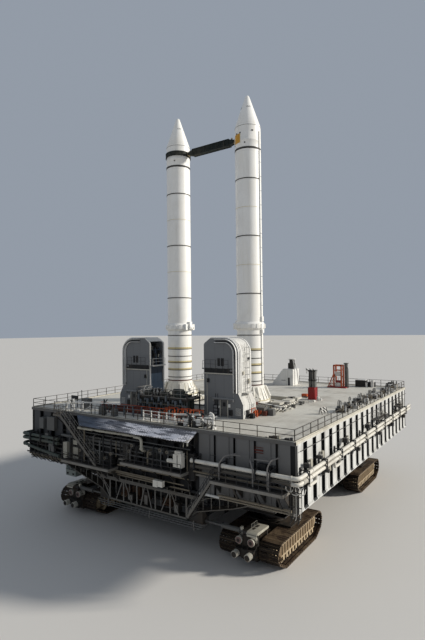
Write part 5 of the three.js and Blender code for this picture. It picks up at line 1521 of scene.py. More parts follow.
def flight(top, foot, y0, y1, treads, deep=0.26):
    (xa, za), (xb, zb) = top, foot
    steel, edges, rails = [], [], []
    for y in (y0 + 0.03, y1 - 0.03):
        edges += beam((xa, y, za - deep / 2), (xb, y, zb - deep / 2 + 0.16), 0.06, deep)
        along = [(xa + (xb - xa) * t, y, za + (zb - za) * t + 1.0) for t in (0.0, 0.97)]
        rails += tube([(along[0][0] - 0.02, y, za + 1.0), *along], 0.03, 6)
        rails += tube([(p[0], y, p[2] - 0.48) for p in along], 0.025, 6)
        for i in range(8):
            t = 0.01 + 0.135 * i
            x, z = xa + (xb - xa) * t, za + (zb - za) * t
            rails += tube([(x, y, z - 0.1), (x, y, z + 1.0)], 0.028, 6)
    for i in range(treads):
        t = (i + 0.5) / treads
        x, z = xa + (xb - xa) * t, za + (zb - za) * t
        steel += box(x - 0.14, x + 0.14, y0 + 0.06, y1 - 0.06, z - 0.04, z)
        steel += box(x + 0.12, x + 0.14, y0 + 0.06, y1 - 0.06, z - 0.1, z - 0.02)
    return steel, edges, rails


def stairLayers():
    steel, edges, rails = flight((-12.1, 15.65), (-5.3, 9.88), -26.1, -25.2, 27, 0.3)
    steel += box(-13.5, -12.1, -26.1, wallY, 15.5, 15.6)
    edges += box(-13.54, -12.1, -26.12, -26.04, 15.4, 15.66) + box(-13.56, -13.48, -26.1, wallY, 15.4, 15.66)
    steel += beam((-13.3, -26.0, 15.45), (-13.3, wallY - 0.05, 14.0), 0.1)
    steel += beam((-12.3, -26.0, 15.45), (-12.3, wallY - 0.05, 14.0), 0.1)
    return {"porchSteel": steel, "galleryEdge": edges, "railGrey": rails}


piece("porch_stair_dressed", stairLayers(), stands=["porch_stair"])
railing("stair_landing_rail", [[(-12.1, -26.06, 15.6), (-13.5, -26.06, 15.6), (-13.5, -24.5, 15.6)]],
        {"paint": "bracketSteel", "Spacing": 0.7})
bridgeSteel, bridgeEdges, bridgeRails = flight((11.85, 11.08), (8.9, 6.75), -26.24, -25.64, 17, 0.24)
piece("bridge_flight", {"porchSteel": bridgeSteel, "galleryEdge": bridgeEdges, "bracketSteel": bridgeRails})


def nearPipes():  # pipes and their knees on the near face, from left to right
    tan, cream, steel, dark, lagging, davits = [], [], [], [], [], []
    # Insulated pipe under the canopy's front edge, in lagged lengths, with a drop at its right end
    y, drop = -25.7, 1.95
    for x0, x1 in ((-9.0, -6.3), (-5.6, -1.4), (-1.1, 0.5)):
        lagging += tube([(x0, y, 14.3 + 0.01 * x0), (x1, y, 14.3 + 0.01 * x1)], 0.16, 10)
    lagging += tube([(-9.0, y, 14.24), (0.9, y, 14.3)], 0.11, 10)
    lagging += tube([(0.8, y, 14.2), (drop, y, 14.2), (drop, y, 12.8), (drop, -25.1, 12.6)], 0.17, 10, 0.5)
    lagging += tube([(drop, y, 13.1), (drop, y, 12.9)], 0.22, 10)
    # Double box with its stub, and the pipes that leave it to the right
    cream += box(6.8, 7.35, -25.95, -25.35, 11.7, 13.1) + box(7.42, 7.95, -25.95, -25.35, 11.7, 13.25)
    cream += box(6.95, 7.8, -25.85, -25.45, 13.1, 13.45)
    cream += tube([(5.8, -25.6, 12.2), (6.85, -25.6, 12.2)], 0.26, 12)
    steel += box(7.34, 7.43, -25.97, -25.4, 11.75, 13.0)
    tan += tube([(8.9, -25.0, 11.35), (halfX + 0.4, -25.0, 11.35)], 0.1, 8)
    # Davits over the bridge: post, knee, arm
    for x, low, knee, top, reach in ((12.67, 10.9, 12.9, 13.7, 0.55), (16.6, 10.9, 12.9, 13.65, -0.35),
                                     (18.2, 10.9, 13.3, 14.0, 0.3)):
        davits += tube([(x, -25.75, low), (x, -25.75, knee), (x + reach, -25.6, top),
                        (x + reach * 2.4, -24.5, top + 0.1)], 0.075, 8, 0.25)
        steel += box(x - 0.12, x + 0.12, -25.85, -25.62, low, low + 0.3)
    davits += tube([(13.6, -25.0, 13.75), (14.8, -25.0, 13.8)], 0.05, 6)
    davits += tube([(16.4, -25.0, 13.7), (18.0, -25.0, 13.75)], 0.06, 6)
    davits += tube([(18.4, -25.9, 10.9), (18.4, -25.9, 12.7), (18.3, -25.5, 13.0)], 0.045, 8, 0.2)
    dark += box(16.65, 17.6, -24.9, wallY, 12.5, 13.3) + box(17.5, 18.1, -24.85, wallY, 12.45, 13.1)
    # Curved outriggers under the bridge
    for x in (14.4, 16.9, 19.3):
        dark += tube([(x, wallY - 0.05, 8.9), (x, -25.2, 9.7), (x, -26.0, 10.85)], 0.11, 8, 0.9)
    tan += tube([(12.0, -24.9, 9.3), (20.3, -24.9, 9.3)], 0.12, 8)
    tan += tube([(12.0, -24.7, 8.95), (20.3, -24.7, 8.95)], 0.09, 8)
    return {"pipeTan": tan, "pipePaint": cream, "bracketSteel": steel, "darkPanel": dark, "boxCream": lagging,
            "davitGrey": davits}


piece("near_face_pipes", nearPipes())
marker = [p for z, high in ((14.2, 0.07), (14.42, 0.16), (14.75, 0.05))
          for p in box(16.1, 17.1, wallY - 0.03, wallY, z, z + high)]
piece("red_marker", {"wallRed": marker})


def porchEquipment():  # what stands and hangs between the canopy and the floors
    dark, steel, cream, grey, tan = [], [], [], [], []
    # Cabinets against the wall: x, width, foot, height, depth
    rows = ((-11.0, 1.0, lowFloor, 1.9, 0.5), (-9.4, 1.4, lowFloor, 2.2, 0.6), (-7.4, 0.9, lowFloor, 2.6, 0.5),
            (-6.0, 1.2, lowFloor, 1.5, 0.7), (-4.2, 1.3, lowFloor, 2.3, 0.5), (-1.2, 1.1, highFloor, 1.9, 0.6),
            (0.4, 0.9, highFloor, 2.1, 0.5), (3.1, 1.3, highFloor, 1.6, 0.7), (4.9, 0.8, highFloor, 2.2, 0.5),
            (8.4, 0.9, 10.2, 2.9, 0.5))
    for i, (x, width, foot, height, depth) in enumerate(rows):
        where = (dark, steel, dark, grey)[i % 4]
        where += box(x - width / 2, x + width / 2, wallY - depth, wallY, foot, foot + height)
        dark += box(x - width / 2 + 0.08, x - 0.02, wallY - depth - 0.03, wallY, foot + 0.1,
                    foot + height - 0.1)
        dark += box(x + 0.02, x + width / 2 - 0.08, wallY - depth - 0.03, wallY, foot + 0.1,
                    foot + height - 0.1)
        steel += box(x - 0.05, x + 0.05, wallY - depth - 0.06, wallY, foot + height * 0.45, foot + height * 0.6)
    # Upright pipes and their elbows
    for i in range(22):
        x = -10.9 + 0.9 * i + rng.uniform(-0.2, 0.2)
        foot = 9.95 if x < -3 else 11.2
        top = rng.uniform(12.6, 14.4)
        y = wallY - rng.uniform(0.5, 1.3)
        r = rng.choice((0.05, 0.07, 0.1))
        where = (grey, dark, steel, tan, dark, grey)[i % 6]
        where += tube([(x, y, foot), (x, y, top), (x + rng.uniform(-0.6, 0.6), wallY - 0.05, top + 0.1)], r, 8,
                      0.3)
    for z, y, r, x0, x1 in ((12.2, -24.9, 0.1, -10.5, 1.5), (13.0, -24.75, 0.14, -9.5, 6.5),
                            (11.6, -25.2, 0.07, -9, -1), (13.6, -25.1, 0.06, -8.5, 8.5),
                            (12.6, -24.69, 0.2, -13.5, 9.0), (11.9, -25.4, 0.08, 0, 6.6)):
        grey += tube([(x0, y, z), (x1, y, z)], r, 8)
    # Valves with hand wheels and small gauges
    for i in range(12):
        x = rng.uniform(-10.0, 6.5)
        z = rng.uniform(10.8, 13.2) if x < -3 else rng.uniform(11.9, 13.6)
        y = -25.2 - rng.uniform(0.0, 0.4)
        grey += boxAt(x, y, z - 0.15, 0.3, 0.3, 0.3)
        wheel = hoop(0.13, 0.18, -0.02, 0.02, 14)
        tan += placed(wheel, quarterTurn(x, y - 0.3, z, "X"))
        grey += tube([(x, y, z), (x, y - 0.3, z)], 0.03, 6)
    # Lower pipes below the porch floors, down to the hull's lower edge
    for z, y, r, x0, x1 in ((9.3, -24.8, 0.13, -20.4, 3.4), (8.95, -24.6, 0.09, -20.4, 8.0),
                            (10.3, -25.0, 0.08, -2.6, 8.2), (9.6, -25.1, 0.07, -3.0, 7.6)):
        tan += tube([(x0, y, z), (x1, y, z)], r, 8)
    for i in range(14):
        x = -19.5 + 2.1 * i
        steel += box(x - 0.05, x + 0.05, -25.2, wallY, 8.8, 8.88)
        steel += box(x - 0.06, x + 0.06, wallY - 0.12, wallY, 8.74, 10.2)
    # Cream boxes below the porch
    cream += box(3.95, 4.55, -26.05, -25.6, 9.1, 9.85) + box(4.62, 5.3, -26.05, -25.6, 9.2, 9.85)
    steel += box(3.9, 5.4, -26.0, wallY, 9.0, 9.1)
    return {"darkPanel": dark, "bracketSteel": steel, "pipePaint": cream, "greyPaint": grey, "pipeTan": tan}


piece("porch_equipment", porchEquipment())


def leftRacks():  # cable trays, pale boxes and hoses at the near left corner
    dark, steel, pale, grey = [], [], [], []
    for z, deep in ((10.2, 0.7), (10.75, 0.5), (11.4, 0.7), (11.95, 0.4), (9.6, 0.8)):
        steel += box(-20.5, -12.8, wallY - deep, wallY, z - 0.05, z)
        steel += box(-20.5, -12.8, wallY - deep - 0.04, wallY - deep, z - 0.05, z + 0.12)
        for k in range(3):
            dark += tube([(-20.5, wallY - 0.15 - 0.14 * k, z + 0.05),
                          (-12.9, wallY - 0.15 - 0.14 * k, z + 0.05)], 0.05, 6)
    for x in (-20.2, -18.4, -16.6, -14.8, -13.0):
        steel += box(x - 0.06, x + 0.06, wallY - 0.62, wallY, 9.3, 12.2)
    pale += box(-12.1, -11.35, -25.6, -25.2, 10.5, 12.0) + box(-12.05, -11.4, -25.6, -25.2, 9.95, 10.35)
    pale += box(-10.9, -9.8, -25.1, -24.7, 10.5, 11.4) + box(-10.9, -9.75, -25.1, -24.7, 9.9, 10.2)
    pale += box(-11.0, -10.0, -25.0, -24.6, 11.7, 12.3)
    grey += box(-16.4, -15.7, wallY - 0.9, wallY - 0.5, 11.5, 12.6)
    grey += box(-15.6, -14.5, wallY - 0.9, wallY - 0.5, 9.7, 11.3)
    grey += box(-17.9, -17.0, wallY - 0.7, wallY, 13.1, 14.6)
    grey += box(-16.5, -14.9, wallY - 0.5, wallY, 13.0, 14.8)
    for i in range(7):
        x = -19.9 + 0.9 * i
        dark += tube([(x, wallY - 0.5, 12.4), (x + 0.1, wallY - 0.9, 11.0), (x + 0.5, wallY - 0.9, 9.4),
                      (x + 1.2, wallY - 0.4, 8.7)], 0.06, 6, 0.8)
    return {"darkPanel": dark, "bracketSteel": steel, "boxCream": pale, "greyPaint": grey}


piece("cable_rack_dressed", leftRacks(), stands=["cable_rack"])
print("porch done")


# Crawler: chassis, end galleries, driver's cabs and steering cylinders, about its own middle
armY, armZ = truckY + 6.2, 4.78
chassis = {"halfX": 7.9, "wing": 16.3, "halfY": 16.1, "low": 4.2, "wingLow": 5.6, "top": 7.9}


def atCrawler(layers, turn=0.0):
    return allMoved(layers, 0, crawlerY, 0, turn)


def chassisLayers():
    body, steel, pale, dark = [], [], [], []
    x, w, y, low, wingLow, top = chassis.values()
    # Box girders: two along, four across, closed by thinner plates between
    for s in (-1, 1):
        body += box(s * (x - 2.0), s * x, -y, y, low, top) + box(-w, w, s * (y - 2.2), s * y, wingLow, top)
        body += box(-w, w, s * 9.6, s * 11.0, wingLow, top) + box(s * (w - 1.2), s * w, -y, y, wingLow, top)
        body += box(-x, x, s * (y - 2.2), s * y, low, wingLow + 0.1)
        for z in (wingLow, top):
            steel += box(s * (w - 1.3), s * (w + 0.08), -y - 0.08, y + 0.08, z - 0.12, z)
            steel += box(-w, w, s * (y - 2.3), s * (y + 0.1), z - 0.12, z)
        steel += box(-x - 0.05, x + 0.05, s * (y - 2.3), s * (y + 0.1), low - 0.12, low)
        steel += box(s * (x - 2.05), s * (x + 0.1), -y, y, low - 0.12, low)
    body += box(-x + 2, x - 2, -y + 2, y - 2, low + 0.5, top - 0.3)
    body += box(-w + 1, w - 1, -y + 2, y - 2, wingLow + 0.6, top - 0.3)
    # Stiffeners on the outer faces, louvres, doors and pipes
    for s in (-1, 1):
        for i in range(21):
            a = -15.0 + 1.5 * i
            steel += box(s * (w - 0.02), s * (w + 0.07), a - 0.03, a + 0.03, wingLow, top)
            steel += box(s * (x - 0.02), s * (x + 0.07), a - 0.03, a + 0.03, low, wingLow)
            foot = low if abs(a) < x else wingLow
            steel += box(a - 0.03, a + 0.03, s * (y - 0.02), s * (y + 0.07), foot, top)
        for i in range(8):
            a = -13.0 + 3.75 * i
            for k in range(7):
                z = 6.1 + 0.2 * k
                dark += box(s * (w - 0.02), s * (w + 0.05), a - 0.6, a + 0.6, z, z + 0.12)
            pale += box(s * (w - 0.02), s * (w + 0.06), a + 1.0, a + 1.7, 5.75, 7.5)
            dark += box(s * (w - 0.02), s * (w + 0.08), a + 1.6, a + 1.66, 6.5, 6.75)
        for a in (-6.2, -4.3, -1.2, 0.9, 3.6, 5.8):
            dark += box(a - 0.7, a + 0.7, s * (y - 0.02), s * (y + 0.12), 4.7, 6.6)
            pale += box(a - 0.25, a + 0.25, s * (y - 0.02), s * (y + 0.3), 5.0, 5.9)
        for z, r in ((5.2, 0.1), (6.9, 0.08), (7.15, 0.06), (4.45, 0.12)):
            reach = w - 0.2 if z > wingLow else x - 0.3
            steel += tube([(-reach, s * (y + 0.25), z), (reach, s * (y + 0.25), z)], r, 8)
    for sx, sy in corners.values():
        cx, cy = sx * truckX, sy * truckY
        body += lathe([(0, 4.53), (1.02, 4.53), (1.1, 4.61), (1.1, 5.7), (0, 5.7)], 32, (cx, cy, 0))
        steel += hoop(1.08, 1.24, 4.8, 4.9, 32, (cx, cy, 0)) + hoop(1.08, 1.24, 5.45, 5.55, 32, (cx, cy, 0))
        for k in range(8):
            a = math.radians(45 * k + 22)
            steel += beam((cx + 1.12 * math.cos(a), cy + 1.12 * math.sin(a), 4.9),
                          (cx + 1.16 * math.cos(a), cy + 1.16 * math.sin(a), 5.45), 0.06, 0.16)
        body += box(sx * 12.5, sx * 14.9, sy * 12.5, sy * 14.9, 7.89, 8.72)
        steel += box(sx * 12.4, sx * 15.0, sy * 12.4, sy * 15.0, 7.9, 8.0)
        # Bracket of the steering cylinder's rod, the rod and its hoses
        bracket = [(16.0, 4.4), (20.2, 4.4), (20.2, 5.0), (19.2, 5.2), (17.2, 5.2), (16.0, 5.9)]
        pale += prism([(sy * a, b) for a, b in bracket], "x", sx * 7.0, sx * 8.28)
        steel += box(sx * 8.2, sx * 8.3, sy * 19.4, sy * 20.2, 4.4, 5.19)
        at = [(sx * a, sy * armY, armZ) for a in (7.4, 8.2, 8.35, 8.42, 8.42, 11.7)]
        pale += tube(at, [0.2, 0.2, 0.2, 0.18, 0.13, 0.13], 20)
        steel += tube([(sx * 7.4, sy * 16.2, 5.6), (sx * 7.7, sy * 18.0, 5.4), (sx * 8.1, sy * 19.4, 5.2)],
                      0.05, 6, 0.4)
    return atCrawler({"chassisSteel": body, "bracketSteel": steel, "greyPaint": pale, "darkPanel": dark})


piece("chassis_dressed", chassisLayers(), stands=["crawler_chassis"])

gallery = {"back": 16.15, "low": 19.7, "front": 20.95, "upper": 7.55, "lower": 5.0, "end": 8.1}
rampLine = [(6.2, 5.0), (7.75, 6.15), (12.6, 7.45), (14.4, 8.1), (17.6, 8.1)]
rampRail = [(6.3, 6.1), (7.75, 7.45), (9.1, 8.17), (10.2, 8.4), (14.4, 8.58), (17.55, 8.64)]


def heightAt(line, x):
    for (xa, za), (xb, zb) in zip(line, line[1:]):
        if xa <= x <= xb:
            return za + (zb - za) * (x - xa) / (xb - xa)
    return line[0][1] if x < line[0][0] else line[-1][1]


def galleryLayers():
    back, low, front, upper, lower, end = gallery.values()
    floor, edge, posts, pipes, boxes = [], [], [], [], []
    out = front - 0.08
    floor += box(-8.0, 8.0, back, front - 0.06, upper - 0.06, upper)
    edge += box(-8.0, 8.0, front - 0.06, front, upper - 0.22, upper + 0.06)
    floor += box(-6.3, 6.3, low, front - 0.06, lower - 0.06, lower)
    edge += box(-6.3, 6.3, front - 0.05, front, lower - 0.16, lower + 0.04)
    for i in range(11):
        x = -7.6 + 1.52 * i
        floor += box(x - 0.05, x + 0.05, back, front - 0.06, upper - 0.24, upper - 0.05)
        if abs(x) < 6.3:
            floor += box(x - 0.04, x + 0.04, low, front - 0.06, lower - 0.2, lower - 0.05)
    for s in (-1, 1):
        floor += box(s * 13.9, s * 17.6, back, front - 0.06, end - 0.1, end)
        line = [(s * x, z) for x, z in rampLine]
        under = [(x, z - 0.16) for x, z in line[::-1]]
        edge += prism(line + under, "y", front - 0.1, front) + prism(line + under, "y", low, low + 0.08)
        thin = [(x, z - 0.06) for x, z in line[::-1]]
        floor += prism(line + thin, "y", low, front)
        edge += box(s * 17.5, s * 17.62, back, front, end - 0.2, end + 0.06)
        rail = [(s * x, out, z) for x, z in rampRail]
        for drop in (0.0, 0.4):
            for a, b in zip(rail, rail[1:]):
                posts += tube([(a[0], a[1], a[2] - drop), (b[0], b[1], b[2] - drop)], 0.035, 6)
        for i in range(11):
            x = 6.35 + 1.11 * i
            posts += tube([(s * x, out, heightAt(rampLine, x)), (s * x, out, heightAt(rampRail, x))], 0.035, 6)
        posts += tube([(s * 17.55, out, 8.64), (s * 17.55, back, 8.64)], 0.035, 6)
        for i in range(5):
            y = back + 1.15 * i
            posts += tube([(s * 17.55, y, end), (s * 17.55, y, 8.64)], 0.03, 6)
        # Hangers and braces between the two floors
        for a, b in ((6.2, 7.6), (5.1, 4.0), (2.4, 3.6), (0.9, 0.2)):
            posts += beam((s * a, out, lower), (s * b, out, upper - 0.1), 0.1, 0.1)
        for x in (1.5, 3.8, 6.2):
            posts += beam((s * x, out, lower - 0.1), (s * x, out, upper - 0.1), 0.12, 0.12)
            posts += beam((s * x, low + 0.1, lower - 0.1), (s * x, low + 0.1, upper - 0.1), 0.1, 0.1)
        # Plate below the ramp's foot and a lamp on the end floor
        boxes += prism([(s * 6.3, 4.85), (s * 7.9, 5.95), (s * 8.3, 6.0), (s * 8.3, 4.6), (s * 6.6, 4.6)], "y",
                       low + 0.2, front - 0.3)
        pipes += boxAt(s * 16.2, front - 0.5, end, 0.5, 0.4, 0.35)
    for z, reach, r in ((4.2, 8.5, 0.06), (3.9, 8.2, 0.05), (4.45, 8.7, 0.05)):
        pipes += tube([(-reach, low + 0.1, z + 0.25), (-reach, out, z + 0.2), (reach, out, z),
                       (reach, low + 0.1, z + 0.05)], r, 8, 0.7)
    for x in (-7.2, -0.5, 6.6):
        posts += box(x - 0.04, x + 0.04, out - 0.1, out + 0.02, 3.8, lower - 0.1)
    # Equipment on the two floors, and machinery hung behind the lower one
    for x, y, z, w, d, h in ((-4.4, 20.2, 5.0, 0.7, 0.6, 1.3), (0.4, 20.2, 5.0, 0.6, 0.5, 1.6),
                             (3.1, 20.1, 5.0, 0.9, 0.6, 0.9), (-6.3, 18.9, 7.55, 1.2, 1.0, 0.9),
                             (-3.2, 18.3, 7.55, 1.6, 1.2, 1.1), (0.8, 19.1, 7.55, 1.3, 1.0, 0.9),
                             (4.4, 18.5, 7.55, 1.8, 1.4, 1.1), (6.9, 19.3, 7.55, 0.7, 0.7, 1.0)):
        boxes += boxAt(x, y, z, w, d, h)
        posts += boxAt(x, y + d / 2, z + 0.1, w * 0.8, 0.06, h * 0.7)
    for i in range(9):
        x = -7.0 + 1.7 * i
        boxes += tube([(x, 19.5, 5.05), (x, 19.5, 7.2), (x + 0.4, 16.9, 7.2)], 0.06, 8, 0.3)
    return {"gallerySteel": floor + boxes, "galleryEdge": edge, "railGrey": posts, "greyPaint": pipes}


def underGallery():  # rusty machinery and blue-green pipes seen between the near gallery's floors
    rusty, teal = [], []
    for x, z, w, h in ((-4.7, 5.05, 1.5, 1.1), (-3.0, 5.05, 1.2, 1.5), (-1.5, 5.05, 0.8, 0.9),
                       (2.2, 5.05, 1.2, 1.0)):
        rusty += boxAt(x, -19.0, z, w, 0.9, h)
        rusty += tube([(x - w / 2, -19.6, z + 0.3), (x + w / 2, -19.6, z + 0.3)], 0.16, 12)
        for k in range(4):
            rusty += box(x - w / 2 + 0.3 * k, x - w / 2 + 0.3 * k + 0.08, -19.55, -19.4, z, z + h)
    for k, z in enumerate((4.7, 4.45, 4.2)):
        teal += tube([(-5.6, -20.2 + 0.2 * k, z + 0.1), (5.8, -20.2 + 0.2 * k, z)], 0.09, 8)
    teal += boxAt(-3.6, -19.9, 4.1, 1.2, 0.6, 0.5)
    return atCrawler({"rustBrown": rusty, "machineTeal": teal})


for end, turn in (("near", 180), ("far", 0)):
    piece("gallery_dressed_" + end, atCrawler(galleryLayers(), turn),
          stands=["crawler_gallery_" + end])
    line = [(s * 7.95, y, gallery["upper"]) for s, y in ((-1, 16.5), (-1, 20.88), (1, 20.88), (1, 16.5))]
    turned = Matrix.Translation((0, crawlerY, 0)) @ Matrix.Rotation(math.radians(turn), 4, "Z")
    railing("gallery_rail_" + end, [[tuple(turned @ Vector(p)) for p in line]],
            {"paint": "railGrey", "Spacing": 1.1})
piece("gallery_machinery", underGallery())

cab = {"x0": 14.6, "x1": 16.7, "y0": 17.25, "y1": 19.55, "z0": 5.85, "z1": 7.89, "sill": 6.7, "head": 7.55}
cabDoor = {"y0": 17.67, "y1": 18.53, "z0": 6.02, "z1": 7.68}


def cabLayers():
    x0, x1, y0, y1, z0, z1, sill, head = cab.values()
    w, middleX, middleY = 0.08, (x0 + x1) / 2, (y0 + y1) / 2
    shell, trim, glass, inside = [], [], [], []
    shell += box(x0, x1, y0, y1, z0, z0 + w) + box(x0, x1, y0, y1, z1 - w, z1)
    for y, s in ((y0, 1), (y1, -1)):
        ya, yb = y, y + s * w
        shell += box(x0, x1, ya, yb, z0 + w, sill) + box(x0, x1, ya, yb, head, z1 - w)
        for a, b in ((x0, x0 + 0.25), (middleX - 0.05, middleX + 0.05), (x1 - 0.25, x1)):
            shell += box(a, b, ya, yb, sill, head)
        glass += box(x0 + 0.2, x1 - 0.2, y + s * 0.03, y + s * 0.05, sill - 0.05, head + 0.05)
        for z in (sill, head - 0.05):
            trim += box(x0 - 0.02, x1 + 0.02, y - s * 0.03, y + s * 0.01, z, z + 0.05)
    shell += box(x1 - w, x1, y0 + w, y1 - w, z0 + w, sill) + box(x1 - w, x1, y0 + w, y1 - w, head, z1 - w)
    for a, b in ((y0 + w, y0 + 0.3), (middleY - 0.05, middleY + 0.05), (y1 - 0.3, y1 - w)):
        shell += box(x1 - w, x1, a, b, sill, head)
    glass += box(x1 - 0.05, x1 - 0.03, y0 + 0.2, y1 - 0.2, sill - 0.05, head + 0.05)
    for ya, yb, za, zb in ((y0 + w, 17.65, z0 + w, z1 - w), (18.55, y1 - w, z0 + w, z1 - w),
                           (17.65, 18.55, z0 + w, 6.0), (17.65, 18.55, 7.7, z1 - w)):
        shell += box(x0, x0 + w, ya, yb, za, zb)
    trim += box(x0 + 0.6, x0 + 1.3, y0 + 0.6, y1 - 0.6, z1 - 0.01, z1 + 0.04)
    for z in (sill, head - 0.05):
        trim += box(x1 - 0.01, x1 + 0.03, y0, y1, z, z + 0.05)
    trim += box(x0 + 0.3, x0 + 0.6, y1, y1 + 0.12, 6.1, 6.3) + box(x1 - 0.6, x1 - 0.3, y1, y1 + 0.12, 6.1, 6.3)
    inside += boxAt(15.8, 18.05, z0 + w, 0.55, 0.55, 0.5) + box(15.55, 16.05, 17.7, 17.8, z0 + 0.5, z0 + 1.3)
    inside += prism([(18.8, z0 + w), (19.4, z0 + w), (19.4, 6.65), (19.05, 6.75), (18.8, 6.6)], "x", 14.9, 16.5)
    return {"cabPaintAndShade": shell, "darkPanel": trim + inside, "cabGlass": glass}


def cabDoorLayers():
    x0, x1 = cab["x0"] + 0.01, cab["x0"] + 0.08
    y0, y1, z0, z1 = cabDoor.values()
    leaf = box(x0, x1, y0, y1, z0, 6.75) + box(x0, x1, y0, y1, 7.5, z1)
    leaf += box(x0, x1, y0, y0 + 0.18, 6.75, 7.5) + box(x0, x1, y1 - 0.18, y1, 6.75, 7.5)
    trim = tube([(x0 - 0.06, y1 - 0.13, 6.6), (x0 - 0.06, y1 - 0.13, 7.0)], 0.02, 8)
    trim += box(x0 - 0.06, x0, y1 - 0.15, y1 - 0.11, 6.6, 6.64)
    trim += box(x0 - 0.06, x0, y1 - 0.15, y1 - 0.11, 6.96, 7.0)
    for z in (6.2, 7.4):
        trim += box(x0 - 0.015, x1, y0, y0 + 0.12, z, z + 0.1)
    glass = box(x0 + 0.03, x0 + 0.045, y0 + 0.16, y1 - 0.16, 6.73, 7.52)
    return {"greyPaint": leaf, "darkPanel": trim, "cabGlass": glass}


for cabName, turn in (("near_left", 180), ("far_right", 0)):
    piece("cab_dressed_" + cabName, atCrawler(cabLayers(), turn), stands=["cab_" + cabName],
          bevel=0.01)
    piece("cab_door_dressed_" + cabName, atCrawler(cabDoorLayers(), turn), body="cab_door_" + cabName,
          stands=["cab_door_" + cabName])


def cylinderParts():  # barrel along +Z from its mouth; its far end is the neck that carries the eye
    parts = lathe([(0.15, 0), (0.3, 0), (0.3, 0.14), (0.255, 0.17), (0.255, 2.18), (0.3, 2.2), (0.3, 2.34),
                   (0.14, 2.36), (0.14, 2.9), (0, 2.9), (0, 1.95), (0.15, 1.95), (0.15, 0)], 24)
    for k in range(6):
        a = math.radians(60 * k)
        parts += tube([(0.225 * math.cos(a), 0.225 * math.sin(a), -0.04),
                       (0.225 * math.cos(a), 0.225 * math.sin(a), 0.02)], 0.035, 6)
    return parts + tube([(0, 0.24, 0.3), (0, 0.33, 0.35), (0, 0.33, 1.9), (0, 0.24, 1.95)], 0.03, 6)


for name, (sx, sy) in corners.items():  # the barrel slides on its rod and its eye lies in the truck's fork
    turn = Matrix.Rotation(math.radians(90 * sx), 4, "Y")
    barrel = placed(cylinderParts(), Matrix.Translation((sx * 10.5, sy * armY, armZ)) @ turn)
    eye = boxAt(sx * truckX, sy * armY, armZ - 0.16, 0.8, 0.56, 0.32)
    eye += lathe([(0, -0.17), (0.16, -0.17), (0.16, 0.17), (0, 0.17)], 16, (sx * truckX, sy * armY, armZ))
    piece("steering_cylinder_dressed_" + name, atCrawler({"greyPaint": barrel, "bracketSteel": eye}),
          body="cylinder_" + name, stands=["steering_cylinder_" + name])
print("crawler done")


# Trucks and tracks: built about a truck's own middle, with +Y to the crawler's end, then placed at the corners
truck = {"offset": 2.505, "width": 2.29, "shoes": 57}
wheels = {"end": (5.0, 1.8, 1.25), "low": (4.05, 0.6, 0.6), "thick": 0.26, "gap": 0.09}


def beltLine(inset):
    points = []
    for y, z, radius in (wheels["end"], wheels["low"]):
        for s in (-1, 1):
            points += [(s * y + (radius - inset) * math.cos(math.radians(a)),
                        z + (radius - inset) * math.sin(math.radians(a))) for a in range(0, 360, 8)]
    return [points[i] for i in convex_hull_2d([Vector(p) for p in points])]


def cornerPlace(corner):
    cx, cy = corners[corner]
    turn = Matrix.Rotation(math.pi if cy < 0 else 0, 4, "Z")
    return Matrix.Translation((cx * truckX, crawlerY + cy * truckY, ground)) @ turn


def shoeParts():  # +Z is the belt's inside, +Y along its travel
    half, pitch = truck["width"] / 2, 0.49
    pads = box(-half, half, -0.215, 0.215, -0.13, -0.05)
    pads += box(-half, half, -0.16, -0.03, -0.05, 0.03) + box(-half, half, 0.08, 0.2, -0.05, 0.03)
    for x in (-1.0, -0.62, 0.62, 1.0):
        pads += box(x - 0.09, x + 0.09, -pitch / 2, pitch / 2, -0.06, 0.09)
    for x in (-0.3, 0.3):
        pads += prism([(x - 0.11, -0.02), (x + 0.11, -0.02), (x + 0.06, 0.125), (x - 0.06, 0.125)], "y", -0.14,
                      0.14)
    return pads


def lugParts():  # pale worn ends of the pins, and a bar across the tread
    half = truck["width"] / 2
    pads = box(-half, half, -0.05, 0.03, -0.13, -0.115)
    for s in (-1, 1):
        pads += tube([(s * (half - 0.12), 0, 0.02), (s * (half + 0.012), 0, 0.02)], 0.07, 8)
        pads += box(s * (half - 0.1), s * (half + 0.01), -0.17, 0.12, -0.1, -0.02)
    return pads


def truckFrame():
    steel, dark = [], []
    steel += box(-1.2, 1.2, -4.7, 6.28, 0.95, 2.66) + box(-1.25, 1.25, -1.5, 1.5, 2.6, 3.25)
    steel += box(-2.9, 2.9, -1.4, 1.4, 3.08, 3.25)
    for z in (0.9, 2.62):
        steel += box(-1.25, 1.25, -4.7, 6.3, z, z + 0.08)
    for i in range(12):
        y = -4.5 + 0.95 * i
        for s in (-1, 1):
            steel += box(s * 1.16, s * 1.25, y - 0.04, y + 0.04, 0.95, 2.66)
    for y in (-2.9, -0.3, 2.3):
        steel += box(-truck["offset"], truck["offset"], y, y + 0.6, 1.25, 1.95)
    steel += lathe([(0, 3.15), (1.3, 3.15), (1.3, 3.3), (1.22, 3.34), (1.3, 3.38), (1.3, 3.46), (0, 3.46)], 40)
    for i in range(7):
        x = -2.6 + 0.86 * i
        dark += box(x - 0.03, x + 0.03, -1.41, 1.41, 3.06, 3.26)
    # Fork that holds the steering cylinder's eye
    steel += box(-0.42, 0.42, 5.2, 6.58, 2.4, 3.55) + box(-0.42, 0.42, 5.2, 5.8, 3.53, 4.01)
    steel += box(-0.42, 0.42, 5.7, 6.58, 3.91, 4.01)
    for s in (-1, 1):
        steel += prism([(4.6, 2.6), (5.3, 2.6), (5.3, 3.85), (5.1, 3.85)], "x", s * 0.3, s * 0.4)
    return steel, dark


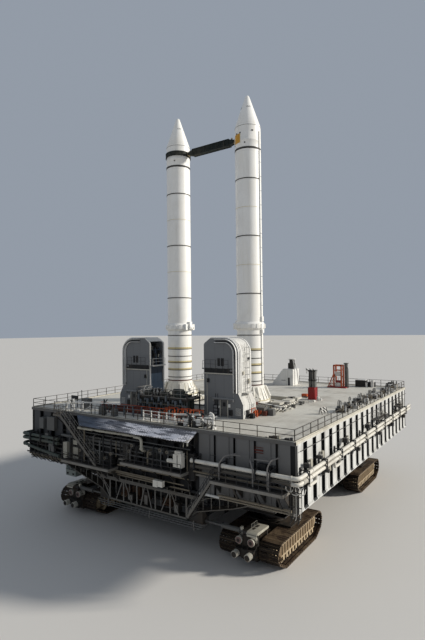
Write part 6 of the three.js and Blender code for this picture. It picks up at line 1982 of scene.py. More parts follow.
def rollerLayers():
    tan, dark = [], []
    y0, z0, big = wheels["end"]
    ly, lz, small = wheels["low"]
    big -= wheels["thick"] + wheels["gap"]
    small -= wheels["thick"] + wheels["gap"]
    for side in (-1, 1):
        cx = side * truck["offset"]
        for s in (-1, 1):  # end wheels with a hub, spokes and teeth
            wheel = lathe([(0, -0.62), (0.22, -0.62), (0.24, -0.5), (0.7, -0.42), (big - 0.12, -0.42),
                           (big, -0.36), (big, 0.36), (big - 0.12, 0.42), (0.7, 0.42), (0.24, 0.5),
                           (0.22, 0.62), (0, 0.62)], 36)
            where = quarterTurn(cx, s * y0, z0, "Y")
            tan += placed(wheel, where)
            for k in range(10):
                hole = lathe([(0, 0.36), (0.1, 0.36), (0.1, 0.428), (0, 0.428)], 10)
                for flip in (1, -1):
                    spot = where @ Matrix.Rotation(math.pi / 5 * k, 4, "Z") @ Matrix.Translation((0.55, 0, 0))
                    dark += placed(hole, spot @ Matrix.Rotation(0 if flip > 0 else math.pi, 4, "X"))
        for i in range(11):  # lower rollers, each in its own hanger
            y = -ly + 2 * ly * i / 10
            r = small if i % 2 == 0 else small - 0.02
            roller = lathe([(0, -0.6), (0.1, -0.6), (0.1, -0.5), (r, -0.48), (r, 0.48), (0.1, 0.5), (0.1, 0.6),
                            (0, 0.6)], 16)
            if i % 2 == 0:
                tan += placed(roller, quarterTurn(cx, y, lz, "Y"))
            for s in (-1, 1):
                outline = [(y - 0.2, lz + 0.12), (y + 0.2, lz + 0.12), (y + 0.14, 1.3), (y - 0.14, 1.3)]
                tan += prism(outline, "x", cx + s * 0.6, cx + s * 0.74)
                tan += tube([(cx + s * 0.5, y, lz + 0.22), (cx + s * 0.755, y, lz + 0.22)], 0.1, 10)
        # Side plates with upright ribs, a top guide and two carrier pads
        for s in (-1, 1):
            plate = [(-y0 + 0.5, 1.0), (y0 - 0.5, 1.0), (y0 - 0.1, 1.45), (y0 - 0.1, 2.15), (y0 - 0.9, 2.5),
                     (-y0 + 0.9, 2.5), (-y0 + 0.1, 2.15), (-y0 + 0.1, 1.45)]
            dark += prism(plate, "x", cx + s * 0.5, cx + s * 0.62)
            for i in range(13):
                y = -4.2 + 0.7 * i
                tan += box(cx + s * 0.6, cx + s * 0.74, y - 0.05, y + 0.05, 1.25, 2.48)
            tan += box(cx + s * 0.6, cx + s * 0.72, -y0 + 0.7, y0 - 0.7, 2.36, 2.5)
            tan += box(cx + s * 0.6, cx + s * 0.72, -y0 + 0.4, y0 - 0.4, 1.18, 1.32)
        dark += box(cx - 0.5, cx + 0.5, -4.0, 4.0, 1.0, 2.5)
        for y in (-3.0, -1.0, 1.0, 3.0):
            tan += box(cx - 0.3, cx + 0.3, y - 0.5, y + 0.5, 2.5, 2.64)
    return tan, dark


def driveLayers():
    # motors with finned ends, gear cases, brake drums, junction boxes and conduits at the truck's end
    pale, dark, red = [], [], []
    for s in (-1, 1):
        x = s * 0.75
        for a, b, r in ((5.9, 6.15, 0.4), (6.15, 6.7, 0.36), (6.7, 6.86, 0.4)):
            pale += tube([(x, a, 2.95), (x, b, 2.95)], r, 24)
        red += tube([(x, 6.86, 2.95), (x, 6.93, 2.95)], [0.37, 0.3], 20)
        dark += tube([(x, 6.92, 2.95), (x, 6.945, 2.95)], 0.19, 14)
        for k in range(5):
            dark += tube([(x, 6.2 + 0.1 * k, 2.95), (x, 6.23 + 0.1 * k, 2.95)], 0.385, 24)
        pale += box(s * 0.47, s * 1.03, 5.9, 6.24, 2.62, 3.25) + tube([(x, 6.5, 3.2), (x, 6.5, 3.32)], 0.16, 12)
        dark += tube([(s * 0.8, 6.95, 1.75), (s * 0.8, 7.2, 1.75)], 0.26, 20)
        for k in range(5):
            y = 7.16 + 0.13 * k
            pale += tube([(s * 0.8, y, 1.75), (s * 0.8, y + 0.08, 1.75)], 0.37, 24)
            dark += tube([(s * 0.8, y + 0.06, 1.75), (s * 0.8, y + 0.14, 1.75)], 0.3, 20)
        pale += tube([(s * 0.8, 7.74, 1.75), (s * 0.8, 7.79, 1.75)], [0.37, 0.33], 24)
        dark += tube([(s * 0.45, 6.4, 2.5), (s * 0.3, 6.7, 2.3), (s * 0.3, 6.9, 2.0), (s * 0.5, 7.02, 1.8)],
                     0.04, 8, 0.2)
        dark += tube([(s * 1.05, 6.2, 2.6), (s * 1.2, 6.45, 2.3), (s * 1.1, 6.9, 2.1)], 0.035, 8, 0.2)
        dark += box(s * 1.0, s * 1.14, 6.3, 6.9, 1.4, 2.1)
    dark += box(-1.12, 1.12, 6.22, 6.98, 1.37, 2.13) + box(-0.6, 0.6, 6.2, 6.6, 0.95, 1.4)
    return pale, dark, red


def hoodLayers():  # a pale cover plate with hatches beside the fork, its posts, and small cases
    cream, dark = [], []
    cream += prism([(4.1, 3.9), (6.6, 3.98), (6.9, 3.82), (6.9, 3.92), (6.62, 4.1), (4.1, 4.02)], "x", -1.5,
                   -0.25)
    cream += box(-1.5, -1.42, 4.1, 6.6, 3.78, 3.95) + box(-1.5, -0.3, 6.84, 6.9, 3.6, 3.9)
    for y in (4.7, 5.5):
        dark += box(-0.72, -0.42, y, y + 0.6, 4.02, 4.09)
    for x, y in ((-1.35, 4.3), (-1.35, 6.3), (-0.5, 4.3)):
        dark += beam((x, y, 2.6), (x, y, 3.9), 0.14)
    for y in (4.6, 5.2, 5.8):
        cream += tube([(-0.3, y, 4.05), (-0.3, y, 4.5)], 0.03, 6)
    cream += tube([(-0.3, 4.6, 4.5), (-0.3, 5.8, 4.5)], 0.03, 6) + boxAt(0.75, 5.9, 3.3, 0.3, 0.3, 0.4)
    cream += boxAt(0.6, 6.3, 3.9, 0.25, 0.3, 0.35) + box(0.95, 1.15, 2.4, 3.4, 2.7, 3.1)
    return cream, dark


frameSteel, frameDark = truckFrame()
rollTan, rollDark = rollerLayers()
drivePale, driveDark, driveRed = driveLayers()
hoodCream, hoodDark = hoodLayers()
truckLayers = {"truckSteel": frameSteel, "rollerSteel": rollTan,
               "chassisSteel": frameDark + driveDark + hoodDark, "plateBrown": rollDark,
               "motorPaint": drivePale, "boxCream": hoodCream, "motorEnd": driveRed}
for corner, (cx, cy) in corners.items():
    where = cornerPlace(corner)
    hand = where @ Matrix.Diagonal((-cx * cy, 1, 1, 1))
    body = "truck_" + corner
    piece("truck_dressed_" + corner, {k: placed(v, hand) for k, v in truckLayers.items()}, body=body,
          stands=["truck_" + corner], bevel=0.01)
    for side in (-1, 1):
        outward = side * (-1 if cy < 0 else 1) * cx
        role = "outer" if outward > 0 else "inner"
        middle = where @ Vector((side * truck["offset"], 0, 0))
        line = [(middle.x, middle.y + y, middle.z + z) for y, z in beltLine(0.13)]
        nodes = ["track_%s_%s" % (corner, role)]
        for stem, parts, paint, stands in (("track_shoes_", shoeParts(), "trackSteel", nodes),
                                           ("track_pins_", lugParts(), "pinSteel", ())):
            values = {"Fitting": fittingObject(stem + corner + role, parts), "Count": truck["shoes"],
                      "Material": finishes[paint]}
            grow(stem + corner + "_" + role, lineMesh("belt line", [line], True), "belt", values, body,
                 stands)
print("trucks done")


# Deck: booster supports, work frame, guard wall, hoses, stands and the small things round them
def onDeck(layers, x=0.0, y=0.0):
    return allMoved(layers, x, y, deck)


def girder(a, b, wide, tall, plate=0.05):  # I section between two points, z at its underside
    (xa, ya, za), (xb, yb, zb) = a, b
    low, high, mid = plate / 2, tall - plate / 2, tall / 2
    made = beam((xa, ya, za + low), (xb, yb, zb + low), wide, plate)
    made += beam((xa, ya, za + high), (xb, yb, zb + high), wide, plate)
    return made + beam((xa, ya, za + mid), (xb, yb, zb + mid), plate, tall - plate * 1.5)


def supportLayers(s):
    frame_, steel, pads = [], [], []
    hx, y0, y1 = 3.05, -12.6 - booster["y"], -0.6 - booster["y"]
    for k in (-1, 1):
        frame_ += box(k * (hx + 0.02), k * (hx + 0.48), y0 - 0.48, y1 + 0.48, 0.0, 0.56)
        for i in range(13):
            y = y0 + 0.2 + (y1 - y0 - 0.4) * i / 12
            steel += box(k * (hx + 0.46), k * (hx + 0.54), y - 0.03, y + 0.03, 0.05, 0.5)
        for j in (-1, 1):
            pads += box(k * 1.75, k * 3.1, j * 1.3, j * 2.1, 0.12, 0.62)
            pads += box(k * 1.72, k * 2.6, j * 1.27, j * 2.13, 0.6, 0.735)
            pads += prism([(k * 2.9, 0.1), (k * 3.5, 0.1), (k * 3.5, 0.6), (k * 3.1, 0.72), (k * 2.9, 0.72)],
                          "y", j * 1.28, j * 2.12)
            for dx, dy in ((1.9, 1.42), (1.9, 1.98), (2.45, 1.42), (2.45, 1.98)):
                steel += lathe([(0, 0.7), (0.07, 0.7), (0.07, 0.735), (0, 0.735)], 6, (k * dx, j * dy, 0))
    for y, t in ((y0 - 0.48, y0 - 0.02), (y1 + 0.02, y1 + 0.48)):
        frame_ += box(-hx - 0.02, hx + 0.02, y, t, 0.0, 0.56)
    for y, t in ((y0, 1), (y1, -1)):
        for i in range(7):
            x = -2.7 + 0.9 * i
            steel += box(x - 0.03, x + 0.03, y - t * 0.54, y - t * 0.46, 0.05, 0.5)
    # Service lines and clamps round the frame
    for k in (-1, 1):
        steel += tube([(k * (hx + 0.75), y0, 0.18), (k * (hx + 0.75), y1, 0.18)], 0.08, 8)
    return onDeck({"trimPaint": frame_, "bracketSteel": steel, "skirtPaint": pads}, s * booster["x"],
                  booster["y"])


for side, s in sides.items():
    piece("support_dressed_" + side, supportLayers(s), stands=["booster_support_" + side],
          bevel=0.02)


def workFrameLayers():  # two service decks round the engine hole, with the machinery that hangs on them
    steel, teal, dark, pale, tan, white, blue = [], [], [], [], [], [], []
    x = 4.25
    for z in (0.7, 2.3):
        for y0, y1 in ((-19.9, -19.2), (-17.8, -17.1)):
            steel += box(-x, x, y0, y1, z - 0.06, z)
            for y in (y0, y1):
                steel += beam((-x, y, z - 0.1), (x, y, z - 0.1), 0.06, 0.16)
        for s in (-1, 1):
            steel += box(s * (x - 0.7), s * x, -19.9, -17.1, z - 0.06, z)
            steel += beam((s * x, -19.9, z - 0.1), (s * x, -17.1, z - 0.1), 0.06, 0.16)
    for px in (-x + 0.08, -1.4, 1.4, x - 0.08):
        for py in (-19.82, -17.18):
            steel += beam((px, py, 0.0), (px, py, 2.9), 0.13, 0.13)
    for px in (-x + 0.1, 0.0):
        steel += beam((px, -19.85, 0.72), (px + 2.0, -19.85, 2.2), 0.07, 0.07)
        steel += beam((px + 4.1, -19.85, 0.72), (px + 2.0, -19.85, 2.2), 0.07, 0.07)
    dark += box(-5.1, -3.8, -19.9, -19.3, 0, 0.68) + box(3.8, 5.6, -19.9, -19.3, 0, 0.68)
    # Teal covers, drums and panels between the masts
    for x0, x1, y, z0, z1, where in ((-3.9, -1.6, -19.1, 0.8, 2.1, teal), (-1.2, 1.1, -19.1, 0.8, 1.8, dark),
                                     (1.5, 4.0, -19.1, 0.8, 2.2, teal), (-3.6, -0.6, -17.9, 0.8, 2.2, dark),
                                     (0.2, 3.8, -17.9, 0.9, 2.1, teal), (-2.9, -1.3, -18.3, 2.4, 3.0, dark),
                                     (0.9, 2.6, -18.2, 2.4, 3.1, teal)):
        where += box(x0, x1, y - 0.5, y + 0.1, z0, z1)
        where += prism([(y - 0.5, z1), (y + 0.1, z1), (y - 0.05, z1 + 0.22), (y - 0.35, z1 + 0.22)], "x",
                       x0 + 0.1, x1 - 0.1)
    for i in range(9):
        px = -3.8 + 0.94 * i
        teal += tube([(px, -19.75, 0.9), (px, -19.75, 2.0), (px + 0.3, -19.4, 2.25)], 0.09, 8, 0.3)
        pale += tube([(px + 0.4, -17.5, 2.35), (px + 0.4, -17.5, 2.8 + 0.1 * (i % 3)), (px + 0.7, -17.3, 2.9)],
                     0.06, 8, 0.2)
    for px, r in ((-2.4, 0.34), (0.4, 0.3), (2.9, 0.36)):
        lying = quarterTurn(px, -19.5, 2.72, "Y")
        teal += placed(lathe([(0, -0.5), (r, -0.5), (r, 0.5), (0, 0.5)], 20), lying)
        dark += placed(hoop(r - 0.02, r + 0.04, -0.06, 0.06, 20), lying)
    for i in range(16):
        px, py = rng.uniform(-4.0, 4.0), rng.choice((-19.6, -17.45))
        size = rng.uniform(0.15, 0.4)
        (pale, tan, dark, teal)[i % 4].extend(boxAt(px, py, 2.3, size * 1.5, size, size))
    for i in range(22):  # small cases and pipes on the near side of the machinery
        px, z0 = -4.1 + 0.39 * i, 0.85 + 0.5 * (i * 5 % 3)
        tall = 0.25 + 0.15 * (i * 3 % 4)
        blue += boxAt(px, -20.05, z0, 0.16 + 0.05 * (i % 3), 0.18, tall)
        blue += tube([(px + 0.2, -20.02, 0.75), (px + 0.2, -20.02, 1.7 + 0.3 * (i % 2))], 0.035, 6)
    for i in range(18):  # white fittings on top of the left machinery
        px, py = -4.0 + 0.19 * i, -19.3 + 0.5 * (i % 3)
        top = 2.95 + 0.12 * (i * 7 % 4)
        white += tube([(px, py, 2.3), (px, py, top), (px + 0.18, py, top + 0.05)], 0.05, 6, 0.08)
        white += boxAt(px, py + 0.15, 2.5 + 0.1 * (i % 4), 0.14, 0.14, 0.2)
    tan += tube([(-4.1, -20.05, 0.5), (4.1, -20.05, 0.5)], 0.1, 10)
    tan += tube([(-4.1, -20.05, 1.5), (4.1, -20.05, 1.5)], 0.05, 8)
    return onDeck({"porchSteel": steel, "machineTeal": teal, "darkPanel": dark, "greyPaint": pale,
                   "pipeTan": tan, "whiteRail": white, "railBlue": blue})


piece("work_frame_dressed", workFrameLayers(), stands=["hole_work_frame"])
railing("work_frame_rails", [[(s * 4.2, -19.85, deck + 2.3), (s * 4.2, -17.15, deck + 2.3)] for s in (-1, 1)]
        + [[(-4.2, -19.85, deck + 2.3), (4.2, -19.85, deck + 2.3)]], {"paint": "railGrey", "Spacing": 1.0})


def guardLayers():  # orange rails with dark red panels, and the orange stands beside them
    orange, red, pale, grey = [], [], [], []
    y = -21.8
    for x0, x1 in ((-9.0, -6.9), (-6.8, -4.2), (-4.1, -1.5), (-1.4, 1.2)):
        red += box(x0 + 0.05, x1 - 0.05, y + 0.03, y + 0.12, 0.25, 1.12)
        for z in (0.45, 0.8):
            red += box(x0 + 0.1, x1 - 0.1, y - 0.02, y + 0.04, z, z + 0.08)
    for z in (0.7, 1.3):
        orange += beam((-9.0, y, z), (3.0, y, z), 0.06)
    for i in range(9):
        x = -9.0 + 1.5 * i
        grey += beam((x, y - 0.1, 0), (x, y - 0.1, 1.25), 0.12) + boxAt(x, y, 0, 0.3, 0.3, 0.04)
        orange += beam((x, y + 0.05, 0.05), (x, y + 0.6, 0.7), 0.06)
    for i in range(12):  # posts behind the white hand rail
        orange += beam((0.2 + 0.42 * i, -21.5, 0), (0.2 + 0.42 * i, -21.5, 0.9 + 0.2 * (i % 3)), 0.08)
    for x0 in (1.6, 3.6, 5.4):  # trestles that stand open to the right of the wall
        for dx in (0.0, 1.4):
            for dy in (0.0, 0.9):
                orange += beam((x0 + dx, -21.2 + dy, 0), (x0 + dx + 0.1, -21.0 + dy * 0.8, 1.3), 0.06)
        orange += beam((x0, -21.0, 1.3), (x0 + 1.5, -21.0, 1.3), 0.07)
        orange += beam((x0, -20.3, 1.3), (x0 + 1.5, -20.3, 1.3), 0.07)
        orange += beam((x0, -21.15, 0.6), (x0 + 1.5, -21.15, 0.6), 0.06)
    pale += beam((4.0, -22.3, 0.9), (7.6, -21.9, 1.1), 0.14, 0.2)
    pale += beam((3.6, -22.6, 0.4), (7.4, -22.4, 0.5), 0.16, 0.14)
    for x in (-5.4, -3.9, -2.2, -0.6):
        grey += beam((x, -22.6, 0), (x, -22.6, 1.0), 0.1)
    for z in (0.5, 1.0):
        grey += beam((-9.0, -22.6, z), (0.4, -22.6, z), 0.05)
    return onDeck({"signalOrange": orange, "wallRed": red, "whiteRail": pale, "railBlue": grey})


piece("guard_wall_dressed", guardLayers(), stands=["guard_wall"])


def nearEdgeLayers():  # white frames, rails and small equipment behind the near hand rail
    white, dark, grey, steel = [], [], [], []
    y = -23.75
    white += beam((-12.15, y, 1.3), (-3.4, y, 1.75), 0.12, 0.16)
    white += beam((-12.2, y, 0.1), (-9.0, y, 0.12), 0.2, 0.18)
    for x, r in ((-12.1, 0.07), (-10.4, 0.13), (-8.9, 0.06)):
        white += tube([(x, y, 0), (x, y, 1.5)], r, 8)
    for a, b in (((-13.9, 0.1), (-13.3, 1.6)), ((-13.3, 1.6), (-12.3, 1.65)), ((-13.3, 1.6), (-12.3, 0.3)),
                 ((-12.3, 1.65), (-12.3, 0.05)), ((-13.8, 0.9), (-12.3, 0.85)), ((-13.9, 0.35), (-12.4, 0.3)),
                 ((-12.0, 0.25), (-10.5, 0.95)), ((-10.3, 0.3), (-9.1, 0.9)), ((-9.1, 0.9), (-8.9, 1.4))):
        white += tube([(a[0], y, a[1]), (b[0], y + 0.15, b[1])], 0.06, 6)
    white += boxAt(-11.5, y + 0.3, 0, 0.9, 0.5, 0.35) + boxAt(-14.2, y + 0.3, 0.2, 0.3, 0.3, 0.3)
    white += lathe([(0, -0.16), (0.11, -0.11), (0.16, 0), (0.11, 0.11), (0, 0.16)], 12, (-8.0, y, 1.05))
    steel += tube([(-8.0, y, 0), (-8.0, y, 0.95)], 0.05, 8) + tube([(-6.25, y, 0), (-6.25, y, 2.1)], 0.1, 8)
    steel += tube([(-6.25, y, 1.5), (-5.7, y, 2.1)], 0.07, 8) + boxAt(-5.4, y + 0.2, 0.9, 0.5, 0.4, 0.5)
    grey += boxAt(-7.1, y + 0.5, 0, 1.0, 0.5, 1.0) + boxAt(-4.9, y + 0.5, 0, 0.8, 0.5, 0.9)
    # White hand rail with thick posts in front of the guard wall
    for x in (0.6, 1.84, 3.0, 4.2, 5.4):
        white += beam((x, -23.85, 0), (x, -23.85, 1.35), 0.13, 0.1)
    for z in (0.45, 0.9, 1.3):
        white += beam((0.6, -23.85, z), (5.4, -23.85, z), 0.06)
    white += beam((0.7, -23.5, 0.22), (6.9, -23.4, 0.3), 0.22, 0.16)
    # Cluttered reels, valves and small cases beside it
    for i in range(34):
        x, py = rng.uniform(5.7, 10.7), rng.uniform(-23.9, -22.2)
        size, lift = rng.uniform(0.12, 0.42), rng.choice((0.0, 0.0, 0.35, 0.75))
        (white, dark, white, steel)[i % 4].extend(
            turnedBox(x, py, lift, size * 1.4, size, size * rng.uniform(0.7, 1.8), rng.uniform(-40, 40)))
    for i in range(12):
        x, py = rng.uniform(6.0, 10.6), rng.uniform(-23.8, -22.5)
        top = rng.uniform(0.7, 1.5)
        bend = [(x, py, 0), (x, py, top), (x + rng.uniform(-0.6, 0.6), py + rng.uniform(-0.2, 0.4), top + 0.1)]
        (white, grey, dark)[i % 3].extend(tube(bend, rng.choice((0.05, 0.08, 0.11)), 8, 0.25))
    for x, r in ((7.3, 0.5), (8.7, 0.42), (9.9, 0.5)):
        turned = quarterTurn(x, -23.3, r + 0.25, "X")
        white += placed(hoop(r * 0.86, r, -0.12, 0.12, 20), turned)
        white += placed(hoop(r * 0.55, r * 0.7, -0.16, 0.16, 20), turned)
        dark += placed(lathe([(0, -0.1), (r * 0.3, -0.1), (r * 0.3, 0.1), (0, 0.1)], 12), turned)
    white += tube([(10.45, -23.4, 0.6), (10.45, -23.4, 1.6), (10.0, -23.4, 1.75)], 0.14, 10, 0.3)
    # Corner box and antenna at the left end
    grey += boxAt(-12.9, -20.8, 0, 1.1, 0.9, 1.35)
    steel += tube([(-14.4, -20.5, 0), (-14.4, -20.5, 2.4)], 0.05, 6) + boxAt(-15.5, -20.9, 1.1, 1.3, 0.1, 0.5)
    steel += beam((-16.1, -20.9, 0), (-16.1, -20.9, 1.6), 0.1)
    steel += beam((-14.9, -20.9, 0), (-14.9, -20.9, 1.6), 0.1)
    return onDeck({"whiteRail": white, "darkPanel": dark, "greyPaint": grey, "bracketSteel": steel})


piece("near_edge_equipment", nearEdgeLayers())


def hoseLayers():  # big wrapped hoses, their blocks, and the beams and pallets laid over them
    hose, white, dark, red, steel, tan = [], [], [], [], [], []
    x0, y0 = 9.7, -9.8
    for run, r in (([(0.6, -3.4, 0.33), (1.0, 1.2, 0.33), (0.9, 5.6, 0.33), (0.65, 8.8, 0.33)], 0.29),
                   ([(1.3, -3.5, 0.27), (1.7, 1.5, 0.27), (1.5, 6.5, 0.27)], 0.23)):
        line = [(x + x0, y + y0, z) for x, y, z in run]
        hose += tube(line, r, 16, 1.2)
        path = rounded(line, 1.2)
        for a, b in zip(path, path[1:]):
            steps = max(1, int((b - a).length / 0.7))
            for i in range(steps):
                p = a.lerp(b, (i + 0.5) / steps)
                lay = Matrix.Translation(p) @ (b - a).to_track_quat("Z", "Y").to_matrix().to_4x4()
                dark += placed(hoop(r - 0.01, r + 0.035, -0.035, 0.035, 16), lay)
    for y in (0.9, -3.3):
        white += box(x0 + 0.3, x0 + 2.0, y0 + y, y0 + y + 0.35, 0, 0.5)
    white += girder((8.6, -9.3, 0.62), (12.6, -10.9, 0.62), 0.34, 0.3)
    white += girder((7.9, -5.6, 0.6), (11.9, -6.4, 0.6), 0.3, 0.26)
    red += girder((8.7, -12.2, 0.75), (8.1, -5.4, 0.75), 0.3, 0.3)
    hose += boxAt(10.6, -7.9, 0.66, 1.5, 1.6, 0.3) + boxAt(10.9, -4.9, 0.62, 1.2, 1.8, 0.34)
    hose += boxAt(10.8, -1.9, 0.6, 1.0, 1.5, 0.3)
    for i in range(40):
        x, y = rng.uniform(8.6, 12.6), rng.uniform(-12.4, 0.6)
        size = rng.uniform(0.12, 0.45)
        lift = 0.6 if abs(x - 10.6) < 0.9 else 0.0
        (hose, dark, steel, white, tan)[i % 5].extend(
            turnedBox(x, y, lift, size * 1.6, size, size * rng.uniform(0.5, 1.1), rng.uniform(0, 90)))
    for i in range(12):
        x, y = rng.uniform(9.0, 12.4), rng.uniform(-12.0, 0.0)
        reach = rng.uniform(0.8, 1.8)
        hose += tube([(x, y, 0.1), (x + 0.3, y + reach * 0.4, 0.5), (x - 0.1, y + reach, 0.12)], 0.07, 8, 0.5)
    for x, y in ((12.1, -9.0), (12.2, -6.1), (12.0, -3.2)):  # small rollers that carry the hoses
        steel += boxAt(x, y, 0, 0.5, 0.3, 0.35)
        steel += tube([(x - 0.3, y, 0.42), (x + 0.3, y, 0.42)], 0.1, 10)
    # Cases and bundles right of the mast's foot
    steel += boxAt(10.9, -12.9, 0, 1.1, 0.9, 1.0) + boxAt(12.1, -12.6, 0, 0.8, 0.7, 0.8)
    red += boxAt(11.55, -13.3, 0, 0.5, 0.5, 0.6)
    return onDeck({"hoseCover": hose, "whiteRail": white, "darkPanel": dark, "wallRed": red,
                   "greyPaint": steel, "pipeTan": tan})


piece("hoses_dressed", hoseLayers(), stands=["deck_hoses"])


def orangeClutter():
    # orange stand and cones at the right mast's outer foot, and small things near the far edge
    orange, dark = [], []
    for i in range(10):
        x, y = 10.6 + 0.16 * (i % 4), -15.3 + 0.25 * i
        orange += boxAt(x, y, 0.2 * (i % 3), 0.16, 0.2, 0.3 + 0.05 * (i % 4))
    orange += beam((10.7, -15.3, 0), (10.7, -15.3, 1.15), 0.07)
    orange += beam((10.7, -14.3, 0), (10.7, -14.3, 1.15), 0.07)
    orange += beam((10.7, -15.3, 1.1), (10.7, -14.3, 1.1), 0.07)
    orange += beam((10.7, -15.2, 0.1), (10.7, -14.4, 1.0), 0.05)
    orange += boxAt(9.4, 4.6, 0, 0.9, 0.7, 0.5)
    dark += boxAt(11.0, -15.6, 0, 0.5, 0.5, 0.6)
    return onDeck({"signalOrange": orange, "darkPanel": dark})


piece("orange_clutter", orangeClutter())


def redStandLayers():
    red, grey, dark, pale = [], [], [], []
    red += box(-0.5, 0.5, -0.6, 0.6, 0.05, 1.9) + box(-0.6, 0.6, -0.7, 0.7, 0, 0.1)
    for k in (-1, 1):
        red += box(-0.54, -0.44, k * 0.6, k * 0.64, 0.1, 1.9) + box(0.44, 0.54, k * 0.6, k * 0.64, 0.1, 1.9)
        red += box(k * 0.5, k * 0.54, -0.45, 0.45, 0.3, 1.6)
        grey += box(k * 0.12, k * 0.5, -0.34, 0.34, 1.85, 4.4)
        dark += box(k * 0.2, k * 0.42, -0.36, -0.33, 3.15, 4.3)
        pale += tube([(k * 0.56, -0.3, 4.3), (k * 0.95, -0.3, 4.75), (k * 0.8, -0.3, 4.0)], 0.05, 8, 0.1)
    dark += box(-0.56, 0.56, -0.4, 0.4, 2.9, 3.08) + box(-0.62, 0.62, -0.44, 0.44, 4.35, 4.55)
    for x in (-0.55, 0.0, 0.5):
        dark += beam((x, -0.35, 4.5), (x - 0.35, -0.5, 4.8), 0.12, 0.06)
        pale += beam((x + 0.1, -0.42, 4.5), (x - 0.25, -0.55, 4.86), 0.05, 0.05)
    pale += boxAt(0.95, -0.3, 0, 0.3, 0.3, 0.55) + boxAt(1.4, -0.4, 0, 0.35, 0.3, 0.3)
    pale += beam((-0.9, -1.3, 0.05), (1.0, -1.1, 0.05), 0.12, 0.08)
    return onDeck({"signalRed": red, "greyPaint": grey, "darkPanel": dark, "whiteRail": pale}, 11.5, 2.7)


piece("red_stand_dressed", redStandLayers(), stands=["red_stand"], bevel=0.015)


def cabinetLayers():  # white cabinet with a blue-grey slope, and a post with a dark box beside it
    white, blue, dark, pale = [], [], [], []
    white += prism([(-2.35, 0), (2.2, 0), (2.2, 3.1), (0.22, 3.1)], "y", -1.5, 1.5)
    slope = [(-2.4, 0.0), (-2.33, 0.0), (0.24, 3.1), (0.2, 3.14), (0.12, 3.1)]
    blue += prism(slope, "y", -1.42, 1.42)
    for i in range(5):
        y = -1.2 + 0.6 * i
        blue += beam((-2.3, y, 0.12), (0.1, y, 3.05), 0.05, 0.06)
    dark += box(1.2, 1.6, -1.53, -1.49, 0.0, 1.5) + box(-0.2, 0.7, -1.53, -1.49, 0.9, 1.0)
    for x in (0.6, 1.0, 1.9):
        white += box(x - 0.02, x + 0.02, -1.54, -1.48, 0.1, 2.9)
    white += box(0.15, 2.25, -1.55, 1.55, 3.06, 3.16)
    pale += tube([(2.5, -1.2, 0), (2.5, -1.2, 3.2), (2.2, -1.3, 5.0)], 0.07, 8, 0.2)
    pale += tube([(3.3, -1.2, 0.3), (3.0, -1.2, 3.0), (2.6, -1.2, 4.4)], 0.09, 8, 0.4)
    dark += boxAt(1.6, -0.6, 3.2, 1.1, 0.9, 1.1) + boxAt(1.7, -0.6, 4.3, 0.8, 0.7, 0.7)
    pale += boxAt(1.65, -0.6, 5.0, 1.2, 0.9, 0.1)
    return onDeck({"cabinetWhite": white, "cabinetBlue": blue, "darkPanel": dark, "whiteRail": pale}, -0.7,
                  19.0)


piece("sloped_cabinet_dressed", cabinetLayers(), stands=["sloped_cabinet"], bevel=0.01)


def orangeFrameLayers():
    orange, red, pale, teal = [], [], [], []
    red += box(-1.9, 1.6, -0.9, 0.9, 0.0, 0.18) + beam((-1.9, -0.95, 0.1), (1.6, -0.95, 0.1), 0.08, 0.2)
    for x in (-0.7, 0.7):
        for y in (-0.6, 0.6):
            orange += beam((x, y, 0.1), (x, y, 4.2), 0.24)
        orange += beam((x, -0.6, 4.08), (x, 0.6, 4.08), 0.24) + beam((x, -0.6, 2.0), (x, 0.6, 2.0), 0.18)
    for y in (-0.6, 0.6):
        orange += beam((-0.7, y, 4.08), (0.7, y, 4.08), 0.24) + beam((-0.6, y, 3.2), (0.6, y, 3.2), 0.12)
        orange += beam((-1.8, y, 0.15), (-0.7, y, 2.6), 0.16)
    pale += box(-0.5, 0.5, -0.4, 0.4, 2.1, 2.9) + box(-0.52, 0.52, -0.45, 0.45, 0.2, 0.9)
    pale += beam((-1.6, 0.0, 0.3), (-0.8, 0.0, 1.8), 0.7, 0.1)
    red += box(-0.4, 0.4, -0.35, 0.35, 0.9, 1.3)
    teal += boxAt(1.35, 0.3, 0, 0.5, 0.6, 4.4) + boxAt(1.35, 0.3, 4.4, 0.7, 0.8, 0.15)
    teal += tube([(1.75, 0.1, 0), (1.75, 0.1, 3.6), (1.4, 0.1, 4.2)], 0.08, 8, 0.3)
    return onDeck({"signalOrange": orange, "signalRed": red, "whiteRail": pale, "greyPaint": teal}, 10.0, 19.2)


piece("orange_frame_dressed", orangeFrameLayers(), stands=["orange_frame"])


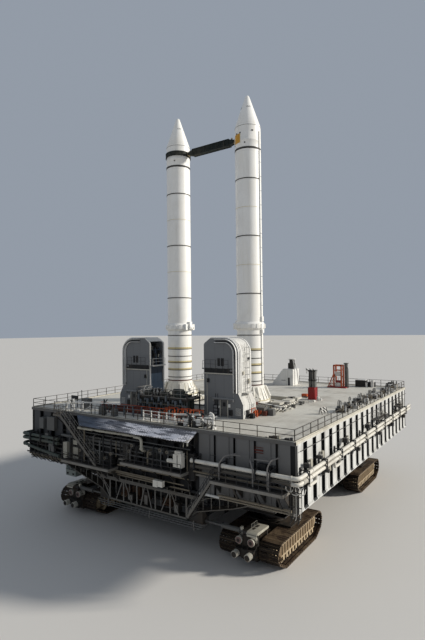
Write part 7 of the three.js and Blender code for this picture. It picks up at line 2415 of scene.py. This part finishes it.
def edgeClusters():  # equipment along the right edge and at the far corner, and the striped barrier
    white, grey, dark, tan, stripes = [], [], [], [], []
    for cx, cy, spread_, count in ((18.6, -5.4, 1.1, 16), (18.9, -1.6, 1.3, 16), (19.0, 2.2, 1.6, 18),
                                   (18.9, 7.2, 1.4, 16), (19.2, 10.4, 1.3, 12), (18.8, 21.8, 1.8, 22),
                                   (19.3, 16.0, 1.2, 8)):
        for i in range(count):
            x = min(20.1, cx + rng.uniform(-0.8, 0.9))
            y = cy + rng.uniform(-spread_, spread_)
            size = rng.uniform(0.15, 0.5)
            (white, grey, dark, tan)[i % 4].extend(
                turnedBox(x, y, 0, size * 1.3, size, size * rng.uniform(0.8, 2.2), rng.uniform(-30, 30)))
        for i in range(3):
            x, y = cx + rng.uniform(-0.5, 0.8), cy + rng.uniform(-0.9, 0.9)
            grey += tube([(x, y, 0), (x, y, 1.3), (x, y + 0.6, 1.4), (x, y + 0.6, 0)], 0.06, 8, 0.3)
            white += tube([(x + 0.2, y, 0), (x + 0.2, y, 0.9)], 0.09, 8)
    dark += boxAt(13.2, 22.6, 0, 1.9, 1.5, 1.2) + boxAt(15.0, 22.9, 0, 1.2, 1.0, 0.9)
    white += boxAt(13.2, 22.6, 1.2, 1.8, 1.4, 0.12) + boxAt(15.3, 22.4, 0.0, 0.5, 0.5, 1.3)
    white += boxAt(14.3, 22.0, 0, 0.3, 0.3, 0.8)
    for k in range(2):
        low, high = Vector((17.3, -9.0, 0.1)), Vector((17.7, -8.0, 0.1))
        raised = Vector((-0.15 * k, 0.05 * k, 0.3 + 0.34 * k))
        stripes += beam(low + raised, high + raised, 0.05, 0.26)
    for p in ((17.3, -9.0), (17.7, -8.0)):
        dark += beam((p[0] + 0.15, p[1] - 0.05, 0), (p[0] - 0.18, p[1] + 0.08, 0.85), 0.06)
        dark += beam((p[0] - 0.35, p[1] + 0.1, 0), (p[0] - 0.17, p[1] + 0.08, 0.85), 0.06)
    return onDeck({"whiteRail": white, "greyPaint": grey, "darkPanel": dark, "pipeTan": tan,
                   "stripePaint": stripes})


piece("edge_clusters", edgeClusters())
print("deck done")


# CAD nodes that stay get their finishes here
for name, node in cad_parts.items():
    if not node.hide_render:
        node.data.materials.clear()
        node.data.materials.append(finishes["hullPaint" if name in hullParts else "gallerySteel"])
